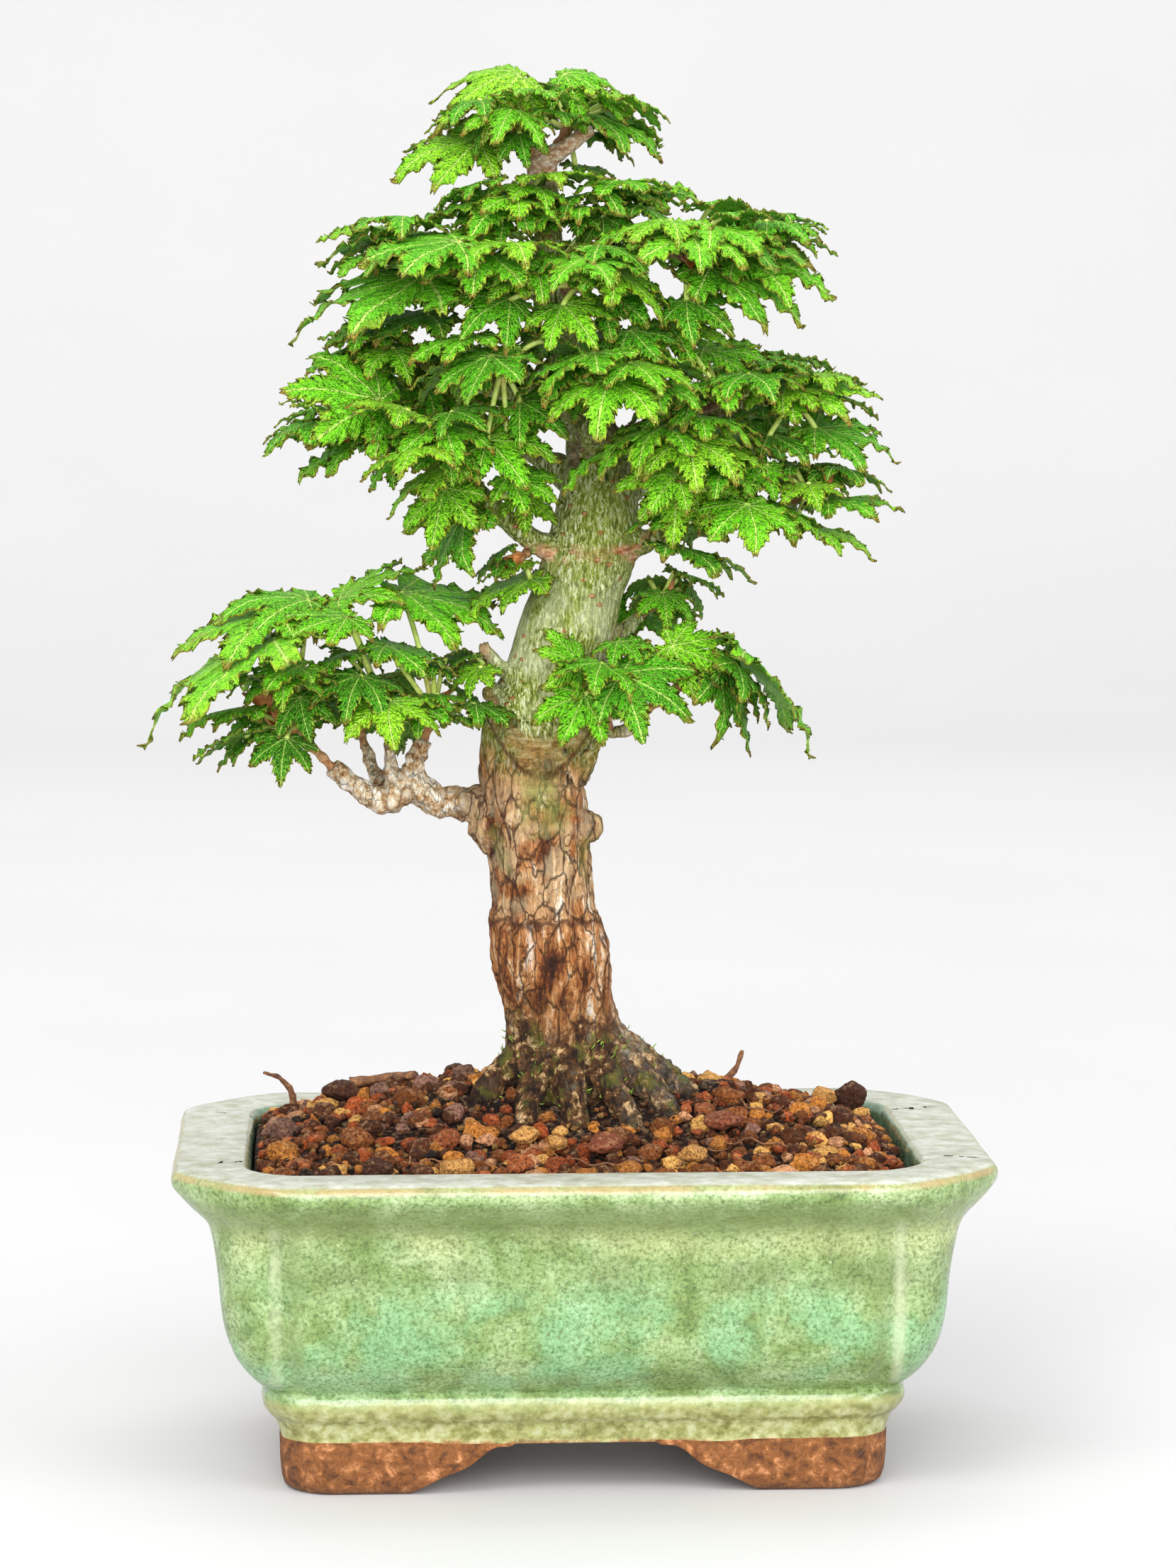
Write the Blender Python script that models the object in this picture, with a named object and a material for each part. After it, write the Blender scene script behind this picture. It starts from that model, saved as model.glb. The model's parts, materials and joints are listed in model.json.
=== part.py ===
"""Japanese maple bonsai in a glazed rectangular pot.

Frame: +X to the viewer's right, +Y away from the viewer, +Z up, origin on the table at
the middle of the whole object's bounding box. Units: metres (tables are in millimetres).
"""

import math
import random

import bmesh
import bpy
from mathutils import Matrix, Vector, noise
from mathutils.bvhtree import BVHTree

MM = 0.001
SEED = 41
POT_SHIFT = Vector((3.5, 0.0, 0.0))  # mm, from the object's origin to the pot's centre

# Pot, mm
RIM_HALF_LENGTH = 80.0
RIM_HALF_DEPTH = 57.0
OPENING_HALF_LENGTH = 64.9
OPENING_HALF_DEPTH = 42.0
OPENING_CORNER = 11.0
HOLE_RADIUS = 6.0
HOLE_OFFSET = 28.0
HOLE_CUT = 30.0  # height the hole cutters reach

# Outer profile of the pot from the rim down: height, inset from the rim, length of the
# straight front from the middle to the corner, depth of the groove beside the corner.
POT_PROFILE = (
    (64.4, 1.3, 59.0, 0.0),
    (63.4, 0.1, 59.0, 0.0),
    (60.6, 0.4, 59.0, 0.3),
    (57.6, 3.2, 59.5, 0.7),
    (54.8, 6.2, 60.0, 1.2),
    (51.5, 7.6, 60.0, 1.8),
    (45.0, 8.7, 59.5, 2.0),
    (36.0, 9.6, 59.0, 2.0),
    (29.5, 11.1, 58.2, 1.7),
    (25.5, 13.4, 57.4, 1.4),
    (22.8, 15.8, 56.6, 1.0),
    (20.9, 17.9, 55.4, 0.6),
    (19.8, 17.3, 54.4, 0.5),
    (17.8, 17.1, 53.0, 0.4),
    (15.6, 18.2, 52.0, 0.4),
    (14.2, 19.4, 51.4, 0.3),
    (10.2, 20.6, 50.6, 0.2),
)
RIM_CORNER_POWER = 1.3  # 1 is a straight cut corner, 2 a quarter round
BODY_CORNER_POWER = 1.8
LIP_START = 50.0  # where the corners start to sharpen towards the rim
LIP_HEIGHT = 11.0
GROOVE_WIDTH = 1.9

# Inner profile from the rim down: height, inset from the opening.
CAVITY_PROFILE = (
    (64.4, -1.2),
    (63.0, 0.0),
    (48.0, 0.6),
    (32.0, 2.4),
    (22.0, 6.5),
    (17.6, 11.5),
    (16.5, 15.5),
)

# Foot ring: height, inset from the rim.
FOOT_PROFILE = ((0.0, 22.8), (0.9, 21.4), (2.6, 20.7), (11.2, 20.4))
FOOT_THICKNESS = 13.0
FOOT_CORNER = 9.0
FOOT_INNER_CORNER = 6.0
# One side of the arch between two feet: distance from the middle, height.
FOOT_ARCH = (
    (36.0, -1.0),
    (34.5, 0.0),
    (31.0, 1.8),
    (28.0, 3.4),
    (24.7, 4.7),
    (22.1, 6.1),
    (19.2, 8.5),
    (17.1, 9.5),
    (14.0, 9.9),
    (12.0, 13.0),
)
SIDE_ARCH_SCALE = 0.62

# Soil
SOIL_GAP = 0.35
SOIL_EDGE = 61.0
SOIL_MOUND = 15.6
MOUND_HALF_LENGTH = 66.5
MOUND_HALF_DEPTH = 44.5
MOUND_FRONT = 23.0
MOUND_SHIFT = 3.0
MOUND_POWER = 0.8
# Side of the soil below its edge: height, inset from the pot's opening
SOIL_PROFILE = ((18.2, 12.6), (23.0, 7.2), (32.0, 3.2), (46.0, 1.6))
SOIL_EDGE_INSET = 0.4
SOIL_RINGS = (1.0, 0.93, 0.8, 0.66, 0.5, 0.34, 0.18)
SOIL_BUMP = 0.7
SOIL_BUMP_PITCH = 0.16
ROOT_GAP = 0.55
SCREEN_SIZE = 26.0
SCREEN_THICKNESS = 0.8
SCREEN_BASE = 16.85
SCREEN_CELLS = 3
SCREEN_OPEN = 0.72  # share of a mesh cell that is open

# Wood: each limb is a list of (x, y, z, radius).
WOOD_CELL = 0.8
WOOD_TRIANGLES = 2400
LIMB_STEPS = 5
LIMB_SIDES = 14
LIMBS = (
    # trunk
    (
        (-1.5, 2.0, 56.3, 8.0),
        (-1.5, 1.5, 68.3, 12.0),
        (-2.1, 1.0, 80.3, 12.1),
        (-3.6, 1.0, 90.3, 10.6),
        (-5.2, 0.5, 99.3, 11.1),
        (-6.5, 0.0, 108.3, 10.1),
        (-7.4, -0.5, 119.3, 9.9),
        (-8.3, -0.5, 129.3, 10.3),
        (-9.2, 0.0, 138.3, 9.6),
        (-8.0, 0.5, 147.3, 9.3),
        (-5.0, 0.5, 156.3, 9.4),
        (-2.2, 0.0, 165.3, 9.5),
        (0.4, 0.0, 174.3, 8.8),
        (3.0, 0.0, 182.3, 9.0),
        (4.3, 0.5, 191.3, 8.0),
        (4.2, 1.0, 199.3, 6.4),
        (2.6, 1.5, 206.3, 5.0),
        (-0.4, 1.5, 213.3, 3.6),
        (-2.6, 1.0, 222.3, 3.1),
        (-4.6, 1.0, 234.3, 2.9),
        (-5.8, 1.0, 245.3, 2.8),
        (-6.8, 0.5, 255.3, 3.0),
        (-7.0, 0.5, 260.3, 2.7),
    ),
    # roots
    ((-6.0, -2.0, 84.3, 6.0), (-13.0, -5.0, 79.3, 3.4), (-18.5, -7.0, 73.8, 2.6), (-20.5, -8.0, 64.3, 2.0)),
    (
        (-6.0, -4.0, 80.3, 5.0),
        (-9.5, -11.0, 75.3, 2.6),
        (-11.0, -14.5, 68.3, 2.2),
        (-12.0, -16.0, 59.3, 1.8),
    ),
    ((-2.0, -6.0, 80.3, 5.0), (-1.5, -12.0, 75.8, 2.8), (-1.0, -15.5, 69.3, 2.3), (0.0, -17.0, 60.3, 1.8)),
    ((2.0, -5.0, 81.3, 5.0), (6.0, -11.0, 76.3, 2.8), (9.5, -15.0, 69.8, 2.2), (11.0, -17.0, 60.3, 1.8)),
    ((4.0, -3.0, 82.3, 5.5), (11.5, -6.5, 77.3, 3.1), (17.0, -9.5, 71.3, 2.4), (20.0, -11.0, 62.3, 1.9)),
    ((5.0, 0.0, 83.3, 5.5), (13.0, 0.0, 78.8, 3.4), (21.0, -1.0, 73.3, 2.7), (25.5, -2.0, 65.3, 2.0)),
    ((4.0, 4.0, 81.3, 5.0), (10.0, 9.0, 77.3, 3.0), (16.0, 13.0, 71.3, 2.3), (18.0, 15.0, 62.3, 1.8)),
    ((-2.0, 6.0, 80.3, 5.0), (-3.0, 14.0, 75.3, 2.8), (-4.0, 19.0, 68.3, 2.0), (-4.0, 20.0, 62.3, 1.8)),
    ((-6.0, 4.0, 81.3, 5.0), (-13.0, 8.0, 76.3, 3.0), (-19.0, 10.0, 70.3, 2.2), (-21.0, 11.0, 62.3, 1.8)),
    # knobs of old cut branches and the flaring collar of the graft
    ((-9.0, -1.0, 128.3, 7.0), (-16.5, -1.0, 125.8, 5.6), (-20.0, -1.0, 123.6, 3.0)),
    ((-4.0, -2.0, 126.3, 6.0), (1.5, -3.0, 126.8, 3.6), (4.6, -3.5, 127.3, 1.8)),
    (
        (-9.0, -1.0, 127.3, 6.0),
        (-15.0, -1.5, 134.3, 4.0),
        (-16.0, -1.5, 144.3, 3.2),
        (-15.2, -1.0, 153.3, 2.2),
    ),
    ((-14.5, -1.0, 152.0, 2.6), (-17.0, -2.5, 153.4, 1.7), (-18.8, -3.0, 153.2, 1.2)),
    (
        (-11.0, -2.0, 156.5, 3.0),
        (-15.0, -3.0, 158.6, 1.5),
        (-17.3, -3.5, 161.3, 1.1),
        (-19.4, -4.0, 162.6, 1.2),
    ),
    ((-6.5, -0.5, 258.3, 2.4), (-2.0, -2.0, 260.8, 1.6), (0.6, -2.5, 262.8, 1.5), (3.0, -3.0, 264.2, 1.1)),
    # lower left branch with its upright twigs
    (
        (-12.0, 0.0, 131.2, 4.8),
        (-19.0, -0.5, 131.2, 3.6),
        (-27.5, -1.5, 131.9, 2.8),
        (-33.5, -2.0, 135.1, 3.2),
        (-38.4, -2.5, 132.3, 2.8),
        (-44.0, -3.0, 135.2, 1.9),
        (-48.6, -3.5, 138.9, 1.6),
    ),
    ((-35.5, -2.5, 134.3, 2.6), (-37.0, -2.5, 138.3, 1.4), (-37.2, -3.0, 144.8, 1.1)),
    ((-33.0, -2.0, 135.3, 2.6), (-32.4, -2.5, 139.3, 2.0), (-30.4, -3.0, 144.3, 1.8)),
    ((-37.0, -1.0, 133.3, 2.4), (-40.0, 4.0, 136.8, 1.4), (-42.0, 8.0, 141.8, 1.1)),
    # twigs on the right of the trunk
    ((-1.0, -5.0, 144.3, 4.0), (3.0, -7.5, 146.0, 1.7), (8.4, -8.5, 146.3, 1.3), (12.5, -9.0, 147.7, 1.6)),
    ((-1.0, -6.0, 138.3, 4.0), (2.6, -8.5, 141.3, 1.1), (5.4, -10.5, 147.3, 1.0)),
    ((2.0, 2.0, 163.3, 5.0), (9.0, 5.0, 165.3, 1.6), (13.0, 8.0, 167.8, 1.2)),
    # middle branches
    (
        (1.0, -1.0, 180.3, 6.0),
        (-7.0, -4.0, 182.9, 2.5),
        (-13.3, -6.0, 187.3, 2.1),
        (-19.4, -8.0, 192.6, 2.2),
    ),
    (
        (-16.5, -7.0, 190.3, 2.0),
        (-22.0, -8.0, 195.3, 1.7),
        (-30.0, -9.0, 198.8, 1.5),
        (-38.0, -9.0, 202.8, 1.3),
    ),
    (
        (5.0, -1.0, 181.3, 6.0),
        (13.0, -2.5, 183.5, 2.5),
        (21.0, -4.5, 185.3, 1.8),
        (33.0, -7.0, 187.5, 1.4),
        (42.0, -8.0, 191.3, 1.2),
    ),
    ((4.0, 2.0, 190.3, 6.0), (14.0, 12.0, 194.8, 2.0), (22.0, 21.0, 199.3, 1.5), (27.0, 27.0, 203.3, 1.2)),
    (
        (3.0, 2.0, 194.3, 5.5),
        (-7.0, 12.0, 199.3, 1.9),
        (-15.0, 21.0, 204.3, 1.4),
        (-19.0, 27.0, 208.3, 1.2),
    ),
    # upper branches
    ((4.0, 1.0, 200.3, 5.0), (13.0, -1.0, 204.8, 2.2), (25.0, -3.0, 208.3, 1.6), (37.0, -4.0, 211.3, 1.3)),
    ((2.0, 1.0, 207.3, 4.0), (-8.0, 1.0, 210.8, 2.0), (-20.0, 1.0, 214.3, 1.5), (-31.0, 1.0, 218.3, 1.2)),
    ((-0.5, 0.0, 209.0, 3.5), (-5.0, -9.0, 212.5, 1.7), (-11.5, -17.0, 216.5, 1.3)),
    ((2.0, -1.0, 203.3, 4.5), (4.0, -9.0, 207.3, 1.8), (6.0, -17.0, 210.8, 1.4), (6.0, -22.0, 213.3, 1.2)),
    ((-2.6, 1.0, 222.3, 3.0), (-3.0, -8.0, 227.8, 1.6), (-3.0, -17.0, 232.3, 1.3)),
    ((-3.0, 1.0, 224.3, 3.0), (-4.0, 10.0, 229.3, 1.6), (-5.0, 20.0, 234.3, 1.3)),
    ((-4.2, 1.0, 231.3, 2.8), (-14.0, -1.0, 235.8, 1.6), (-25.0, -3.0, 240.3, 1.3)),
    ((-4.4, 1.0, 233.3, 2.8), (6.0, -1.0, 236.8, 1.6), (18.0, -3.0, 240.3, 1.4), (29.0, -3.0, 242.8, 1.2)),
)

# Leafy shoots: name, foot on the wood, tip, leaves, blade radius, mean heading of the
# leaves in degrees from +X, fan of headings, droop of the blades in degrees, length of
# the leaf stalks.
SHOOTS = (
    ("shoot_top_front", (-9.5, -2.0, 260.3), (-12.0, -6.0, 263.8), 5, 13.5, -130, 260, 12, 9.0),
    ("shoot_top_back", (-4.5, 2.5, 260.3), (-1.5, 6.5, 264.8), 5, 13.5, 30, 280, 11, 9.0),
    ("shoot_crown_left", (-25.5, -3.0, 240.8), (-32.0, -6.0, 240.3), 5, 15.5, -155, 220, 16, 7.5),
    ("shoot_crown_left_front", (-14.0, -2.0, 237.3), (-16.0, -18.0, 237.3), 5, 17.0, -115, 200, 22, 7.5),
    ("shoot_crown_front", (-3.0, -18.0, 232.8), (-1.0, -25.0, 233.8), 6, 16.5, -85, 220, 23, 7.5),
    ("shoot_crown_right_front", (16.0, -4.0, 241.3), (20.0, -19.0, 239.3), 6, 16.5, -70, 210, 21, 7.5),
    ("shoot_crown_right", (29.5, -3.0, 243.3), (34.0, -6.0, 241.8), 5, 13.0, -20, 220, 16, 7.5),
    ("shoot_crown_right_back", (17.0, -1.5, 241.8), (22.0, 14.0, 240.3), 5, 16.5, 60, 220, 17, 7.5),
    ("shoot_crown_back", (-5.0, 21.0, 234.8), (-4.0, 27.0, 236.3), 5, 17.0, 90, 220, 18, 7.5),
    ("shoot_crown_left_back", (-16.0, 0.5, 237.3), (-23.0, 14.0, 238.3), 5, 17.0, 130, 220, 18, 7.5),
    ("shoot_crown_inner", (-6.5, -0.5, 248.3), (-12.0, -8.0, 248.3), 4, 14.0, -120, 240, 12, 7.5),
    ("shoot_crown_inner_right", (-3.5, 0.0, 247.3), (5.0, -5.0, 247.3), 4, 14.0, -40, 240, 12, 7.5),
    ("shoot_left_upper", (-31.5, 1.0, 218.8), (-37.0, -2.0, 219.3), 5, 11.5, -175, 220, 17, 7.5),
    ("shoot_left_tip", (-38.5, -9.0, 203.3), (-43.0, -11.0, 204.3), 5, 14.0, -165, 240, 16, 7.5),
    ("shoot_left_front", (-28.0, -10.0, 199.8), (-28.0, -20.0, 202.3), 6, 16.5, -105, 220, 23, 7.5),
    ("shoot_left_back", (-20.0, 3.0, 214.8), (-27.0, 16.0, 213.3), 5, 16.5, 140, 220, 18, 7.5),
    ("shoot_centre_front", (6.0, -23.0, 213.8), (6.0, -27.0, 214.3), 6, 16.5, -85, 240, 26, 7.5),
    ("shoot_centre_left_front", (-12.5, -18.5, 217.0), (-15.5, -22.5, 218.0), 5, 16.0, -115, 220, 24, 7.5),
    ("shoot_centre_right_front", (12.0, -3.0, 206.3), (18.0, -20.0, 201.3), 6, 16.0, -65, 200, 27, 7.5),
    ("shoot_right_tip", (37.5, -4.0, 211.8), (42.0, -6.0, 211.3), 5, 12.5, -10, 240, 16, 7.5),
    ("shoot_right_upper", (24.0, -4.5, 209.3), (28.0, -16.0, 211.3), 5, 16.0, -60, 200, 21, 7.5),
    ("shoot_right_low", (42.5, -8.0, 191.8), (45.0, -10.0, 193.3), 3, 11.0, -10, 260, 14, 7.5),
    ("shoot_right_low_front", (30.0, -8.0, 188.3), (29.0, -17.0, 189.3), 5, 15.5, -75, 200, 21, 7.5),
    ("shoot_right_back", (27.5, 27.5, 203.8), (30.0, 30.0, 205.3), 5, 16.5, 45, 220, 18, 7.5),
    ("shoot_right_inner", (26.0, -1.0, 209.3), (33.0, 12.0, 211.3), 5, 15.5, 40, 220, 17, 7.5),
    ("shoot_back", (-19.5, 27.5, 208.8), (-20.0, 31.0, 212.3), 5, 16.5, 115, 240, 18, 7.5),
    ("shoot_back_middle", (0.5, 4.5, 210.3), (4.0, 24.0, 218.3), 5, 16.5, 85, 200, 18, 7.5),
    ("shoot_left_hanging", (-19.8, -8.5, 193.3), (-22.0, -13.0, 191.8), 1, 12.0, -120, 110, 62, 7.5),
    ("shoot_left_low", (-9.6, -3.0, 181.5), (-11.5, -5.5, 180.5), 0, 9.0, -170, 60, 30, 4.0),
    ("shoot_lowest_tip", (-49.2, -3.5, 139.5), (-56.0, -5.0, 147.0), 4, 14.0, 180, 240, 12, 13.0),
    ("shoot_lowest_middle", (-37.3, -3.0, 145.5), (-38.5, -4.0, 150.8), 4, 16.5, -130, 320, 13, 14.0),
    ("shoot_lowest_inner", (-30.2, -3.0, 145.1), (-28.5, -4.0, 149.8), 1, 11.0, -30, 240, 14, 12.0),
    ("shoot_lowest_back", (-42.3, 8.5, 142.5), (-44.0, 11.0, 148.8), 5, 16.0, 120, 240, 13, 12.0),
    ("shoot_trunk_front", (5.7, -11.0, 147.9), (5.5, -13.0, 153.8), 6, 14.0, -85, 300, 27, 7.5),
    ("shoot_trunk_right", (8.5, -9.5, 146.9), (20.0, -12.0, 155.8), 0, 20.0, -20, 50, 46, 13.0),
    ("shoot_trunk_back", (13.5, 8.5, 168.3), (17.0, 9.0, 170.8), 3, 9.0, 0, 260, 28, 7.5),
    ("shoot_bud_left", (-16.0, -1.5, 154.9), (-17.8, -3.0, 157.8), 3, 7.0, 180, 200, 30, 4.0),
)
PETIOLE_RADIUS = 0.6
PETIOLE_SIDES = 3
TWIG_RADIUS = 0.9
TWIG_SIDES = 5
# The bud at a twig's end: distance past the twig's tip, extra radius
BUD = ((-1.6, 0.0), (-0.7, 0.5), (0.7, 0.45))
BUD_END = 1.4
FOOT_STEPS = 60
FOOT_REACH = 0.8  # share of the twig
FOOT_GAP = 0.35
# A blade's middle, mm above and below its rim: as built, beside its own shoot's leaves,
# and beside the wood and other shoots.
BLADE_SKIN = (0.45, -0.75)
BLADE_APART = (0.6, -0.9)
BLADE_CLEAR = (1.1, -1.5)
BLADE_MARGIN = 1.05
PETIOLE_MARGIN = 0.4
TWIG_MARGIN = 0.5
WOOD_MARGIN = 0.3

# How the other leaves of a shoot are strewn, degrees unless said
LEAF_TRIES = 70
LOOSE_FIRST = 0.3
LOOSE_GAIN = 1.2
TURN_SPREAD = 22.0
LIFT_LOW = 20.0
LIFT_SPREAD = 24.0
DROOP_SPREAD = 24.0
ROLL_SPREAD = 16.0
HEADING_SPREAD = 11.0
TIER_LIFT = 26.0  # every second leaf stands higher
TIER_DROOP = 14.0  # and droops less
SIZE_RANGE = (0.88, 1.06)
SIZE_LOSS = 0.35
STALK_RANGE = (0.75, 1.1)
STALK_SLACK = 3.0  # mm
CUP_RANGE = (0.08, 0.24)

# Lobes of a blade: angle from the middle lobe, length as a share of the blade radius.
LOBES = ((0.0, 1.0), (44.0, 0.92), (92.0, 0.68))
SINUS_DEPTH = 0.52
BLADE_BACK = 0.12

# The leaves that give the tree its outline: shoot, end of the stalk, end of the middle
# lobe, lean towards the front in degrees, cup.
LEAVES = (
    ("shoot_top_front", (-11.5, -7.0, 274.5), (-28.0, -10.0, 265.0), 36, 0.70),
    ("shoot_top_back", (-2.5, 2.0, 275.0), (9.0, 0.0, 266.5), 38, 0.75),
    ("shoot_top_front", (-13.0, -12.0, 267.5), (-17.0, -24.0, 260.5), 35, 0.45),
    ("shoot_top_front", (-19.5, -5.0, 261.5), (-36.0, -8.0, 256.5), 26, 0.30),
    ("shoot_top_back", (3.5, 2.0, 267.5), (18.0, -3.0, 259.5), 4, 0.15),
    ("shoot_top_back", (0.0, 7.0, 257.5), (9.0, 8.0, 255.5), 8, 0.08),
    ("shoot_crown_left", (-28.0, -8.0, 243.5), (-51.0, -12.0, 240.5), 6, 0.18),
    ("shoot_crown_left", (-30.0, -14.0, 235.5), (-57.0, -17.0, 227.5), 14, 0.09),
    ("shoot_left_upper", (-29.0, -6.0, 228.0), (-49.0, -9.0, 224.5), 8, 0.08),
    ("shoot_crown_left_front", (-24.0, -22.0, 242.0), (-44.0, -26.0, 238.5), 14, 0.15),
    ("shoot_crown_right", (26.0, -7.0, 242.0), (48.5, -10.0, 238.5), 4, 0.15),
    ("shoot_crown_right", (30.0, -14.0, 239.5), (49.5, -17.0, 233.5), 10, 0.14),
    ("shoot_crown_right_front", (25.0, -22.0, 237.0), (44.0, -26.0, 228.0), 16, 0.19),
    ("shoot_crown_inner", (-12.0, -12.0, 250.0), (-29.0, -14.0, 248.0), 20, 0.12),
    ("shoot_crown_inner", (-9.0, -12.0, 253.0), (-14.0, -22.0, 250.0), 25, 0.30),
    ("shoot_crown_inner_right", (2.0, -6.0, 251.5), (7.0, -22.0, 249.5), 25, 0.30),
    ("shoot_crown_inner_right", (10.0, 0.0, 251.0), (24.0, -4.0, 252.0), 10, 0.17),
    ("shoot_crown_back", (8.0, 16.0, 248.0), (22.0, 17.0, 251.5), 5, 0.20),
    ("shoot_crown_front", (-14.0, -24.0, 231.0), (-24.0, -31.0, 225.5), 48, 0.22),
    ("shoot_crown_front", (-4.0, -26.0, 230.0), (1.0, -35.0, 223.0), 52, 0.22),
    ("shoot_centre_front", (9.0, -24.0, 225.0), (14.0, -33.0, 219.0), 50, 0.22),
    ("shoot_crown_right_front", (20.0, -24.0, 231.0), (28.0, -31.0, 225.0), 45, 0.25),
    ("shoot_left_tip", (-39.0, -16.0, 211.5), (-57.5, -20.0, 214.5), 48, 0.18),
    ("shoot_left_tip", (-41.0, -12.0, 208.5), (-60.5, -15.0, 203.5), 6, 0.12),
    ("shoot_left_tip", (-40.5, -16.0, 204.5), (-57.0, -18.0, 196.0), 2, 0.08),
    ("shoot_left_front", (-25.0, -22.0, 199.5), (-38.0, -25.0, 191.5), 4, 0.12),
    ("shoot_left_hanging", (-21.5, -13.0, 190.5), (-33.5, -15.0, 187.5), 10, 0.12),
    ("shoot_left_hanging", (-22.5, -14.0, 189.0), (-30.0, -17.0, 174.0), 0, 0.10),
    ("shoot_left_low", (-11.0, -6.0, 179.5), (-19.5, -8.0, 176.5), 2, 0.08),
    ("shoot_left_low", (-9.5, -6.0, 176.5), (-22.5, -9.0, 170.5), 6, 0.10),
    ("shoot_centre_left_front", (-18.5, -24.0, 204.0), (-3.5, -27.0, 201.5), 40, 0.22),
    ("shoot_centre_left_front", (-14.0, -22.0, 197.0), (-5.0, -26.0, 192.5), 35, 0.25),
    ("shoot_centre_left_front", (-12.0, -22.0, 211.5), (-4.0, -29.0, 205.5), 45, 0.25),
    ("shoot_right_tip", (42.0, -11.0, 212.5), (59.5, -14.0, 213.5), 16, 0.16),
    ("shoot_right_tip", (46.5, -8.0, 206.0), (63.0, -10.0, 201.5), 18, 0.10),
    ("shoot_right_tip", (37.0, -14.0, 204.5), (50.0, -17.0, 201.5), 12, 0.12),
    ("shoot_right_upper", (24.0, -10.0, 221.0), (38.0, -12.0, 219.5), 20, 0.15),
    ("shoot_right_upper", (17.0, -18.0, 226.0), (28.0, -22.0, 223.0), 40, 0.30),
    ("shoot_right_low", (48.5, -11.0, 192.0), (64.0, -13.0, 190.5), 4, 0.15),
    ("shoot_right_low", (42.5, -10.0, 187.5), (58.0, -12.0, 182.5), 2, 0.08),
    ("shoot_right_low_front", (18.5, -22.0, 196.0), (27.5, -26.0, 185.0), 58, 0.20),
    ("shoot_right_low_front", (18.0, -22.0, 197.5), (5.5, -25.0, 195.5), 45, 0.20),
    ("shoot_right_low_front", (17.0, -8.0, 183.5), (35.5, -10.0, 178.0), 0, 0.10),
    ("shoot_lowest_tip", (-53.0, -7.0, 172.5), (-70.5, -9.0, 170.5), 16, 0.28),
    ("shoot_lowest_tip", (-58.5, -12.0, 170.5), (-82.0, -15.0, 162.0), 12, 0.15),
    ("shoot_lowest_tip", (-60.0, -14.0, 165.0), (-88.0, -17.0, 149.5), 2, 0.10),
    ("shoot_lowest_tip", (-55.0, -16.0, 160.0), (-69.0, -20.0, 157.0), 8, 0.08),
    ("shoot_lowest_middle", (-47.0, -5.0, 172.5), (-30.5, -8.0, 179.5), 16, 0.11),
    ("shoot_lowest_middle", (-45.5, -8.0, 169.5), (-57.0, -16.0, 167.0), 20, 0.12),
    ("shoot_lowest_inner", (-35.0, -5.0, 174.0), (-14.0, -9.0, 167.0), 14, 0.12),
    ("shoot_lowest_inner", (-38.0, -11.0, 163.5), (-23.5, -14.0, 159.0), 6, 0.10),
    ("shoot_lowest_middle", (-43.0, -14.0, 158.0), (-46.5, -24.0, 150.5), 35, 0.30),
    ("shoot_trunk_right", (18.0, -14.0, 163.5), (29.5, -17.0, 158.5), 52, 0.16),
    ("shoot_trunk_right", (32.0, -10.0, 161.5), (48.5, -13.0, 144.0), -8, 0.05),
    ("shoot_trunk_back", (7.0, 10.0, 164.0), (9.0, 11.0, 174.0), 70, 0.12),
    ("shoot_trunk_back", (13.0, 12.0, 167.5), (24.5, 12.0, 163.5), 14, 0.10),
    ("shoot_trunk_front", (7.5, -17.0, 158.5), (21.5, -22.0, 151.0), 50, 0.18),
    ("shoot_trunk_front", (0.5, -19.0, 154.5), (-4.0, -24.0, 144.5), 58, 0.16),
    ("shoot_trunk_front", (0.0, -17.0, 160.0), (-9.5, -21.0, 163.5), 50, 0.20),
    ("shoot_left_hanging", (-11.5, -11.0, 193.0), (-4.5, -14.0, 187.5), 45, 0.20),
    ("shoot_centre_front", (5.0, -22.0, 231.5), (13.0, -30.0, 226.5), 45, 0.20),
    ("shoot_right_low", (36.0, -16.0, 199.0), (31.0, -21.0, 192.5), 45, 0.20),
)
OUTLINE_TRIES = 24
DEPTH_STEP = 2.0
OUTLINE_SHRINK = 0.012  # share of the radius given up at each try

# Loose bits on the soil: name, x, y, size, squash, slot, seed
STONES = (
    ("lava_back_right", 58.0, 33.0, 4.6, 0.9, "lava_brown", 1),
    ("pumice_back_right", 52.5, 29.0, 2.8, 0.8, "pumice_tan", 2),
    ("pumice_root_left", -11.5, -24.0, 2.9, 0.8, "pumice_tan", 3),
    ("pumice_root_front", -5.0, -25.5, 2.6, 0.8, "pumice_tan", 4),
    ("lava_front", 4.0, -27.5, 4.4, 0.6, "lava_red", 5),
    ("lava_right", 28.0, -18.0, 3.6, 0.6, "lava_red", 6),
    ("pumice_right", 21.0, -30.0, 2.8, 0.7, "pumice_tan", 7),
    ("lava_left", -47.0, 5.0, 4.4, 0.6, "lava_brown", 8),
    ("pumice_front_left", -25.0, -36.0, 3.0, 0.7, "pumice_tan", 9),
    ("lava_front_left", -40.0, -35.0, 3.4, 0.6, "lava_brown", 10),
)

STONE_ROWS = 6
STONE_SIDES = 8
STONE_GAP = 1.2
STONE_ROUGHNESS = 0.34

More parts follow.
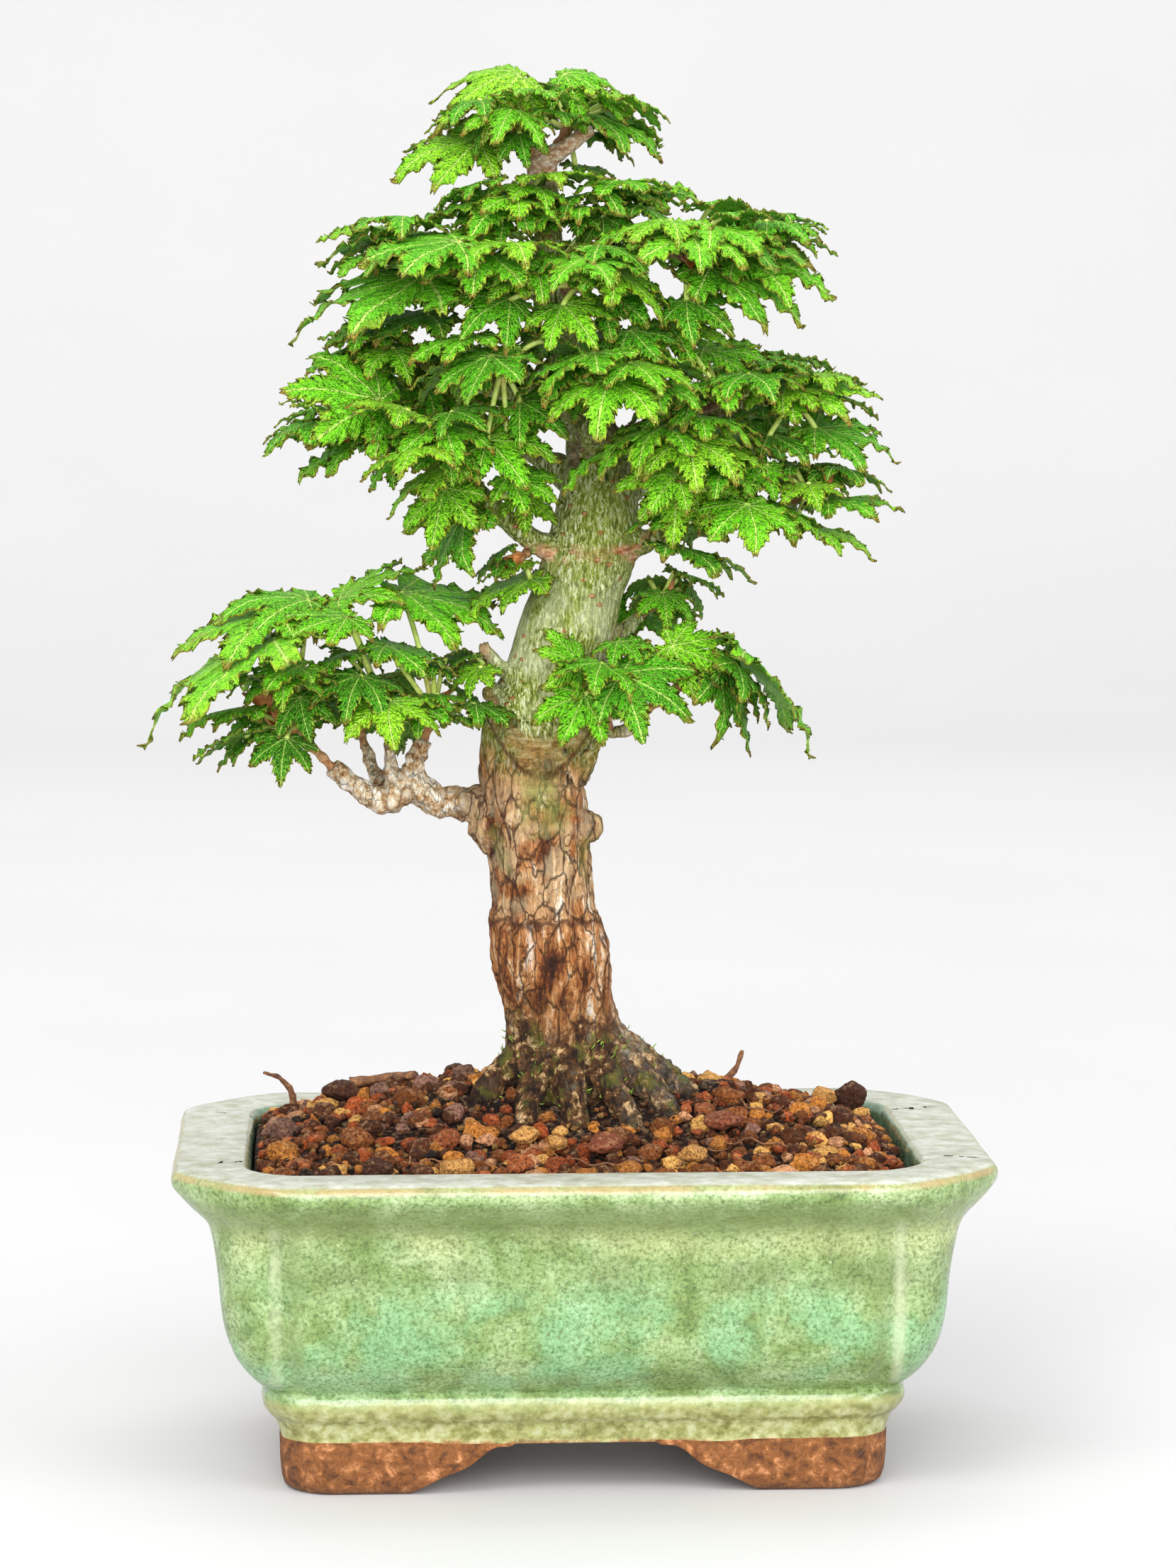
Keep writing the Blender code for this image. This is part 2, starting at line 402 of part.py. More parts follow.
# Dry twigs and the bark chip: name, radius, points (x, y, height above the soil)
LITTER = (
    (
        "dry_twig_left",
        0.8,
        ((-57.0, 20.0, 0.9), (-57.5, 19.5, 4.5), (-60.0, 18.5, 8.0), (-63.0, 17.0, 10.0)),
    ),
    ("dry_twig_right", 0.8, ((31.0, 12.0, 0.9), (33.0, 11.5, 4.0), (34.0, 11.0, 7.6))),
    ("bark_chip", 1.5, ((-45.0, 12.0, 1.9), (-39.0, 11.5, 2.4), (-32.0, 10.0, 2.2))),
)
LITTER_TAPER = 0.25
LITTER_SIDES = 6

COLOURS = {
    "celadon_glaze": ((0.50, 0.66, 0.52), 0.22),
    "screen_plastic": ((0.03, 0.03, 0.03), 0.6),
    "soil_grains": ((0.16, 0.07, 0.035), 0.95),
    "maple_bark": ((0.42, 0.30, 0.17), 0.85),
    "maple_leaf": ((0.12, 0.42, 0.05), 0.55),
    "lava_brown": ((0.14, 0.06, 0.035), 0.95),
    "lava_red": ((0.38, 0.12, 0.07), 0.95),
    "pumice_tan": ((0.62, 0.38, 0.16), 0.9),
    "dry_wood": ((0.14, 0.07, 0.04), 0.85),
}


def clear_scene():
    for ob in list(bpy.data.objects):
        bpy.data.objects.remove(ob, do_unlink=True)


def material(slot):
    found = bpy.data.materials.get(slot)
    if found:
        return found
    colour, roughness = COLOURS[slot]
    made = bpy.data.materials.new(slot)
    made.use_nodes = True
    shader = made.node_tree.nodes["Principled BSDF"]
    shader.inputs["Base Color"].default_value = (*colour, 1.0)
    shader.inputs["Roughness"].default_value = roughness
    shader.inputs["Metallic"].default_value = 0.0
    return made


def mesh_from(name, points, faces):
    mesh = bpy.data.meshes.new(name)
    mesh.from_pydata([tuple(p) for p in points], [], faces)
    mesh.update()
    return mesh


def place(name, mesh, slot=None):
    """An object in the scene from a mesh in metres."""
    ob = bpy.data.objects.new(name, mesh)
    bpy.context.scene.collection.objects.link(ob)
    if slot:
        mesh.materials.clear()
        mesh.materials.append(material(slot))
        mesh.shade_smooth()
    return ob


def in_metres(points):
    return [(Vector(p) + POT_SHIFT) * MM for p in points]


def evaluated(ob):
    graph = bpy.context.evaluated_depsgraph_get()
    return bpy.data.meshes.new_from_object(ob.evaluated_get(graph))


def combined(ob, others, operation, name):
    """The mesh of a Boolean of one object with several others, which are all removed."""
    group = bpy.data.collections.new(name + "_operands")
    for other in others:
        group.objects.link(other)
    cut = ob.modifiers.new("Boolean", "BOOLEAN")
    cut.operation = operation
    cut.operand_type = "COLLECTION"
    cut.collection = group
    cut.solver = "EXACT"
    mesh = evaluated(ob)
    for each in [ob, *others]:
        bpy.data.objects.remove(each, do_unlink=True)
    bpy.data.collections.remove(group)
    return mesh


def outer_skin(mesh):
    """Fills the sealed hollows that crossing leaves enclose: only the widest shell stays."""
    shape = bmesh.new()
    shape.from_mesh(mesh)
    seen, shells = set(), []
    for start in shape.verts:
        if start in seen:
            continue
        shell, edge = [], [start]
        seen.add(start)
        while edge:
            vertex = edge.pop()
            shell.append(vertex)
            for link in vertex.link_edges:
                other = link.other_vert(vertex)
                if other not in seen:
                    seen.add(other)
                    edge.append(other)
        shells.append(shell)
    shells.sort(key=span)
    for shell in shells[:-1]:
        bmesh.ops.delete(shape, geom=shell, context="VERTS")
    shape.to_mesh(mesh)
    shape.free()
    return mesh


def span(vertices):
    return sum(max(v.co[k] for v in vertices) - min(v.co[k] for v in vertices) for k in range(3))


def loft(rings, close_start=True, close_end=True):
    """Points and quads through rings of equal length, with flat ends."""
    count = len(rings[0])
    points = [p for ring in rings for p in ring]
    faces = []
    for level in range(len(rings) - 1):
        low, high = level * count, (level + 1) * count
        for i in range(count):
            j = (i + 1) % count
            faces.append((low + i, low + j, high + j, high + i))
    if close_start:
        faces.append(tuple(reversed(range(count))))
    if close_end:
        first = (len(rings) - 1) * count
        faces.append(tuple(range(first, first + count)))
    return points, faces


# ---------------------------------------------------------------- pot


def quadrant(half_x, half_y, straight, power, groove, fine):
    """One quarter of the plan outline, from the middle of the front to the right side."""
    corner = half_x - straight
    side_straight = half_y - corner
    stations = (0.0, 0.5, 0.86) if fine else (0.0, 0.6)
    near = (1.9,) if fine else ()
    turns = 5 if fine else 4
    points = [(straight * t, -half_y) for t in stations]
    points += [(straight - d, -half_y) for d in near]
    for k in range(turns + 1):
        angle = math.pi / 2 * k / turns
        across = max(math.sin(angle), 0.0) ** (2 / power)
        along = max(math.cos(angle), 0.0) ** (2 / power)
        points.append((straight + corner * across, -side_straight - corner * along))
    points += [(half_x, -side_straight + d) for d in reversed(near)]
    points += [(half_x, -side_straight * (1 - t)) for t in stations[1:]]
    grooved = []
    for x, y in points:
        front = math.hypot(x - straight, y + half_y) / GROOVE_WIDTH
        side = math.hypot(x - half_x, y + side_straight) / GROOVE_WIDTH
        grooved.append(
            (x - groove * math.exp(-side * side), y + groove * math.exp(-front * front))
        )
    return grooved


def outline(half_x, half_y, straight, power, groove=0.0, fine=True):
    quarter = quadrant(half_x, half_y, straight, power, groove, fine)
    back = [(x, -y) for x, y in reversed(quarter)]
    half = quarter + back
    other = [(-x, y) for x, y in reversed(half)]
    return half + other[1:-1]


def pot_rings():
    """Rings of the pot's skin, from the middle of its underside to the middle of the floor."""
    rings = []
    for height, inset, straight, groove in reversed(POT_PROFILE):
        lift = min(max((height - LIP_START) / LIP_HEIGHT, 0.0), 1.0)
        power = BODY_CORNER_POWER + (RIM_CORNER_POWER - BODY_CORNER_POWER) * lift
        ring = outline(
            RIM_HALF_LENGTH - inset, RIM_HALF_DEPTH - inset, straight, power, groove
        )
        rings.append([(x, y, height) for x, y in ring])
    for height, inset in CAVITY_PROFILE:
        half_x = OPENING_HALF_LENGTH - inset
        ring = outline(
            half_x, OPENING_HALF_DEPTH - inset, half_x - OPENING_CORNER, BODY_CORNER_POWER
        )
        rings.append([(x, y, height) for x, y in ring])
    return rings


def foot_ring():
    """The foot ring before its arches are cut."""
    outer, inner = [], []
    for height, inset in FOOT_PROFILE:
        half_x = RIM_HALF_LENGTH - inset
        half_y = RIM_HALF_DEPTH - inset
        ring = outline(half_x, half_y, half_x - FOOT_CORNER, BODY_CORNER_POWER, fine=False)
        outer.append([(x, y, height) for x, y in ring])
        half_x -= FOOT_THICKNESS
        half_y -= FOOT_THICKNESS
        ring = outline(half_x, half_y, half_x - FOOT_INNER_CORNER, BODY_CORNER_POWER, fine=False)
        inner.append([(x, y, height) for x, y in ring])
    rings = outer + list(reversed(inner))
    count = len(rings[0])
    points, faces = loft(rings, False, False)
    last = (len(rings) - 1) * count
    for i in range(count):
        j = (i + 1) % count
        faces.append((last + i, last + j, j, i))
    return place("foot_ring", mesh_from("foot_ring", in_metres(points), faces))


def arch_cutter(name, along_x, scale):
    """A prism with the arch's outline, through both walls of the foot ring."""
    side = [(d * scale, h) for d, h in FOOT_ARCH]
    section = side + [(-d, h) for d, h in reversed(side)]
    reach = 1.125 * RIM_HALF_LENGTH
    rings = []
    for end in (-reach, reach):
        if along_x:
            rings.append([(end, d, h) for d, h in section])
        else:
            rings.append([(-d, end, h) for d, h in section])
    points, faces = loft(rings)
    return place(name, mesh_from(name, in_metres(points), faces))


def cylinder(name, x, y, low, high, radius, sides=20):
    rings = []
    for height in (low, high):
        ring = []
        for k in range(sides):
            angle = 2 * math.pi * k / sides
            ring.append((x + radius * math.cos(angle), y + radius * math.sin(angle), height))
        rings.append(ring)
    points, faces = loft(rings)
    return place(name, mesh_from(name, in_metres(points), faces))


def build_pot():
    points, faces = loft(pot_rings())
    body = place("body", mesh_from("body", in_metres(points), faces))
    arches = [
        arch_cutter("arch_long", False, 1.0),
        arch_cutter("arch_short", True, SIDE_ARCH_SCALE),
    ]
    feet = place("feet", combined(foot_ring(), arches, "DIFFERENCE", "feet"))
    joined = place("joined", combined(body, [feet], "UNION", "joined"))
    holes = [
        cylinder("hole", side * HOLE_OFFSET, 0.0, 0.0, HOLE_CUT, HOLE_RADIUS) for side in (-1, 1)
    ]
    place("pot", combined(joined, holes, "DIFFERENCE", "pot"), "celadon_glaze")


def build_screen(name, x):
    """A square of plastic net over a drainage hole."""
    half = SCREEN_SIZE / 2
    plate = box("plate", (x, 0.0, SCREEN_BASE + SCREEN_THICKNESS / 2), (half, half, SCREEN_THICKNESS / 2))
    pitch = SCREEN_SIZE / (SCREEN_CELLS + 0.6)
    cutters = []
    for i in range(SCREEN_CELLS):
        for j in range(SCREEN_CELLS):
            at_x = x + (i - (SCREEN_CELLS - 1) / 2) * pitch
            at_y = (j - (SCREEN_CELLS - 1) / 2) * pitch
            cell = pitch * SCREEN_OPEN / 2
            cutters.append(box("cell", (at_x, at_y, SCREEN_BASE), (cell, cell, 3.0)))
    place(name, combined(plate, cutters, "DIFFERENCE", name), "screen_plastic")


def box(name, centre, half):
    points = []
    for z in (-1, 1):
        for x, y in ((-1, -1), (1, -1), (1, 1), (-1, 1)):
            points.append(
                (centre[0] + x * half[0], centre[1] + y * half[1], centre[2] + z * half[2])
            )
    faces = [(3, 2, 1, 0), (4, 5, 6, 7)]
    for i in range(4):
        j = (i + 1) % 4
        faces.append((i, j, 4 + j, 4 + i))
    return place(name, mesh_from(name, in_metres(points), faces))


# ---------------------------------------------------------------- soil


def soil_height(x, y):
    """Height of the soil: level at the wall, mounded round the trunk, a little uneven."""
    along = max(1.0 - ((x + MOUND_SHIFT) / MOUND_HALF_LENGTH) ** 2, 0.0) ** MOUND_POWER
    across = max(1.0 - (y / MOUND_HALF_DEPTH) ** 2, 0.0) ** MOUND_POWER
    if y < 0.0:
        across = math.exp(-((y / MOUND_FRONT) ** 2))
    mound = SOIL_MOUND * along * across
    bumps = SOIL_BUMP * noise.noise(Vector((x, y, 5.0)) * SOIL_BUMP_PITCH)
    return SOIL_EDGE + mound + bumps


def build_soil(wood):
    rings = []

    def cavity(height, inset):
        half_x = OPENING_HALF_LENGTH - inset
        return outline(
            half_x, OPENING_HALF_DEPTH - inset, half_x - OPENING_CORNER, BODY_CORNER_POWER, fine=False
        )

    for height, inset in SOIL_PROFILE:
        rings.append([(x, y, height) for x, y in cavity(height, inset + SOIL_GAP)])
    edge = cavity(SOIL_EDGE, SOIL_EDGE_INSET + SOIL_GAP)
    for share in SOIL_RINGS:
        ring = []
        for x, y in edge:
            ring.append((x * share, y * share, soil_height(x * share, y * share)))
        rings.append(ring)
    points, faces = loft(rings)
    soil = place("mass", mesh_from("mass", in_metres(points), faces))
    hollow = place("hollow", swollen(wood, ROOT_GAP))
    place("soil", combined(soil, [hollow], "DIFFERENCE", "soil"), "soil_grains")


def swollen(mesh, amount):
    """A copy of a mesh with its skin moved outwards by an amount in mm."""
    copy = mesh.copy()
    moved = [v.co + v.normal * amount * MM for v in copy.vertices]
    for vertex, point in zip(copy.vertices, moved):
        vertex.co = point
    copy.update()
    return copy


def build_stone(name, x, y, size, squash, slot, seed):
    """An uneven grain resting on the soil."""
    centre = Vector((x, y, soil_height(x, y) + size * squash + STONE_GAP))
    rows = []
    for i in range(1, STONE_ROWS):
        polar = math.pi * i / STONE_ROWS
        ring = []
        for k in range(STONE_SIDES):
            angle = 2 * math.pi * k / STONE_SIDES
            unit = Vector(
                (math.sin(polar) * math.cos(angle), math.sin(polar) * math.sin(angle), -math.cos(polar))
            )
            reach = size * (1.0 + STONE_ROUGHNESS * noise.noise(unit * 1.3 + Vector((seed * 7.1, 0, 0))))
            ring.append(centre + Vector((unit.x * reach, unit.y * reach, unit.z * reach * squash)))
        rows.append(ring)
    points, faces = loft(rows)
    place(name, mesh_from(name, in_metres(points), faces), slot)


def tube_rings(path, radii, sides):
    """Rings square to a path, turned as little as possible from one to the next."""
    rings = []
    count = len(path)
    across = None
    for i in range(count):
        ahead = (path[min(i + 1, count - 1)] - path[max(i - 1, 0)]).normalized()
        if across is None:
            across = ahead.orthogonal().normalized()
        across = (across - ahead * across.dot(ahead)).normalized()
        up = ahead.cross(across)
        ring = []
        for k in range(sides):
            angle = 2 * math.pi * k / sides
            ring.append(path[i] + (across * math.cos(angle) + up * math.sin(angle)) * radii[i])
        rings.append(ring)
    return rings


def smooth_path(stations, steps):
    """Catmull-Rom points through (x, y, z, radius) stations."""
    rows = [Vector(s) for s in stations]
    rows = [rows[0] * 2 - rows[1], *rows, rows[-1] * 2 - rows[-2]]
    out = []
    for i in range(1, len(rows) - 2):
        a, b, c, d = rows[i - 1 : i + 3]
        for k in range(steps):
            t = k / steps
            square = (2 * a - 5 * b + 4 * c - d) * t**2
            cube = (3 * b - a - 3 * c + d) * t**3
            out.append(0.5 * (2 * b + (c - a) * t + square + cube))
    out.append(rows[-2])
    return [Vector(p[:3]) for p in out], [max(p[3], 0.3) for p in out]


def build_litter(name, radius, stations):
    path = [Vector((x, y, soil_height(x, y) + up)) for x, y, up in stations]
    radii = [radius * (1.0 - LITTER_TAPER * i / (len(path) - 1)) for i in range(len(path))]
    points, faces = loft(tube_rings(path, radii, LITTER_SIDES))
    place(name, mesh_from(name, in_metres(points), faces), "dry_wood")


# ---------------------------------------------------------------- wood


def build_wood():
    """Roots, trunk and branches grown together: tubes fused into one skin."""
    points, faces = [], []
    for limb in LIMBS:
        path, radii = smooth_path(limb, LIMB_STEPS)
        more_points, more_faces = loft(tube_rings(path, radii, LIMB_SIDES))
        first = len(points)
        points += more_points
        faces += [tuple(first + i for i in face) for face in more_faces]
    tubes = place("tubes", mesh_from("tubes", in_metres(points), faces))
    fuse = tubes.modifiers.new("Remesh", "REMESH")
    fuse.mode = "VOXEL"
    fuse.voxel_size = WOOD_CELL * MM
    fused = evaluated(tubes)
    bpy.data.objects.remove(tubes, do_unlink=True)
    skin = place("skin", fused)
    triangles = sum(len(p.vertices) - 2 for p in fused.polygons)
    thin = skin.modifiers.new("Decimate", "DECIMATE")
    thin.ratio = WOOD_TRIANGLES / triangles
    mesh = evaluated(skin)
    bpy.data.objects.remove(skin, do_unlink=True)
    place("tree_wood", mesh, "maple_bark")
    return mesh


# ---------------------------------------------------------------- leaves


def blade(radius, cup, top, bottom):
    """A palmate blade about its stalk's end: +X along the middle lobe, +Z the upper face."""
    rim = []
    count = len(LOBES)
    for k in range(-(count - 1), count):
        angle, length = LOBES[abs(k)]
        angle = math.radians(math.copysign(angle, k))
        rim.append((angle, radius * length))
    full = []
    for k, (angle, reach) in enumerate(rim):
        full.append((angle, reach))
        if k < len(rim) - 1:
            nearer = min(reach, rim[k + 1][1])
            full.append(((angle + rim[k + 1][0]) / 2, nearer * SINUS_DEPTH))
    full.append((math.pi, radius * BLADE_BACK))
    points = [(0.0, 0.0, top), (0.0, 0.0, bottom)]
    for angle, reach in full:
        share = reach / radius
        points.append(
            (reach * math.cos(angle), reach * math.sin(angle), -cup * radius * share * share)
        )
    faces = []
    size = len(full)
    for i in range(size):
        j = (i + 1) % size
        faces.append((0, 2 + i, 2 + j))
        faces.append((1, 2 + j, 2 + i))
    return points, faces


def leaf_matrix(junction, heading, droop, roll):
    out = Vector((math.cos(heading), math.sin(heading), 0.0))
    up = Vector((0.0, 0.0, 1.0))
    middle = out * math.cos(droop) - up * math.sin(droop)
    face = out * math.sin(droop) + up * math.cos(droop)
    side = face.cross(middle)
    turned = Matrix.Rotation(roll, 3, middle)
    face, side = turned @ face, turned @ side
    rows = Matrix((middle, side, face)).transposed().to_4x4()
    return Matrix.Translation(junction) @ rows


def aimed_leaf(junction, tip, lean, cup):
    """The frame and radius of a blade whose middle lobe ends at a given point."""
    chord = tip - junction
    ahead = chord.normalized()
    lean = math.radians(lean)
    sky = Vector((0.0, -math.sin(lean), math.cos(lean)))
    face = (sky - ahead * ahead.dot(sky)).normalized()
    bend = math.atan(cup)
    middle = ahead * math.cos(bend) + face * math.sin(bend)
    face = face * math.cos(bend) - ahead * math.sin(bend)
    side = face.cross(middle)
    rows = Matrix((middle, side, face)).transposed().to_4x4()
    return Matrix.Translation(junction) @ rows, chord.length * math.cos(bend)


def tree_of(points, faces):
    return BVHTree.FromPolygons([Vector(p) for p in points], faces)


def twig_shape(foot, tip, radius):
    """A twig with its end bud."""
    ahead = (tip - foot).normalized()
    path = [foot, *(tip + ahead * past for past, _ in BUD), tip + ahead * BUD_END]
    radii = [radius, *(radius + extra for _, extra in BUD), radius / 2]
    return loft(tube_rings(path, radii, TWIG_SIDES))


def clear_foot(foot, tip, wood):
    """The foot moved along the twig until the twig is clear of the wood."""
    for step in range(FOOT_STEPS):
        start = foot.lerp(tip, FOOT_REACH * step / FOOT_STEPS)
        if not tree_of(*twig_shape(start, tip, TWIG_RADIUS + FOOT_GAP)).overlap(wood):
            return start
    return foot.lerp(tip, FOOT_REACH)


def stalk_shape(tip, junction, face, radius):
    under = junction - face * 0.1
    return loft(tube_rings([tip, under], [radius, radius * 0.8], PETIOLE_SIDES))


def place_outline_leaves(shoots, wood, taken, own):
    """The leaves that give the tree its outline, moved a little in depth where they must."""
    for name, junction, end, lean, cup in LEAVES:
        tip = shoots[name][1]
        for attempt in range(OUTLINE_TRIES):
            shift = DEPTH_STEP * ((attempt + 1) // 2) * (-1 if attempt % 2 else 1)
            slide = Vector((0.0, shift, 0.0))
            start, stop = Vector(junction) + slide, Vector(end) + slide
            frame, size = aimed_leaf(start, stop, lean, cup)
            size *= 1.0 - OUTLINE_SHRINK * attempt
            if fits(name, frame, tip, start, size, cup, wood, taken, own[name]):
                shoots[name][2].append((frame, start, size, cup))
                own[name].append(blade_tree(frame, size, cup))
                taken.append((name, *test_shape(frame, tip, start, size, cup)))
                break


def strewn_leaf(rng, tip, shape, k, attempt):
    """One try at the k-th leaf of a shoot: its frame, junction, radius and cup."""
    leaves, radius, heading, fan, droop, stalk = shape
    tried = attempt / LEAF_TRIES
    loose = LOOSE_FIRST + LOOSE_GAIN * tried
    share = (k + 0.5) / leaves - 0.5
    tier = k % 2
    turn = heading + fan * share + rng.uniform(-TURN_SPREAD, TURN_SPREAD) * loose
    lift = LIFT_LOW + TIER_LIFT * tier + rng.uniform(-LIFT_SPREAD, LIFT_SPREAD) * loose
    down = droop - TIER_DROOP * tier + rng.uniform(-DROOP_SPREAD, DROOP_SPREAD) * loose
    size = radius * rng.uniform(*SIZE_RANGE) * (1.0 - SIZE_LOSS * tried)
    reach = stalk * rng.uniform(*STALK_RANGE) + STALK_SLACK * loose
    roll = math.radians(rng.uniform(-ROLL_SPREAD, ROLL_SPREAD) * loose)
    turn, lift = math.radians(turn), math.radians(lift)
    away = Vector((math.cos(turn) * math.cos(lift), math.sin(turn) * math.cos(lift), math.sin(lift)))
    junction = tip + away * reach
    heading = turn + math.radians(rng.uniform(-HEADING_SPREAD, HEADING_SPREAD))
    frame = leaf_matrix(junction, heading, math.radians(down), roll)
    return frame, junction, size, rng.uniform(*CUP_RANGE)


def grow_shoots(wood_mesh):
    """Places the leaves of every shoot clear of the wood and of the other shoots."""
    rng = random.Random(SEED)
    to_mm = 1.0 / MM
    wood_points = [v.co * to_mm - POT_SHIFT for v in swollen(wood_mesh, WOOD_MARGIN).vertices]
    wood = BVHTree.FromPolygons(wood_points, [tuple(p.vertices) for p in wood_mesh.polygons])
    shoots, own, taken = {}, {}, []
    for name, foot, tip, *_ in SHOOTS:
        tip = Vector(tip)
        start = clear_foot(Vector(foot), tip, wood)
        shoots[name] = (start, tip, [])
        own[name] = []
        stem = tree_of(*twig_shape(start, tip, TWIG_RADIUS + TWIG_MARGIN))
        taken.append((name, start.lerp(tip, 0.5), 12.0, stem))
    place_outline_leaves(shoots, wood, taken, own)
    for name, _, _, *shape in SHOOTS:
        tip, placed = shoots[name][1:]
        for k in range(shape[0]):
            for attempt in range(LEAF_TRIES):
                frame, junction, size, cup = strewn_leaf(rng, tip, shape, k, attempt)
                if fits(name, frame, tip, junction, size, cup, wood, taken, own[name]):
                    placed.append((frame, junction, size, cup))
                    own[name].append(blade_tree(frame, size, cup))
                    taken.append((name, *test_shape(frame, tip, junction, size, cup)))
                    break
    return shoots


def test_shape(frame, tip, junction, size, cup):
    """A swollen leaf: its middle, its reach and its search tree."""
    points, faces = blade(size * BLADE_MARGIN, cup, *BLADE_CLEAR)
    points = [frame @ Vector(p) for p in points]
    wide = PETIOLE_RADIUS + PETIOLE_MARGIN
    stalk_points, stalk_faces = stalk_shape(tip, junction, frame.to_3x3().col[2], wide)
    first = len(points)
    points += stalk_points
    faces = faces + [tuple(first + i for i in face) for face in stalk_faces]
    middle = (tip + frame @ Vector((size * 0.5, 0, 0))) * 0.5
    return middle, size * 1.4 + (junction - tip).length * 0.5 + 4.0, tree_of(points, faces)


def blade_tree(frame, size, cup):
    points, faces = blade(size, cup, *BLADE_APART)
    return tree_of([frame @ Vector(p) for p in points], faces)


def fits(name, frame, tip, junction, size, cup, wood, taken, own):
    plain = blade_tree(frame, size, cup)
    if any(plain.overlap(other) for other in own):
        return False
    middle, reach, tree = test_shape(frame, tip, junction, size, cup)
    if tree.overlap(wood):
        return False
    for other, centre, size_other, other_tree in taken:
        if other == name:
            continue
        if (centre - middle).length < reach + size_other and tree.overlap(other_tree):
            return False
    return True


def build_shoot(name, foot, tip, leaves):
    points, faces = twig_shape(foot, tip, TWIG_RADIUS)
    twig = place("twig", mesh_from("twig", in_metres(points), faces))
    pieces = []
    for frame, junction, size, cup in leaves:
        points, faces = blade(size, cup, *BLADE_SKIN)
        points = [frame @ Vector(p) for p in points]
        pieces.append(place("blade", mesh_from("blade", in_metres(points), faces)))
        points, faces = stalk_shape(tip, junction, frame.to_3x3().col[2], PETIOLE_RADIUS)
        pieces.append(place("stalk", mesh_from("stalk", in_metres(points), faces)))
    place(name, outer_skin(combined(twig, pieces, "UNION", name)), "maple_leaf")


def main():
    clear_scene()
    build_pot()
    build_screen("drainage_screen_left", -HOLE_OFFSET)
    build_screen("drainage_screen_right", HOLE_OFFSET)
    wood = build_wood()
    build_soil(wood)
    for stone in STONES:
        build_stone(*stone)
    for litter in LITTER:
        build_litter(*litter)
    for name, (foot, tip, leaves) in grow_shoots(wood).items():
        build_shoot(name, foot, tip, leaves)


main()
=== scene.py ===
import itertools
import json
import math
import random

import bmesh
import bpy
import numpy as np
from mathutils import Matrix, Vector, noise
from mathutils.bvhtree import BVHTree

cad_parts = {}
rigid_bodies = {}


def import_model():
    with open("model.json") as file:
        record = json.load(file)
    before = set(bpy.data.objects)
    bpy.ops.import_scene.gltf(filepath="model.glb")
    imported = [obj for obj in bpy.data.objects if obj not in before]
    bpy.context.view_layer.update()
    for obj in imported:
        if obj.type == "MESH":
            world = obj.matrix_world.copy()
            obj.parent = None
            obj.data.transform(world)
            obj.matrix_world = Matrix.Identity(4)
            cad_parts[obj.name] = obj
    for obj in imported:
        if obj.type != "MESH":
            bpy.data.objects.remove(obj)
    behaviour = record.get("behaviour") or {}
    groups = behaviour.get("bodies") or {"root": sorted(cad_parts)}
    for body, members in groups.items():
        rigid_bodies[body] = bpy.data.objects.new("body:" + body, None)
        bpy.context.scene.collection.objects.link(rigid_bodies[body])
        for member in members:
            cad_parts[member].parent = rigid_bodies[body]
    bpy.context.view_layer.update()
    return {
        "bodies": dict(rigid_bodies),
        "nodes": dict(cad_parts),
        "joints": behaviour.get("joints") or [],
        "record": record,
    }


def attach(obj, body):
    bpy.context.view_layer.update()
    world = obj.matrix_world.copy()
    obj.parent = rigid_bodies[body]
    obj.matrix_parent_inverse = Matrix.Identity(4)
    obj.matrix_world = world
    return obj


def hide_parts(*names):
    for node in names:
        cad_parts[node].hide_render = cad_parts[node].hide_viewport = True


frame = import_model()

MM = 0.001
TO_MM = 1.0 / MM
FULL_TURN = 2 * math.pi
SPIN = 6.28  # the range of random turns
SEED = 41
POT_SHIFT = Vector((3.5, 0.0, 0.0))  # mm, from the object's origin to the pot's centre

# ---------------------------------------------------------------- camera, mm

CAMERA_AT = Vector((-41.294, -949.937, 227.992))
CAMERA_AHEAD = Vector((0.04915891, 0.9940431, -0.0972714))
CAMERA_LENS = 110.21
SENSOR = 36.0

# ---------------------------------------------------------------- pot, mm

RIM_HALF_LENGTH = 80.0
RIM_HALF_DEPTH = 57.0
OPENING_HALF_LENGTH = 64.9
OPENING_HALF_DEPTH = 42.0
OPENING_CORNER = 11.0
HOLE_RADIUS = 6.0
HOLE_OFFSET = 28.0
HOLE_SIDES = 36
CHIP_AT = Vector((46.0, -56.4, 64.4))
CHIP_RADIUS = 3.0
CHIP_DEPTH = 0.5

# Outer profile from the base up: height, inset from the rim, length of the straight
# front from the middle to the corner, depth of the groove beside the corner.
POT_PROFILE = (
    (10.2, 20.6, 50.6, 0.2),
    (11.6, 20.35, 50.8, 0.2),
    (14.2, 19.4, 51.4, 0.3),
    (15.6, 18.2, 52.0, 0.4),
    (17.8, 17.1, 53.0, 0.4),
    (19.8, 17.3, 54.4, 0.5),
    (20.9, 17.9, 55.4, 0.6),
    (22.8, 15.8, 56.6, 1.0),
    (25.5, 13.4, 57.4, 1.4),
    (29.5, 11.1, 58.2, 1.7),
    (36.0, 9.6, 59.0, 2.0),
    (45.0, 8.7, 59.5, 2.0),
    (51.5, 7.6, 60.0, 1.8),
    (54.8, 6.2, 60.0, 1.2),
    (57.6, 3.2, 59.5, 0.7),
    (60.6, 0.4, 59.0, 0.3),
    (62.4, 0.0, 59.0, 0.1),
    (63.7, 0.4, 59.0, 0.0),
    (64.4, 1.5, 59.0, 0.0),
)
RIM_CORNER_POWER = 1.3
BODY_CORNER_POWER = 1.8
GROOVE_WIDTH = 1.9
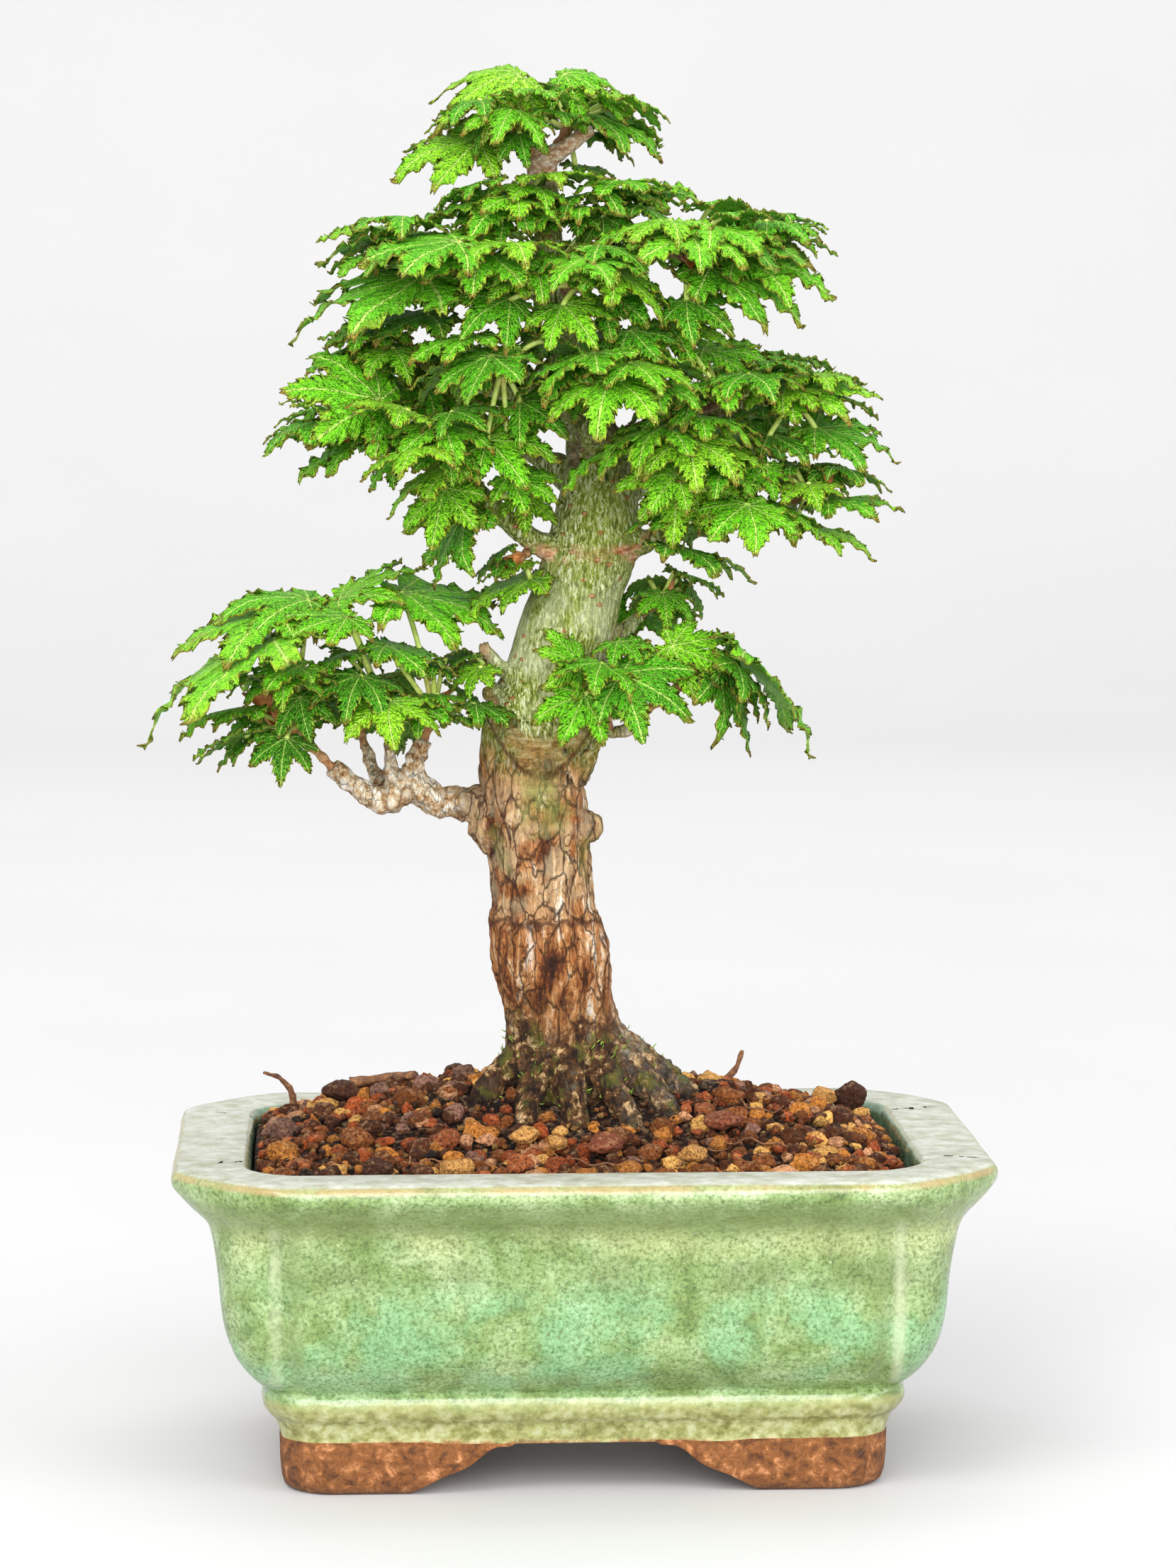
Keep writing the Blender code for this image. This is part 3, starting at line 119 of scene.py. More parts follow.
CAVITY_PROFILE = (
    (64.55, -9.0),
    (64.45, -2.2),
    (64.1, -0.9),
    (63.0, 0.0),
    (60.0, 0.2),
    (48.0, 0.6),
    (32.0, 2.4),
    (22.0, 6.5),
    (17.6, 11.5),
    (16.5, 15.5),
)
FOOT_PROFILE = ((0.0, 22.8), (0.35, 21.9), (0.9, 21.4), (2.6, 20.9), (6.0, 20.6), (10.6, 20.5))
FOOT_THICKNESS = 13.0
FOOT_ARCH = (
    (36.0, -1.0),
    (34.5, 0.0),
    (31.0, 1.8),
    (28.0, 3.4),
    (24.7, 4.7),
    (22.1, 6.1),
    (19.2, 8.5),
    (17.1, 9.5),
    (14.0, 9.9),
    (12.0, 13.0),
)
SIDE_ARCH_SCALE = 0.62

# ---------------------------------------------------------------- soil, mm

SOIL_GAP = 0.2
SOIL_EDGE = 61.0
SOIL_MOUND = 15.6
MOUND_HALF_LENGTH = 66.5
MOUND_HALF_DEPTH = 44.5
MOUND_FRONT = 23.0
MOUND_SHIFT = 3.0
MOUND_POWER = 0.8
SOIL_BOTTOM = 18.2

# Wood: each limb is a list of (x, y, z, radius).
WOOD_CELL = 0.8
WOOD_TRIANGLES = 2400
LIMBS = (
    # trunk
    (
        (-1.5, 2.0, 56.3, 8.0),
        (-1.5, 1.5, 68.3, 12.0),
        (-2.1, 1.0, 80.3, 12.1),
        (-3.6, 1.0, 90.3, 10.6),
        (-5.2, 0.5, 99.3, 11.1),
        (-6.5, 0.0, 108.3, 10.1),
        (-7.4, -0.5, 119.3, 9.9),
        (-8.3, -0.5, 129.3, 10.3),
        (-9.2, 0.0, 138.3, 9.6),
        (-8.0, 0.5, 147.3, 9.3),
        (-5.0, 0.5, 156.3, 9.4),
        (-2.2, 0.0, 165.3, 9.5),
        (0.4, 0.0, 174.3, 8.8),
        (3.0, 0.0, 182.3, 9.0),
        (4.3, 0.5, 191.3, 8.0),
        (4.2, 1.0, 199.3, 6.4),
        (2.6, 1.5, 206.3, 5.0),
        (-0.4, 1.5, 213.3, 3.6),
        (-2.6, 1.0, 222.3, 3.1),
        (-4.6, 1.0, 234.3, 2.9),
        (-5.8, 1.0, 245.3, 2.8),
        (-6.8, 0.5, 255.3, 3.0),
        (-7.0, 0.5, 260.3, 2.7),
    ),
    # roots
    ((-6.0, -2.0, 84.3, 6.0), (-13.0, -5.0, 79.3, 3.4), (-18.5, -7.0, 73.8, 2.6), (-20.5, -8.0, 64.3, 2.0)),
    (
        (-6.0, -4.0, 80.3, 5.0),
        (-9.5, -11.0, 75.3, 2.6),
        (-11.0, -14.5, 68.3, 2.2),
        (-12.0, -16.0, 59.3, 1.8),
    ),
    ((-2.0, -6.0, 80.3, 5.0), (-1.5, -12.0, 75.8, 2.8), (-1.0, -15.5, 69.3, 2.3), (0.0, -17.0, 60.3, 1.8)),
    ((2.0, -5.0, 81.3, 5.0), (6.0, -11.0, 76.3, 2.8), (9.5, -15.0, 69.8, 2.2), (11.0, -17.0, 60.3, 1.8)),
    ((4.0, -3.0, 82.3, 5.5), (11.5, -6.5, 77.3, 3.1), (17.0, -9.5, 71.3, 2.4), (20.0, -11.0, 62.3, 1.9)),
    ((5.0, 0.0, 83.3, 5.5), (13.0, 0.0, 78.8, 3.4), (21.0, -1.0, 73.3, 2.7), (25.5, -2.0, 65.3, 2.0)),
    ((4.0, 4.0, 81.3, 5.0), (10.0, 9.0, 77.3, 3.0), (16.0, 13.0, 71.3, 2.3), (18.0, 15.0, 62.3, 1.8)),
    ((-2.0, 6.0, 80.3, 5.0), (-3.0, 14.0, 75.3, 2.8), (-4.0, 19.0, 68.3, 2.0), (-4.0, 20.0, 62.3, 1.8)),
    ((-6.0, 4.0, 81.3, 5.0), (-13.0, 8.0, 76.3, 3.0), (-19.0, 10.0, 70.3, 2.2), (-21.0, 11.0, 62.3, 1.8)),
    # knobs of old cut branches and the flaring collar of the graft
    ((-9.0, -1.0, 128.3, 7.0), (-16.5, -1.0, 125.8, 5.6), (-20.0, -1.0, 123.6, 3.0)),
    ((-4.0, -2.0, 126.3, 6.0), (1.5, -3.0, 126.8, 3.6), (4.6, -3.5, 127.3, 1.8)),
    (
        (-9.0, -1.0, 127.3, 6.0),
        (-15.0, -1.5, 134.3, 4.0),
        (-16.0, -1.5, 144.3, 3.2),
        (-15.2, -1.0, 153.3, 2.2),
    ),
    ((-14.5, -1.0, 152.0, 2.6), (-17.0, -2.5, 153.4, 1.7), (-18.8, -3.0, 153.2, 1.2)),
    (
        (-11.0, -2.0, 156.5, 3.0),
        (-15.0, -3.0, 158.6, 1.5),
        (-17.3, -3.5, 161.3, 1.1),
        (-19.4, -4.0, 162.6, 1.2),
    ),
    ((-6.5, -0.5, 258.3, 2.4), (-2.0, -2.0, 260.8, 1.6), (0.6, -2.5, 262.8, 1.5), (3.0, -3.0, 264.2, 1.1)),
    # lower left branch with its upright twigs
    (
        (-12.0, 0.0, 131.2, 4.8),
        (-19.0, -0.5, 131.2, 3.6),
        (-27.5, -1.5, 131.9, 2.8),
        (-33.5, -2.0, 135.1, 3.2),
        (-38.4, -2.5, 132.3, 2.8),
        (-44.0, -3.0, 135.2, 1.9),
        (-48.6, -3.5, 138.9, 1.6),
    ),
    ((-35.5, -2.5, 134.3, 2.6), (-37.0, -2.5, 138.3, 1.4), (-37.2, -3.0, 144.8, 1.1)),
    ((-33.0, -2.0, 135.3, 2.6), (-32.4, -2.5, 139.3, 2.0), (-30.4, -3.0, 144.3, 1.8)),
    ((-37.0, -1.0, 133.3, 2.4), (-40.0, 4.0, 136.8, 1.4), (-42.0, 8.0, 141.8, 1.1)),
    # twigs on the right of the trunk
    ((-1.0, -5.0, 144.3, 4.0), (3.0, -7.5, 146.0, 1.7), (8.4, -8.5, 146.3, 1.3), (12.5, -9.0, 147.7, 1.6)),
    ((-1.0, -6.0, 138.3, 4.0), (2.6, -8.5, 141.3, 1.1), (5.4, -10.5, 147.3, 1.0)),
    ((2.0, 2.0, 163.3, 5.0), (9.0, 5.0, 165.3, 1.6), (13.0, 8.0, 167.8, 1.2)),
    # middle branches
    (
        (1.0, -1.0, 180.3, 6.0),
        (-7.0, -4.0, 182.9, 2.5),
        (-13.3, -6.0, 187.3, 2.1),
        (-19.4, -8.0, 192.6, 2.2),
    ),
    (
        (-16.5, -7.0, 190.3, 2.0),
        (-22.0, -8.0, 195.3, 1.7),
        (-30.0, -9.0, 198.8, 1.5),
        (-38.0, -9.0, 202.8, 1.3),
    ),
    (
        (5.0, -1.0, 181.3, 6.0),
        (13.0, -2.5, 183.5, 2.5),
        (21.0, -4.5, 185.3, 1.8),
        (33.0, -7.0, 187.5, 1.4),
        (42.0, -8.0, 191.3, 1.2),
    ),
    ((4.0, 2.0, 190.3, 6.0), (14.0, 12.0, 194.8, 2.0), (22.0, 21.0, 199.3, 1.5), (27.0, 27.0, 203.3, 1.2)),
    (
        (3.0, 2.0, 194.3, 5.5),
        (-7.0, 12.0, 199.3, 1.9),
        (-15.0, 21.0, 204.3, 1.4),
        (-19.0, 27.0, 208.3, 1.2),
    ),
    # upper branches
    ((4.0, 1.0, 200.3, 5.0), (13.0, -1.0, 204.8, 2.2), (25.0, -3.0, 208.3, 1.6), (37.0, -4.0, 211.3, 1.3)),
    ((2.0, 1.0, 207.3, 4.0), (-8.0, 1.0, 210.8, 2.0), (-20.0, 1.0, 214.3, 1.5), (-31.0, 1.0, 218.3, 1.2)),
    ((-0.5, 0.0, 209.0, 3.5), (-5.0, -9.0, 212.5, 1.7), (-11.5, -17.0, 216.5, 1.3)),
    ((2.0, -1.0, 203.3, 4.5), (4.0, -9.0, 207.3, 1.8), (6.0, -17.0, 210.8, 1.4), (6.0, -22.0, 213.3, 1.2)),
    ((-2.6, 1.0, 222.3, 3.0), (-3.0, -8.0, 227.8, 1.6), (-3.0, -17.0, 232.3, 1.3)),
    ((-3.0, 1.0, 224.3, 3.0), (-4.0, 10.0, 229.3, 1.6), (-5.0, 20.0, 234.3, 1.3)),
    ((-4.2, 1.0, 231.3, 2.8), (-14.0, -1.0, 235.8, 1.6), (-25.0, -3.0, 240.3, 1.3)),
    ((-4.4, 1.0, 233.3, 2.8), (6.0, -1.0, 236.8, 1.6), (18.0, -3.0, 240.3, 1.4), (29.0, -3.0, 242.8, 1.2)),
)

# Leafy shoots: name, foot on the wood, tip, leaves, blade radius, mean heading of the
# leaves in degrees from +X, fan of headings, droop of the blades in degrees, length of
# the leaf stalks.
SHOOTS = (
    ("shoot_top_front", (-9.5, -2.0, 260.3), (-12.0, -6.0, 263.8), 5, 13.5, -130, 260, 12, 9.0),
    ("shoot_top_back", (-4.5, 2.5, 260.3), (-1.5, 6.5, 264.8), 5, 13.5, 30, 280, 11, 9.0),
    ("shoot_crown_left", (-25.5, -3.0, 240.8), (-32.0, -6.0, 240.3), 5, 15.5, -155, 220, 16, 7.5),
    ("shoot_crown_left_front", (-14.0, -2.0, 237.3), (-16.0, -18.0, 237.3), 5, 17.0, -115, 200, 22, 7.5),
    ("shoot_crown_front", (-3.0, -18.0, 232.8), (-1.0, -25.0, 233.8), 6, 16.5, -85, 220, 23, 7.5),
    ("shoot_crown_right_front", (16.0, -4.0, 241.3), (20.0, -19.0, 239.3), 6, 16.5, -70, 210, 21, 7.5),
    ("shoot_crown_right", (29.5, -3.0, 243.3), (34.0, -6.0, 241.8), 5, 13.0, -20, 220, 16, 7.5),
    ("shoot_crown_right_back", (17.0, -1.5, 241.8), (22.0, 14.0, 240.3), 5, 16.5, 60, 220, 17, 7.5),
    ("shoot_crown_back", (-5.0, 21.0, 234.8), (-4.0, 27.0, 236.3), 5, 17.0, 90, 220, 18, 7.5),
    ("shoot_crown_left_back", (-16.0, 0.5, 237.3), (-23.0, 14.0, 238.3), 5, 17.0, 130, 220, 18, 7.5),
    ("shoot_crown_inner", (-6.5, -0.5, 248.3), (-12.0, -8.0, 248.3), 4, 14.0, -120, 240, 12, 7.5),
    ("shoot_crown_inner_right", (-3.5, 0.0, 247.3), (5.0, -5.0, 247.3), 4, 14.0, -40, 240, 12, 7.5),
    ("shoot_left_upper", (-31.5, 1.0, 218.8), (-37.0, -2.0, 219.3), 5, 11.5, -175, 220, 17, 7.5),
    ("shoot_left_tip", (-38.5, -9.0, 203.3), (-43.0, -11.0, 204.3), 5, 14.0, -165, 240, 16, 7.5),
    ("shoot_left_front", (-28.0, -10.0, 199.8), (-28.0, -20.0, 202.3), 6, 16.5, -105, 220, 23, 7.5),
    ("shoot_left_back", (-20.0, 3.0, 214.8), (-27.0, 16.0, 213.3), 5, 16.5, 140, 220, 18, 7.5),
    ("shoot_centre_front", (6.0, -23.0, 213.8), (6.0, -27.0, 214.3), 6, 16.5, -85, 240, 26, 7.5),
    ("shoot_centre_left_front", (-12.5, -18.5, 217.0), (-15.5, -22.5, 218.0), 5, 16.0, -115, 220, 24, 7.5),
    ("shoot_centre_right_front", (12.0, -3.0, 206.3), (18.0, -20.0, 201.3), 6, 16.0, -65, 200, 27, 7.5),
    ("shoot_right_tip", (37.5, -4.0, 211.8), (42.0, -6.0, 211.3), 5, 12.5, -10, 240, 16, 7.5),
    ("shoot_right_upper", (24.0, -4.5, 209.3), (28.0, -16.0, 211.3), 5, 16.0, -60, 200, 21, 7.5),
    ("shoot_right_low", (42.5, -8.0, 191.8), (45.0, -10.0, 193.3), 3, 11.0, -10, 260, 14, 7.5),
    ("shoot_right_low_front", (30.0, -8.0, 188.3), (29.0, -17.0, 189.3), 5, 15.5, -75, 200, 21, 7.5),
    ("shoot_right_back", (27.5, 27.5, 203.8), (30.0, 30.0, 205.3), 5, 16.5, 45, 220, 18, 7.5),
    ("shoot_right_inner", (26.0, -1.0, 209.3), (33.0, 12.0, 211.3), 5, 15.5, 40, 220, 17, 7.5),
    ("shoot_back", (-19.5, 27.5, 208.8), (-20.0, 31.0, 212.3), 5, 16.5, 115, 240, 18, 7.5),
    ("shoot_back_middle", (0.5, 4.5, 210.3), (4.0, 24.0, 218.3), 5, 16.5, 85, 200, 18, 7.5),
    ("shoot_left_hanging", (-19.8, -8.5, 193.3), (-22.0, -13.0, 191.8), 1, 12.0, -120, 110, 62, 7.5),
    ("shoot_left_low", (-9.6, -3.0, 181.5), (-11.5, -5.5, 180.5), 0, 9.0, -170, 60, 30, 4.0),
    ("shoot_lowest_tip", (-49.2, -3.5, 139.5), (-56.0, -5.0, 147.0), 4, 14.0, 180, 240, 12, 13.0),
    ("shoot_lowest_middle", (-37.3, -3.0, 145.5), (-38.5, -4.0, 150.8), 4, 16.5, -130, 320, 13, 14.0),
    ("shoot_lowest_inner", (-30.2, -3.0, 145.1), (-28.5, -4.0, 149.8), 1, 11.0, -30, 240, 14, 12.0),
    ("shoot_lowest_back", (-42.3, 8.5, 142.5), (-44.0, 11.0, 148.8), 5, 16.0, 120, 240, 13, 12.0),
    ("shoot_trunk_front", (5.7, -11.0, 147.9), (5.5, -13.0, 153.8), 6, 14.0, -85, 300, 27, 7.5),
    ("shoot_trunk_right", (8.5, -9.5, 146.9), (20.0, -12.0, 155.8), 0, 20.0, -20, 50, 46, 13.0),
    ("shoot_trunk_back", (13.5, 8.5, 168.3), (17.0, 9.0, 170.8), 3, 9.0, 0, 260, 28, 7.5),
    ("shoot_bud_left", (-16.0, -1.5, 154.9), (-17.8, -3.0, 157.8), 3, 7.0, 180, 200, 30, 4.0),
)
PETIOLE_RADIUS = 0.6
TWIG_RADIUS = 0.9
BLADE_MARGIN = 1.05
# How the other leaves of a shoot are strewn, degrees unless said
LEAF_TRIES = 70
LOOSE_FIRST = 0.3
LOOSE_GAIN = 1.2
TURN_SPREAD = 22.0
LIFT_LOW = 20.0
LIFT_SPREAD = 24.0
DROOP_SPREAD = 24.0
ROLL_SPREAD = 16.0
HEADING_SPREAD = 11.0
TIER_LIFT = 26.0  # every second leaf stands higher
TIER_DROOP = 14.0  # and droops less
SIZE_RANGE = (0.88, 1.06)
SIZE_LOSS = 0.35
STALK_RANGE = (0.75, 1.1)
STALK_SLACK = 3.0  # mm
CUP_RANGE = (0.08, 0.24)
LOBES = ((0.0, 1.0), (44.0, 0.92), (92.0, 0.68))
SINUS_DEPTH = 0.52

# Leaves that give the tree its outline: shoot, end of the stalk, tip of the middle lobe,
# lean of the upper face from the sky (0) towards the viewer (90), cup of the blade.
LEAVES = (
    ("shoot_top_front", (-11.5, -7.0, 274.5), (-28.0, -10.0, 265.0), 36, 0.70),
    ("shoot_top_back", (-2.5, 2.0, 275.0), (9.0, 0.0, 266.5), 38, 0.75),
    ("shoot_top_front", (-13.0, -12.0, 267.5), (-17.0, -24.0, 260.5), 35, 0.45),
    ("shoot_top_front", (-19.5, -5.0, 261.5), (-36.0, -8.0, 256.5), 26, 0.30),
    ("shoot_top_back", (3.5, 2.0, 267.5), (18.0, -3.0, 259.5), 4, 0.15),
    ("shoot_top_back", (0.0, 7.0, 257.5), (9.0, 8.0, 255.5), 8, 0.08),
    ("shoot_crown_left", (-28.0, -8.0, 243.5), (-51.0, -12.0, 240.5), 6, 0.18),
    ("shoot_crown_left", (-30.0, -14.0, 235.5), (-57.0, -17.0, 227.5), 14, 0.09),
    ("shoot_left_upper", (-29.0, -6.0, 228.0), (-49.0, -9.0, 224.5), 8, 0.08),
    ("shoot_crown_left_front", (-24.0, -22.0, 242.0), (-44.0, -26.0, 238.5), 14, 0.15),
    ("shoot_crown_right", (26.0, -7.0, 242.0), (48.5, -10.0, 238.5), 4, 0.15),
    ("shoot_crown_right", (30.0, -14.0, 239.5), (49.5, -17.0, 233.5), 10, 0.14),
    ("shoot_crown_right_front", (25.0, -22.0, 237.0), (44.0, -26.0, 228.0), 16, 0.19),
    ("shoot_crown_inner", (-12.0, -12.0, 250.0), (-29.0, -14.0, 248.0), 20, 0.12),
    ("shoot_crown_inner", (-9.0, -12.0, 253.0), (-14.0, -22.0, 250.0), 25, 0.30),
    ("shoot_crown_inner_right", (2.0, -6.0, 251.5), (7.0, -22.0, 249.5), 25, 0.30),
    ("shoot_crown_inner_right", (10.0, 0.0, 251.0), (24.0, -4.0, 252.0), 10, 0.17),
    ("shoot_crown_back", (8.0, 16.0, 248.0), (22.0, 17.0, 251.5), 5, 0.20),
    ("shoot_crown_front", (-14.0, -24.0, 231.0), (-24.0, -31.0, 225.5), 48, 0.22),
    ("shoot_crown_front", (-4.0, -26.0, 230.0), (1.0, -35.0, 223.0), 52, 0.22),
    ("shoot_centre_front", (9.0, -24.0, 225.0), (14.0, -33.0, 219.0), 50, 0.22),
    ("shoot_crown_right_front", (20.0, -24.0, 231.0), (28.0, -31.0, 225.0), 45, 0.25),
    ("shoot_left_tip", (-39.0, -16.0, 211.5), (-57.5, -20.0, 214.5), 48, 0.18),
    ("shoot_left_tip", (-41.0, -12.0, 208.5), (-60.5, -15.0, 203.5), 6, 0.12),
    ("shoot_left_tip", (-40.5, -16.0, 204.5), (-57.0, -18.0, 196.0), 2, 0.08),
    ("shoot_left_front", (-25.0, -22.0, 199.5), (-38.0, -25.0, 191.5), 4, 0.12),
    ("shoot_left_hanging", (-21.5, -13.0, 190.5), (-33.5, -15.0, 187.5), 10, 0.12),
    ("shoot_left_hanging", (-22.5, -14.0, 189.0), (-30.0, -17.0, 174.0), 0, 0.10),
    ("shoot_left_low", (-11.0, -6.0, 179.5), (-19.5, -8.0, 176.5), 2, 0.08),
    ("shoot_left_low", (-9.5, -6.0, 176.5), (-22.5, -9.0, 170.5), 6, 0.10),
    ("shoot_centre_left_front", (-18.5, -24.0, 204.0), (-3.5, -27.0, 201.5), 40, 0.22),
    ("shoot_centre_left_front", (-14.0, -22.0, 197.0), (-5.0, -26.0, 192.5), 35, 0.25),
    ("shoot_centre_left_front", (-12.0, -22.0, 211.5), (-4.0, -29.0, 205.5), 45, 0.25),
    ("shoot_right_tip", (42.0, -11.0, 212.5), (59.5, -14.0, 213.5), 16, 0.16),
    ("shoot_right_tip", (46.5, -8.0, 206.0), (63.0, -10.0, 201.5), 18, 0.10),
    ("shoot_right_tip", (37.0, -14.0, 204.5), (50.0, -17.0, 201.5), 12, 0.12),
    ("shoot_right_upper", (24.0, -10.0, 221.0), (38.0, -12.0, 219.5), 20, 0.15),
    ("shoot_right_upper", (17.0, -18.0, 226.0), (28.0, -22.0, 223.0), 40, 0.30),
    ("shoot_right_low", (48.5, -11.0, 192.0), (64.0, -13.0, 190.5), 4, 0.15),
    ("shoot_right_low", (42.5, -10.0, 187.5), (58.0, -12.0, 182.5), 2, 0.08),
    ("shoot_right_low_front", (18.5, -22.0, 196.0), (27.5, -26.0, 185.0), 58, 0.20),
    ("shoot_right_low_front", (18.0, -22.0, 197.5), (5.5, -25.0, 195.5), 45, 0.20),
    ("shoot_right_low_front", (17.0, -8.0, 183.5), (35.5, -10.0, 178.0), 0, 0.10),
    ("shoot_lowest_tip", (-53.0, -7.0, 172.5), (-70.5, -9.0, 170.5), 16, 0.28),
    ("shoot_lowest_tip", (-58.5, -12.0, 170.5), (-82.0, -15.0, 162.0), 12, 0.15),
    ("shoot_lowest_tip", (-60.0, -14.0, 165.0), (-88.0, -17.0, 149.5), 2, 0.10),
    ("shoot_lowest_tip", (-55.0, -16.0, 160.0), (-69.0, -20.0, 157.0), 8, 0.08),
    ("shoot_lowest_middle", (-47.0, -5.0, 172.5), (-30.5, -8.0, 179.5), 16, 0.11),
    ("shoot_lowest_middle", (-45.5, -8.0, 169.5), (-57.0, -16.0, 167.0), 20, 0.12),
    ("shoot_lowest_inner", (-35.0, -5.0, 174.0), (-14.0, -9.0, 167.0), 14, 0.12),
    ("shoot_lowest_inner", (-38.0, -11.0, 163.5), (-23.5, -14.0, 159.0), 6, 0.10),
    ("shoot_lowest_middle", (-43.0, -14.0, 158.0), (-46.5, -24.0, 150.5), 35, 0.30),
    ("shoot_trunk_right", (18.0, -14.0, 163.5), (29.5, -17.0, 158.5), 52, 0.16),
    ("shoot_trunk_right", (32.0, -10.0, 161.5), (48.5, -13.0, 144.0), -8, 0.05),
    ("shoot_trunk_back", (7.0, 10.0, 164.0), (9.0, 11.0, 174.0), 70, 0.12),
    ("shoot_trunk_back", (13.0, 12.0, 167.5), (24.5, 12.0, 163.5), 14, 0.10),
    ("shoot_trunk_front", (7.5, -17.0, 158.5), (21.5, -22.0, 151.0), 50, 0.18),
    ("shoot_trunk_front", (0.5, -19.0, 154.5), (-4.0, -24.0, 144.5), 58, 0.16),
    ("shoot_trunk_front", (0.0, -17.0, 160.0), (-9.5, -21.0, 163.5), 50, 0.20),
    ("shoot_left_hanging", (-11.5, -11.0, 193.0), (-4.5, -14.0, 187.5), 45, 0.20),
    ("shoot_centre_front", (5.0, -22.0, 231.5), (13.0, -30.0, 226.5), 45, 0.20),
    ("shoot_right_low", (36.0, -16.0, 199.0), (31.0, -21.0, 192.5), 45, 0.20),
)

# Larger grains: name, x, y, radius, squash, slot, seed
STONES = (
    ("lava_back_right", 58.0, 33.0, 4.6, 0.9, "lava_brown", 1),
    ("pumice_back_right", 52.5, 29.0, 2.8, 0.8, "pumice_tan", 2),
    ("pumice_root_left", -11.5, -24.0, 2.9, 0.8, "pumice_tan", 3),
    ("pumice_root_front", -5.0, -25.5, 2.6, 0.8, "pumice_tan", 4),
    ("lava_front", 4.0, -27.5, 4.4, 0.6, "lava_red", 5),
    ("lava_right", 28.0, -18.0, 3.6, 0.6, "lava_red", 6),
    ("pumice_right", 21.0, -30.0, 2.8, 0.7, "pumice_tan", 7),
    ("lava_left", -47.0, 5.0, 4.4, 0.6, "lava_brown", 8),
    ("pumice_front_left", -25.0, -36.0, 3.0, 0.7, "pumice_tan", 9),
    ("lava_front_left", -40.0, -35.0, 3.4, 0.6, "lava_brown", 10),
)

# Dry twigs and the bark chip: name, radius, points (x, y, height above the soil)
LITTER = (
    (
        "dry_twig_left",
        0.8,
        ((-57.0, 20.0, 0.9), (-57.5, 19.5, 4.5), (-60.0, 18.5, 8.0), (-63.0, 17.0, 10.0)),
    ),
    ("dry_twig_right", 0.8, ((31.0, 12.0, 0.9), (33.0, 11.5, 4.0), (34.0, 11.0, 7.6))),
    ("bark_chip", 1.5, ((-45.0, 12.0, 1.9), (-39.0, 11.5, 2.4), (-32.0, 10.0, 2.2))),
)

FINE_WOOD_CELL = 0.45

# Leaves, in parts of the blade's radius unless said
LEAF_SHAPES = 24
LEAF_THICKNESS = 0.24  # mm
FOLD_RANGE = (-0.22, 0.34)
PLEAT_PITCH = 0.11
PLEAT_HEIGHT = 0.006
SIDE_VEIN_RAKE = 1.3
RUFFLE_RANGE = (0.022, 0.055)
RUFFLE_WAVES = 34.0
WELD_CELL = 0.004
GLOW = 0.24  # share of light that passes through a leaf
FINE_LOBES = ((0.0, 1.0, 0.225), (43.0, 0.93, 0.21), (88.0, 0.72, 0.165), (130.0, 0.42, 0.11))
WEB_STATIONS = (0.0, 0.07, 0.14, 0.22, 0.30, 0.38)
TOOTH_PITCH = 0.078
TOOTH_DEPTHS = (0.19, 0.10)
INNER_LEAVES = 7
# The inner leaves take a darker green: painted shade.
SHADED_TINT = 0.3
INNER_TRIES = 14
INNER_FAN = 1.2
INNER_LIFTS = (-10, 70)  # degrees
INNER_SLACK = (-30, 30)  # degrees
INNER_REACHES = (0.5, 1.0)
INNER_SIZES = (0.55, 0.85)
INNER_CUPS = (0.1, 0.3)
SCALE_LENGTHS = (4.4, 6.4)  # mm
SCALE_WIDTHS = (1.3, 1.7)  # mm
SCALE_SPREADS = (0.1, 0.3)
OUTLINE_TRIES = 24
DEPTH_STEP = 2.0  # mm
OUTLINE_SHRINK = 0.012
BARE_BUD = "shoot_bud_left"  # a bud with neither scales nor inner leaves
BIG_SCALES = {"shoot_lowest_tip": 2.1, "shoot_left_front": 1.4, "shoot_right_low": 1.4}

# Fine roots on the soil: x, y, heading in degrees
ROOTLETS = (
    (18.0, -33.0, 20.0),
    (40.0, -24.0, 160.0),
    (-34.0, -31.0, 80.0),
    (-22.0, -30.0, 200.0),
    (30.0, -6.0, -30.0),
    (6.0, -33.0, 190.0),
)
ROOTLET_POINTS = 16

# Moss about the foot of the trunk
MOSS_TUFTS = 520
MOSS_TOP = 86.0

# Studio, in metres: a floor that curves up into a wall, and the lights as name, place,
# size, power in watts and colour
FLOOR_FRONT = -3.0
FLOOR_BACK = 1.6
WALL_CURVE = 1.4
WALL_TOP = 4.5
FLOOR_HALF_WIDTH = 4.0
AIM = Vector((0.0, 0.0, 0.13))
SKY = 1.2
EXPOSURE = 0.0
LIGHTS = (
    ("key", (-1.1, -1.5, 1.9), (1.3, 1.3), 40.0, (1.0, 0.985, 0.96)),
    ("fill", (1.5, -1.3, 1.0), (1.4, 1.4), 27.0, (0.97, 0.985, 1.0)),
    ("front", (-0.3, -2.6, 0.8), (2.0, 1.6), 76.0, (1.0, 1.0, 1.0)),
    ("top", (0.0, 0.5, 2.1), (1.5, 1.2), 15.0, (1.0, 1.0, 1.0)),
)

# ---------------------------------------------------------------- shapes in mm


def in_metres(points):
    return [(Vector(p) + POT_SHIFT) * MM for p in points]


def mesh_from(name, points, faces):
    mesh = bpy.data.meshes.new(name)
    mesh.from_pydata([tuple(p) for p in points], [], faces)
    mesh.update()
    return mesh


def place(name, data):
    ob = bpy.data.objects.new(name, data)
    bpy.context.scene.collection.objects.link(ob)
    return ob


def evaluated(ob):
    graph = bpy.context.evaluated_depsgraph_get()
    return bpy.data.meshes.new_from_object(ob.evaluated_get(graph))


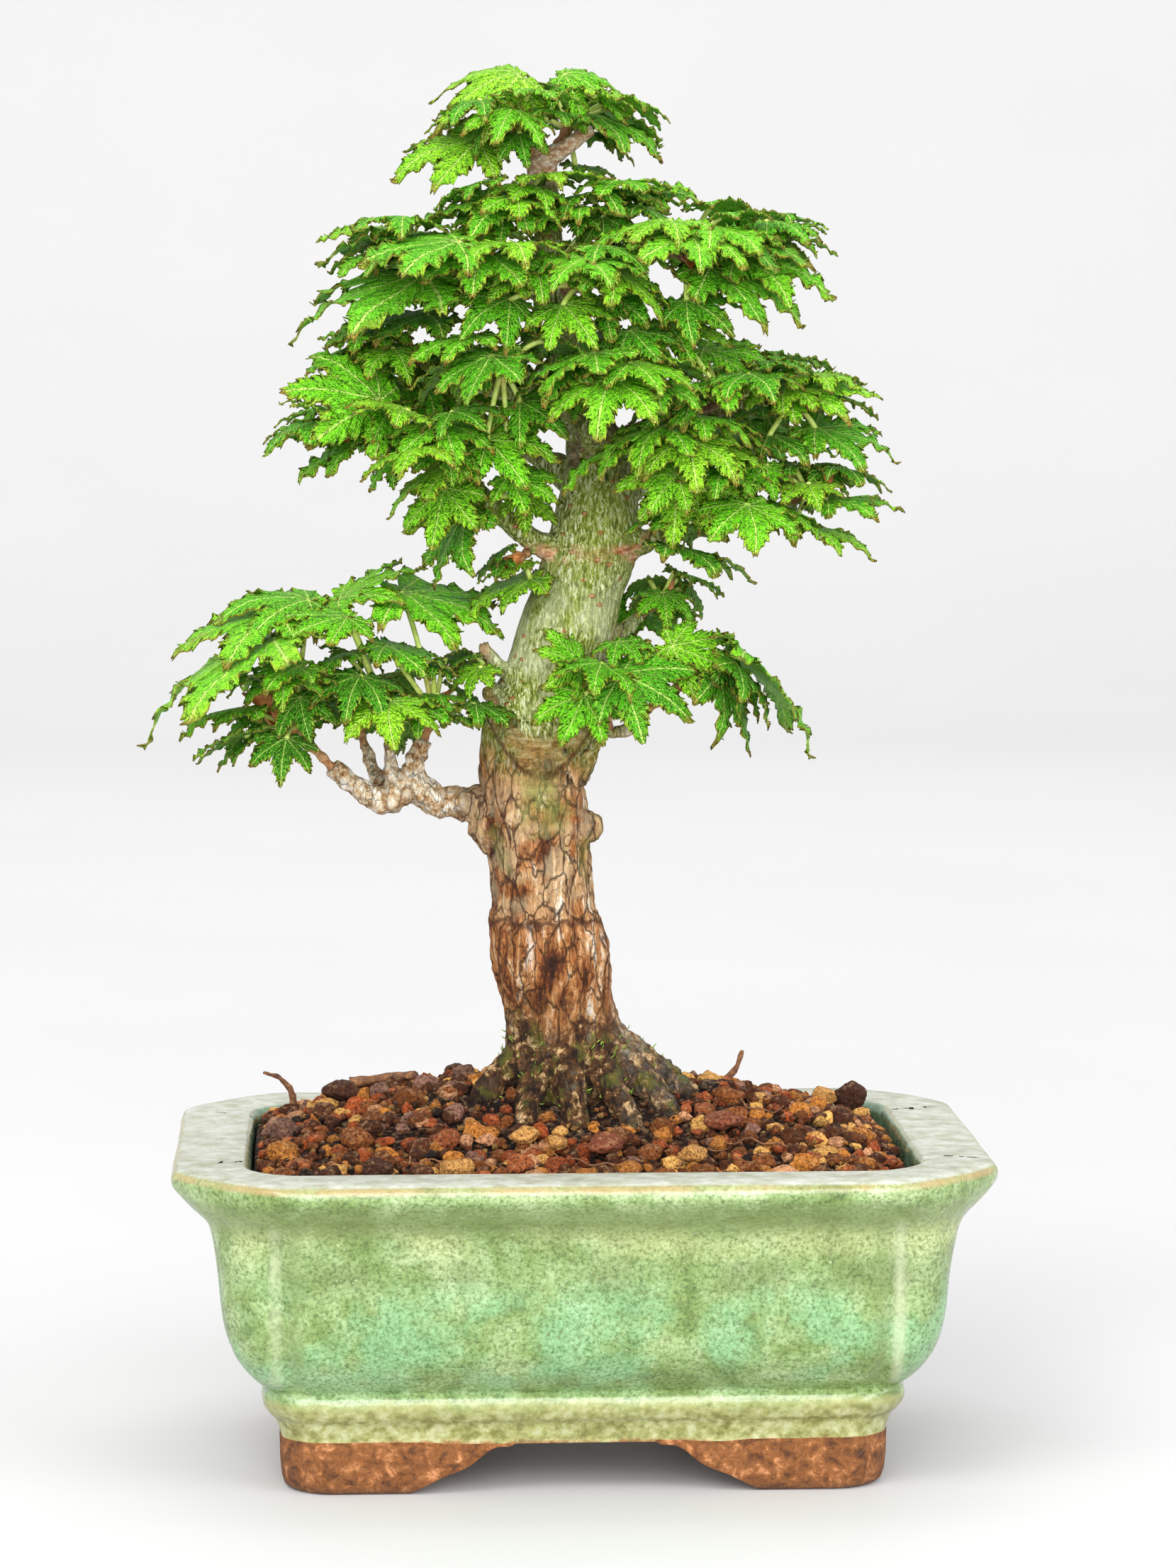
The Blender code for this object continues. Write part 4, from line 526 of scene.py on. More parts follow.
def combined(ob, others, operation, name):
    """The mesh of a Boolean of one object with several others, which are all removed."""
    group = bpy.data.collections.new(name + "_operands")
    for other in others:
        group.objects.link(other)
    cut = ob.modifiers.new("Boolean", "BOOLEAN")
    cut.operation = operation
    cut.operand_type = "COLLECTION"
    cut.collection = group
    cut.solver = "EXACT"
    mesh = evaluated(ob)
    for each in [ob, *others]:
        bpy.data.objects.remove(each, do_unlink=True)
    bpy.data.collections.remove(group)
    return mesh


def loft(rings, close_start=True, close_end=True):
    """Points and quads through rings of equal length, with flat ends."""
    count = len(rings[0])
    points = [p for ring in rings for p in ring]
    faces = []
    for level in range(len(rings) - 1):
        low, high = level * count, (level + 1) * count
        for i in range(count):
            j = (i + 1) % count
            faces.append((low + i, low + j, high + j, high + i))
    if close_start:
        faces.append(tuple(reversed(range(count))))
    if close_end:
        first = (len(rings) - 1) * count
        faces.append(tuple(range(first, first + count)))
    return points, faces


def tube_rings(path, radii, sides):
    """Rings square to a path, turned as little as possible from one to the next."""
    rings = []
    count = len(path)
    across = None
    for i in range(count):
        ahead = (path[min(i + 1, count - 1)] - path[max(i - 1, 0)]).normalized()
        if across is None:
            across = ahead.orthogonal().normalized()
        across = (across - ahead * across.dot(ahead)).normalized()
        up = ahead.cross(across)
        ring = []
        for k in range(sides):
            angle = 2 * math.pi * k / sides
            ring.append(path[i] + (across * math.cos(angle) + up * math.sin(angle)) * radii[i])
        rings.append(ring)
    return rings


def spline(rows, steps):
    """Catmull-Rom rows of numbers through given rows."""
    rows = [rows[0] * 2 - rows[1], *rows, rows[-1] * 2 - rows[-2]]
    out = []
    for i in range(1, len(rows) - 2):
        a, b, c, d = rows[i - 1 : i + 3]
        square, cube = 2 * a - 5 * b + 4 * c - d, 3 * b - a - 3 * c + d
        for k in range(steps):
            t = k / steps
            out.append(0.5 * (2 * b + (c - a) * t + square * t**2 + cube * t**3))
    out.append(rows[-2])
    return out


def smooth_path(stations, steps):
    """Points and radii through (x, y, z, radius) stations."""
    out = spline([Vector(s) for s in stations], steps)
    return [Vector(p[:3]) for p in out], [max(p[3], 0.3) for p in out]


def smooth_rows(rows, steps):
    return spline([np.array(r, float) for r in rows], steps)


def level_ring(half_x, half_y, straight, power, height, groove=0.0):
    """A plan outline of the pot at a height."""
    ring = outline(half_x, half_y, straight, power, groove, FINE)
    return [(x, y, height) for x, y in ring]


def heading_of(turn, lift):
    """The unit vector with a turn from +X and a lift from level, in radians."""
    level = math.cos(lift)
    return Vector((math.cos(turn) * level, math.sin(turn) * level, math.sin(lift)))


def row_of(values, count):
    return np.tile(np.array(values), (count, 1))


class Skin:
    """Points, faces and what the shaders read, gathered for one piece."""

    def __init__(self):
        self.points = []
        self.faces = []
        self.slots = []
        self.vein = []
        self.tone = []
        self.size = 0

    def add(self, points, faces, slot=0, vein=None, tone=None):
        points = np.asarray([tuple(p) for p in points], float)
        count = len(points)
        first = self.size
        self.points.append(points)
        self.faces += [tuple(first + i for i in face) for face in faces]
        self.slots += [slot] * len(faces)
        self.vein.append(np.zeros((count, 3)) if vein is None else vein)
        self.tone.append(np.zeros((count, 3)) if tone is None else tone)
        self.size += count

    def build(self, name, materials, node=None, smooth=True):
        points = (np.concatenate(self.points) + np.array(POT_SHIFT)) * MM
        mesh = bpy.data.meshes.new(name)
        mesh.from_pydata(points.tolist(), [], self.faces)
        for made in materials:
            mesh.materials.append(made)
        mesh.polygons.foreach_set("material_index", self.slots)
        for title, rows in (("vein", self.vein), ("tone", self.tone)):
            layer = mesh.attributes.new(title, "FLOAT_VECTOR", "POINT")
            layer.data.foreach_set("vector", np.concatenate(rows).astype(np.float32).ravel())
        if smooth:
            mesh.shade_smooth()
        mesh.update()
        return piece(name, mesh, node)


def piece(name, mesh, node):
    ob = place(name, mesh)
    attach(ob, "root")
    if node:
        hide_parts(node)
    return ob


# ---------------------------------------------------------------- shader nodes


def linear(red, green, blue):
    """A colour from its 0-255 display values."""
    out = []
    for value in (red, green, blue):
        share = value / 255.0
        out.append(share / 12.92 if share <= 0.04045 else ((share + 0.055) / 1.055) ** 2.4)
    return (*out, 1.0)


class Number:
    """A number in a material that differs from place to place."""

    def __init__(self, look, socket):
        self.look = look
        self.socket = socket

    def __add__(self, other):
        return self.look.calc("ADD", self, other)

    def __sub__(self, other):
        return self.look.calc("SUBTRACT", self, other)

    def __rsub__(self, other):
        return self.look.calc("SUBTRACT", other, self)

    def __mul__(self, other):
        return self.look.calc("MULTIPLY", self, other)

    def __truediv__(self, other):
        return self.look.calc("DIVIDE", self, other)

    def __or__(self, other):
        """The larger of two."""
        return self.look.calc("MAXIMUM", self, other)

    def __abs__(self):
        return self.look.calc("ABSOLUTE", self)

    def fraction(self):
        return self.look.calc("FRACT", self)

    def plus(self, other):
        """A sum that stays between nought and one."""
        return self.look.calc("ADD", self, other, clamp=True)

    def step(self, low, high, to_low=0.0, to_high=1.0):
        """A smooth step between two limits."""
        limits = {"From Min": low, "From Max": high, "To Min": to_low, "To Max": to_high}
        node = self.look.node(
            "MapRange", {"Value": self, **limits}, interpolation_type="SMOOTHSTEP"
        )
        return Number(self.look, node.outputs["Result"])

    def drop(self, low, high):
        """One below two limits, nought above them."""
        return self.step(low, high, 1.0, 0.0)

    def band(self, low, high, soft):
        """One inside a range, nought outside."""
        return self.step(low - soft, low + soft) * self.drop(high - soft, high + soft)

    def ramp(self, *stops):
        """Colours by this number: (place, red, green, blue) in 0-255 display values."""
        return self.look.ramp(self, *[(at, linear(*colour)) for at, *colour in stops])


class Look:
    """A material made of procedural nodes, with lengths in mm."""

    def __init__(self, name):
        self.made = bpy.data.materials.new(name)
        self.made.use_nodes = True
        self.nodes = self.made.node_tree.nodes
        self.links = self.made.node_tree.links
        self.shader = self.nodes["Principled BSDF"]
        self.output = self.nodes["Material Output"]
        here = self.node("TexCoord").outputs["Object"]
        self.at = self.vector("SCALE", here, scale=1.0 / MM)

    def node(self, kind, inputs=None, **settings):
        made = self.nodes.new("ShaderNode" + kind)
        for title, value in settings.items():
            setattr(made, title, value)
        for title, value in (inputs or {}).items():
            if value is not None:
                self.put(made.inputs[title], value)
        return made

    def put(self, socket, value):
        value = getattr(value, "socket", value)
        if isinstance(value, bpy.types.NodeSocket):
            self.links.new(value, socket)
        else:
            socket.default_value = value

    def set(self, name, value):
        self.put(self.shader.inputs[name], value)

    def surface(self, colour, rough, specular=None):
        self.set("Base Color", colour)
        self.set("Roughness", rough)
        if specular is not None:
            self.set("Specular IOR Level", specular)

    def vector(self, operation, first, second=None, scale=None):
        inputs = {0: first, 1: second, "Scale": scale}
        return self.node("VectorMath", inputs, operation=operation).outputs[0]

    def stretch(self, vector, x, y, z):
        return self.vector("MULTIPLY", vector, (x, y, z))

    def warped(self, vector, scale, amount):
        """A place pushed about by noise."""
        pushed = self.node("TexNoise", {"Vector": vector, "Scale": scale, "Detail": 3.0})
        centred = self.vector("SUBTRACT", pushed.outputs["Color"], (0.5, 0.5, 0.5))
        return self.vector("ADD", vector, self.vector("SCALE", centred, scale=amount))

    def noise(self, scale, detail=4.0, rough=0.55, vector=None, distort=0.0):
        inputs = {"Vector": self.at if vector is None else vector, "Scale": scale}
        inputs.update({"Detail": detail, "Roughness": rough, "Distortion": distort})
        return Number(self, self.node("TexNoise", inputs).outputs["Fac"])

    def cells(self, scale, feature="F1", vector=None):
        inputs = {"Vector": self.at if vector is None else vector, "Scale": scale}
        return Number(self, self.node("TexVoronoi", inputs, feature=feature).outputs["Distance"])

    def ramp(self, value, *stops):
        """Colours by a value: (place, colour)."""
        node = self.node("ValToRGB", {"Fac": value})
        elements = node.color_ramp.elements
        while len(elements) < len(stops):
            elements.new(0.5)
        for element, (at, _) in zip(elements, stops):
            element.position = at
        for element, (_, colour) in zip(elements, stops):
            element.color = colour
        return node.outputs["Color"]

    def mix(self, share, first, second, blend="MIX"):
        inputs = {"Factor": share, 6: first, 7: second}
        return self.node("Mix", inputs, data_type="RGBA", blend_type=blend).outputs[2]

    def paint(self, colour, *coats):
        """A colour under coats of (share, red, green, blue)."""
        for share, *coat in coats:
            colour = self.mix(share, colour, linear(*coat))
        return colour

    def calc(self, operation, first, second=None, clamp=False):
        inputs = {0: first, 1: second}
        node = self.node("Math", inputs, operation=operation, use_clamp=clamp)
        return Number(self, node.outputs[0])

    def split(self, vector):
        outputs = self.node("SeparateXYZ", {0: vector}).outputs
        return [Number(self, part) for part in outputs]

    def read(self, title):
        """The three parts of what the mesh stores under a name."""
        return self.split(self.node("Attribute", attribute_name=title).outputs["Vector"])

    def facing(self):
        """The three parts of the surface's own direction."""
        return self.split(self.node("NewGeometry").outputs["Normal"])

    def pointed(self):
        """How far the surface stands out about a place: under a half in a hollow."""
        return Number(self, self.node("NewGeometry").outputs["Pointiness"])

    def bump(self, *layers):
        """Bumps laid over each other: (height, depth in mm)."""
        normal = None
        for height, depth in layers:
            inputs = {"Strength": 1.0, "Distance": depth * MM, "Height": height}
            normal = self.node("Bump", {**inputs, "Normal": normal}).outputs["Normal"]
        self.set("Normal", normal)


# Heights at which the glaze changes or painted shade lies, and distances from the middle of the painted
# highlight and painted shade at the corners, mm
MOULDING = (15.5, 20.5)
CREAM_BAND = (49.0, 56.0)
OLIVE_BAND = (42.0, 48.0)
TURQUOISE_BAND = (21.0, 42.0)
UNDER_RIM = (53.5, 59.5)
MOULDING_EDGE = (16.0, 19.2)
RIM_EDGE = (62.9, 64.3)
RIM_TOP = (63.9, 64.35)
BARE_FEET = (9.6, 11.2)
CORNER_RIDGE_HIGHLIGHT = (58.8, 61.0)
CORNER_VALLEY_SHADE = (54.6, 57.4)


def glaze_zones(look, wavy):
    """Mottled celadon: clouds, cream and olive bands under the rim, turquoise below."""
    base = look.noise(0.11, 5.0, 0.6, distort=0.6).ramp(
        (0.32, 112, 142, 70), (0.44, 138, 168, 98), (0.54, 160, 190, 130), (0.66, 184, 208, 158)
    )
    cream = wavy.band(*CREAM_BAND, 2.5) * look.noise(0.05, 2.0).step(0.38, 0.58)
    olive = wavy.band(*OLIVE_BAND, 2.5) * look.noise(0.06, 3.0).step(0.44, 0.60)
    turquoise = wavy.band(*TURQUOISE_BAND, 5.0) * look.noise(0.07, 3.0).step(0.42, 0.60)
    return look.paint(
        base,
        (cream * 0.55, 206, 216, 158),
        (olive * 0.6, 124, 146, 88),
        (turquoise * 0.7, 146, 204, 156),
    )


def glaze_marks(look, base, wavy):
    """Dark and pale specks, fine cracks and the shadow under the rim."""
    grain = look.cells(0.62, vector=look.warped(look.at, 0.8, 1.2))
    dark = grain.drop(0.16, 0.34) * look.noise(0.3, 2.0).step(0.45, 0.6)
    pale = look.cells(0.85).drop(0.12, 0.26) * look.noise(0.35, 2.0).step(0.5, 0.7, 0.0, 0.35)
    crack = look.cells(0.24, "DISTANCE_TO_EDGE", look.warped(look.at, 0.3, 2.2))
    broken = look.noise(0.25, 3.0).step(0.46, 0.62, 0.0, 0.6)
    return look.paint(
        base,
        (wavy.band(*UNDER_RIM, 1.6) * 0.5, 128, 150, 80),
        (dark * 0.55, 96, 110, 56),
        (pale, 232, 240, 218),
        (crack.drop(0.0, 0.016) * broken, 104, 106, 58),
    )


def glaze_edges(look, base, wavy):
    """Thin glaze on the base moulding and the rim's edge; a painted highlight on the corner ridges with
    painted shade beside them; darker wall inside.
    """
    x, y, z = look.split(look.at)
    thin = wavy.band(*MOULDING_EDGE, 0.8).plus(z.band(*RIM_EDGE, 0.5))
    worn_edge = look.noise(0.09, 3.0).step(0.36, 0.6, 0.3, 0.75)
    tan = look.mix(z.step(30.0, 31.0), linear(168, 176, 112), linear(178, 152, 100))
    base = look.mix(thin * worn_edge, base, tan)
    apart = abs(x - POT_SHIFT.x)
    front = abs(y).step(38.0, 42.0) * z.drop(54.0, 58.0)
    # Painted highlight down each corner ridge, and painted shade in the valley beside it.
    ridge = apart.band(*CORNER_RIDGE_HIGHLIGHT, 1.0) * front * look.noise(0.12, 3.0).step(0.3, 0.7, 0.1, 0.5)
    valley_shade = apart.band(*CORNER_VALLEY_SHADE, 1.3) * front
    base = look.paint(base, (ridge, 216, 228, 190), (valley_shade * 0.42, 116, 140, 76))
    foot = look.noise(0.5, 5.0).ramp(
        (0.35, 120, 110, 40), (0.5, 170, 168, 98), (0.66, 206, 208, 160)
    )
    base = look.mix(wavy.drop(*MOULDING) * 0.72, base, foot)
    inside = apart.drop(65.2, 65.8) * abs(y).drop(42.2, 42.9) * z.step(40.0, 44.0)
    wall = look.noise(0.3, 5.0).ramp((0.35, 84, 116, 84), (0.65, 128, 164, 130))
    return look.mix(inside, base, wall)


def glaze_look():
    look = Look("celadon_glaze")
    z = look.split(look.at)[2]
    wavy = z + (look.noise(0.22) - 0.5) * 3.0
    fine = look.noise(1.3, 6.0, 0.74)
    speckled = fine.ramp((0.36, 112, 132, 78), (0.48, 212, 220, 192), (0.6, 255, 255, 252))
    base = look.mix(0.9, glaze_zones(look, wavy), speckled, "MULTIPLY")
    base = glaze_edges(look, glaze_marks(look, base, wavy), wavy)
    top = z.step(*RIM_TOP) * look.facing()[2].step(0.55, 0.9)
    rim = look.noise(0.3, 5.0).ramp((0.3, 166, 171, 146), (0.5, 190, 197, 182), (0.7, 209, 216, 208))
    matt = fine.ramp((0.35, 190, 196, 170), (0.6, 255, 255, 255))
    base = look.mix(top, base, look.mix(0.35, rim, matt, "MULTIPLY"))
    bare = wavy.drop(*BARE_FEET)
    clay = look.noise(0.5, 6.0, 0.65).ramp(
        (0.3, 118, 70, 24), (0.5, 168, 110, 62), (0.7, 206, 144, 100)
    )
    clay = look.paint(clay, (look.noise(1.8, 3.0).step(0.55, 0.7), 98, 56, 26))
    base = look.mix(1.0, look.mix(bare, base, clay), linear(219, 214, 215), "MULTIPLY")
    gloss = look.noise(0.25, 4.0).step(0.3, 0.7, 0.16, 0.30)
    moulding = wavy.drop(*MOULDING)
    look.surface(base, gloss.plus(bare * 0.6).plus(top * 0.34).plus(moulding * 0.16))
    look.set("IOR", 1.5)
    look.set("Coat Weight", (1.0 - (bare | top)) * 0.35)
    look.set("Coat Roughness", 0.08)
    look.bump(
        (look.noise(0.12, 2.0), 0.9),
        (look.noise(0.7, 5.0, 0.6), 0.16),
        (look.cells(0.9).step(0.02, 0.16), 0.07),
        (bare * look.noise(2.6, 5.0, 0.7), 0.45),
    )
    return look.made


def clay_look():
    look = Look("fired_clay")
    colour = look.noise(0.35, 7.0, 0.68, distort=0.4).ramp(
        (0.34, 58, 26, 0), (0.44, 104, 58, 14), (0.55, 130, 78, 32), (0.67, 194, 132, 86)
    )
    dark = look.noise(1.6, 4.0, 0.6).step(0.56, 0.72)
    # The clay is darker towards the bottom of the feet.
    darker_at_bottom = look.split(look.at)[2].step(0.4, 2.2, 0.5, 0.0)
    colour = look.paint(colour, (dark * 0.7, 92, 52, 24), (darker_at_bottom, 96, 62, 34))
    look.surface(colour, look.noise(0.9, 3.0).step(0.3, 0.7, 0.7, 0.92))
    look.bump((look.noise(0.5, 4.0), 0.8), (look.noise(2.4, 6.0, 0.7), 0.35))
    return look.made


def grain_look(name, pitted=1.0):
    """Broken lava, pumice and fired loam: the base colour comes from each grain."""
    look = Look(name)
    base = look.node("CombineColor", dict(enumerate(look.read("vein")))).outputs[0]
    fine = look.noise(1.6, 7.0, 0.72)
    mottled = fine.ramp((0.34, 70, 52, 40), (0.48, 206, 194, 176), (0.62, 255, 252, 244))
    base = look.mix(0.9, base, mottled, "MULTIPLY")
    dust = look.facing()[2].step(0.1, 0.9) * look.noise(0.8, 4.0).step(0.48, 0.66)
    pits = look.cells(1.25, vector=look.warped(look.at, 1.0, 0.6)).step(0.10, 0.34)
    # The pits are painted dark: painted shade in their hollows.
    base = look.paint(base, (dust * 0.28, 206, 168, 124), ((1.0 - pits) * 0.6, 36, 18, 10))
    look.surface(base, fine.step(0.3, 0.7, 0.78, 0.97), 0.25)
    look.bump((pits, 0.8 * pitted), (fine, 1.1))
    return look.made


# Heights at which the bark changes, mm
WORN_BARK = (110.0, 136.0)
SHELF_SHADOW = (107.6, 108.7)
CHALKY_BARK = (152.0, 176.0)
COLLAR = (138.0, 145.0)
COLLAR_RIM = (137.6, 138.9)
COLLAR_MOSS = (134.5, 144.5)
STALE_BARK = (116.0, 134.0)
SCAR_RING = (181.2, 184.2)
ROTTEN_HOLLOW = (199.0, 208.0)
TORN_STUMP = (252.0, 255.0)
GREEN_BARK = (134.0, 150.0)
BUTTRESS = (84.0, 96.0)
# Where the trunk ends and the branches begin, mm
TRUNK_MIDDLE = -4.0
TRUNK_SIDE = (13.0, 19.0)


def old_bark(look, wavy, flakes):
    """Flaking brown bark of the lower trunk, with its cracks and fine cracks, and painted shade in its
    hollows.
    """
    z = look.split(look.at)[2]
    colour = flakes.ramp(
        (0.36, 36, 10, 0),
        (0.43, 104, 50, 12),
        (0.50, 168, 108, 56),
        (0.57, 208, 158, 106),
        (0.64, 252, 240, 220),
    )
    rust = look.noise(0.2, 4.0).step(0.52, 0.64)
    worn = wavy.band(*WORN_BARK, 6.0) * look.noise(0.16, 4.0).step(0.40, 0.58)
    plates = look.warped(look.stretch(look.at, 1.0, 1.0, 0.42), 0.45, 2.2)
    split = look.cells(0.26, "DISTANCE_TO_EDGE", plates).drop(0.0, 0.06)
    checks = look.warped(look.stretch(look.at, 1.0, 1.0, 0.5), 0.8, 1.4)
    hair = look.cells(0.62, "DISTANCE_TO_EDGE", checks).drop(0.0, 0.07)
    hair *= look.noise(0.25, 3.0).step(0.42, 0.58)
    ragged = z + (look.noise(0.3, 4.0) - 0.5) * 5.0
    # Painted shade in the hollows of the bark, found by how far the surface stands in.
    hollows = look.pointed().drop(0.40, 0.50)
    colour = look.paint(
        colour,
        (rust * 0.4, 172, 98, 44),
        (worn * 0.42, 218, 200, 158),
        (split * 0.85, 52, 22, 4),
        (hair * 0.8, 78, 38, 12),
        (ragged.band(*SHELF_SHADOW, 0.5) * 0.8, 70, 32, 8),
        (hollows * 0.7, 52, 24, 6),
    )
    return colour, split, hair, hollows


def young_bark(look, wavy):
    """Striped green bark of the upper trunk, with its stripes and lenticels."""
    striped = look.stretch(look.warped(look.at, 0.5, 1.4), 1.0, 1.0, 0.2)
    lines = look.noise(2.1, 5.0, 0.7, striped)
    colour = lines.ramp(
        (0.38, 48, 64, 0),
        (0.45, 106, 118, 26),
        (0.50, 150, 162, 70),
        (0.55, 192, 198, 128),
        (0.64, 242, 244, 222),
    )
    patch = look.noise(0.09, 4.0, 0.6).step(0.44, 0.60)
    chalk = wavy.band(*CHALKY_BARK, 6.0) * look.noise(0.12, 3.0).step(0.42, 0.6)
    dots = look.cells(0.24, vector=look.stretch(look.at, 1.0, 1.0, 1.4))
    lenticel = dots.drop(0.10, 0.20)
    colour = look.paint(
        colour,
        (patch * 0.4, 126, 146, 44),
        (chalk * 0.4, 216, 218, 180),
        (lenticel * 0.8, 168, 92, 52),
        (dots.drop(0.03, 0.08) * 0.8, 238, 214, 184),
    )
    return colour, lines, lenticel


def graft_ring(look, base, wavy, flakes):
    """The ringed collar of the graft with the moss under it."""
    x, _, z = look.split(look.at)
    side = abs(x - COLLAR_CENTRE)
    sag = z - side * side * COLLAR_SAG
    collar = (sag + (flakes - 0.5) * 3.0).band(*COLLAR, 1.0)
    level = look.stretch(look.warped(look.at, 0.3, 2.4), 0.4, 0.4, 1.5)
    rings = look.noise(0.7, 6.0, 0.62, level)
    ringed = rings.ramp(
        (0.3, 92, 52, 16), (0.45, 168, 130, 66), (0.58, 204, 182, 120), (0.72, 244, 234, 206)
    )
    base = look.mix(collar * look.noise(0.17, 4.0).step(0.40, 0.58) * 0.85, base, ringed)
    rim = (sag + look.noise(0.5, 3.0) * 1.6).band(*COLLAR_RIM, 0.6)
    base = look.paint(base, (rim * 0.8, 88, 48, 14))
    below = (z + look.noise(0.2, 4.0) * 12.0).band(*COLLAR_MOSS, 3.0)
    moss = below * (side + look.noise(0.25, 5.0) * 9.0).drop(5.5, 11.0)
    mossy = look.noise(0.9, 4.0).ramp((0.35, 98, 104, 30), (0.6, 164, 172, 92))
    base = look.mix(moss * 0.62, base, mossy)
    stale = wavy.band(*STALE_BARK, 4.0) * look.noise(0.14, 5.0).step(0.54, 0.64)
    return look.paint(base, (stale * 0.35, 138, 140, 66)), rings * collar


def upper_marks(look, base, wavy):
    """The scar ring with its two knots, the rotten hollow and the torn stump at the top."""
    x, _, z = look.split(look.at)
    scar = (z + look.noise(0.4, 3.0) * 3.0).band(*SCAR_RING, 0.9)
    knots = abs(x + 2.5).drop(2.5, 7.0) | abs(x - 15.0).drop(2.5, 6.0)
    healed = look.noise(0.9, 5.0, 0.6, look.stretch(look.at, 0.5, 0.5, 2.0)).ramp(
        (0.35, 150, 84, 44), (0.5, 206, 142, 98), (0.66, 240, 208, 172)
    )
    base = look.mix(
        scar * knots.plus(0.25) * look.noise(0.2, 2.0).step(0.36, 0.5), base, healed
    )
    rotten = look.noise(0.5, 7.0, 0.7).ramp(
        (0.3, 40, 30, 16), (0.5, 110, 92, 60), (0.7, 186, 172, 136)
    )
    dark = wavy.band(*ROTTEN_HOLLOW, 3.0) * look.noise(0.16, 3.0).step(0.42, 0.56)
    base = look.mix(dark, base, rotten)
    fibres = look.stretch(look.warped(look.at, 0.4, 2.0), 0.6, 0.6, 1.3)
    stump = look.noise(0.8, 5.0, 0.7, fibres).ramp(
        (0.3, 120, 66, 34), (0.48, 190, 150, 112), (0.64, 240, 226, 206)
    )
    return look.mix(z.step(*TORN_STUMP), base, stump)


def low_branches(look, base, fissures):
    """Pale fissured bark on the lower branches and the pink stub beside the trunk."""
    x, _, z = look.split(look.at)
    colour = look.noise(0.5, 7.0, 0.7, look.warped(look.at, 0.6, 1.4)).ramp(
        (0.34, 96, 50, 14), (0.44, 196, 156, 108), (0.54, 240, 224, 196), (0.64, 255, 252, 246)
    )
    colour = look.paint(colour, (fissures, 74, 48, 28))
    low = abs(x - TRUNK_MIDDLE).step(*TRUNK_SIDE) * z.drop(150.0, 158.0)
    stub = x.band(-22.0, -14.0, 1.0) * z.band(157.0, 170.0, 2.0)
    return look.paint(look.mix(low, base, colour), (stub * 0.6, 186, 122, 100))


def bark_look():
    look = Look("maple_bark")
    x, _, z = look.split(look.at)
    wavy = z + (look.noise(0.12, 3.0) - 0.5) * 14.0
    tall = look.stretch(look.at, 1.0, 1.0, 0.22)
    flakes = look.noise(0.34, 8.0, 0.7, look.warped(tall, 0.35, 2.0))
    old, split, hair, hollows = old_bark(look, wavy, flakes)
    young, lines, lenticel = young_bark(look, wavy)
    green = wavy.step(*GREEN_BARK)
    base, rings = graft_ring(look, look.mix(green, old, young), wavy, flakes)
    base = upper_marks(look, base, wavy)
    base = low_branches(look, base, split * 0.45 | hair * 0.75)
    root = (wavy + abs(x - COLLAR_CENTRE) * 0.2).drop(*BUTTRESS)
    buttress = look.noise(0.4, 8.0, 0.7, look.warped(look.at, 0.4, 2.0)).ramp(
        (0.42, 8, 3, 0), (0.48, 40, 20, 2), (0.55, 94, 60, 20), (0.63, 214, 180, 130)
    )
    base = look.mix(root * 0.9, base, buttress)
    felt = root * look.noise(0.24, 4.0).step(0.54, 0.64)
    # Painted shade, nearly black, in the hollows between the roots; a green felt over the roots.
    base = look.paint(base, (root * hollows * 0.9, 16, 7, 2), (felt * 0.45, 98, 108, 30))
    look.surface(base, flakes.step(0.3, 0.7, 0.66, 0.92), 0.3)
    coarse = 1.0 - green * 0.8
    look.bump(
        (flakes * coarse, 1.9),
        ((1.0 - split) * coarse, 0.9),
        ((1.0 - hair) * coarse, 0.4),
        (lines, 1.0),
        (rings, 1.4),
        (lenticel, 0.25),
    )
    return look.made


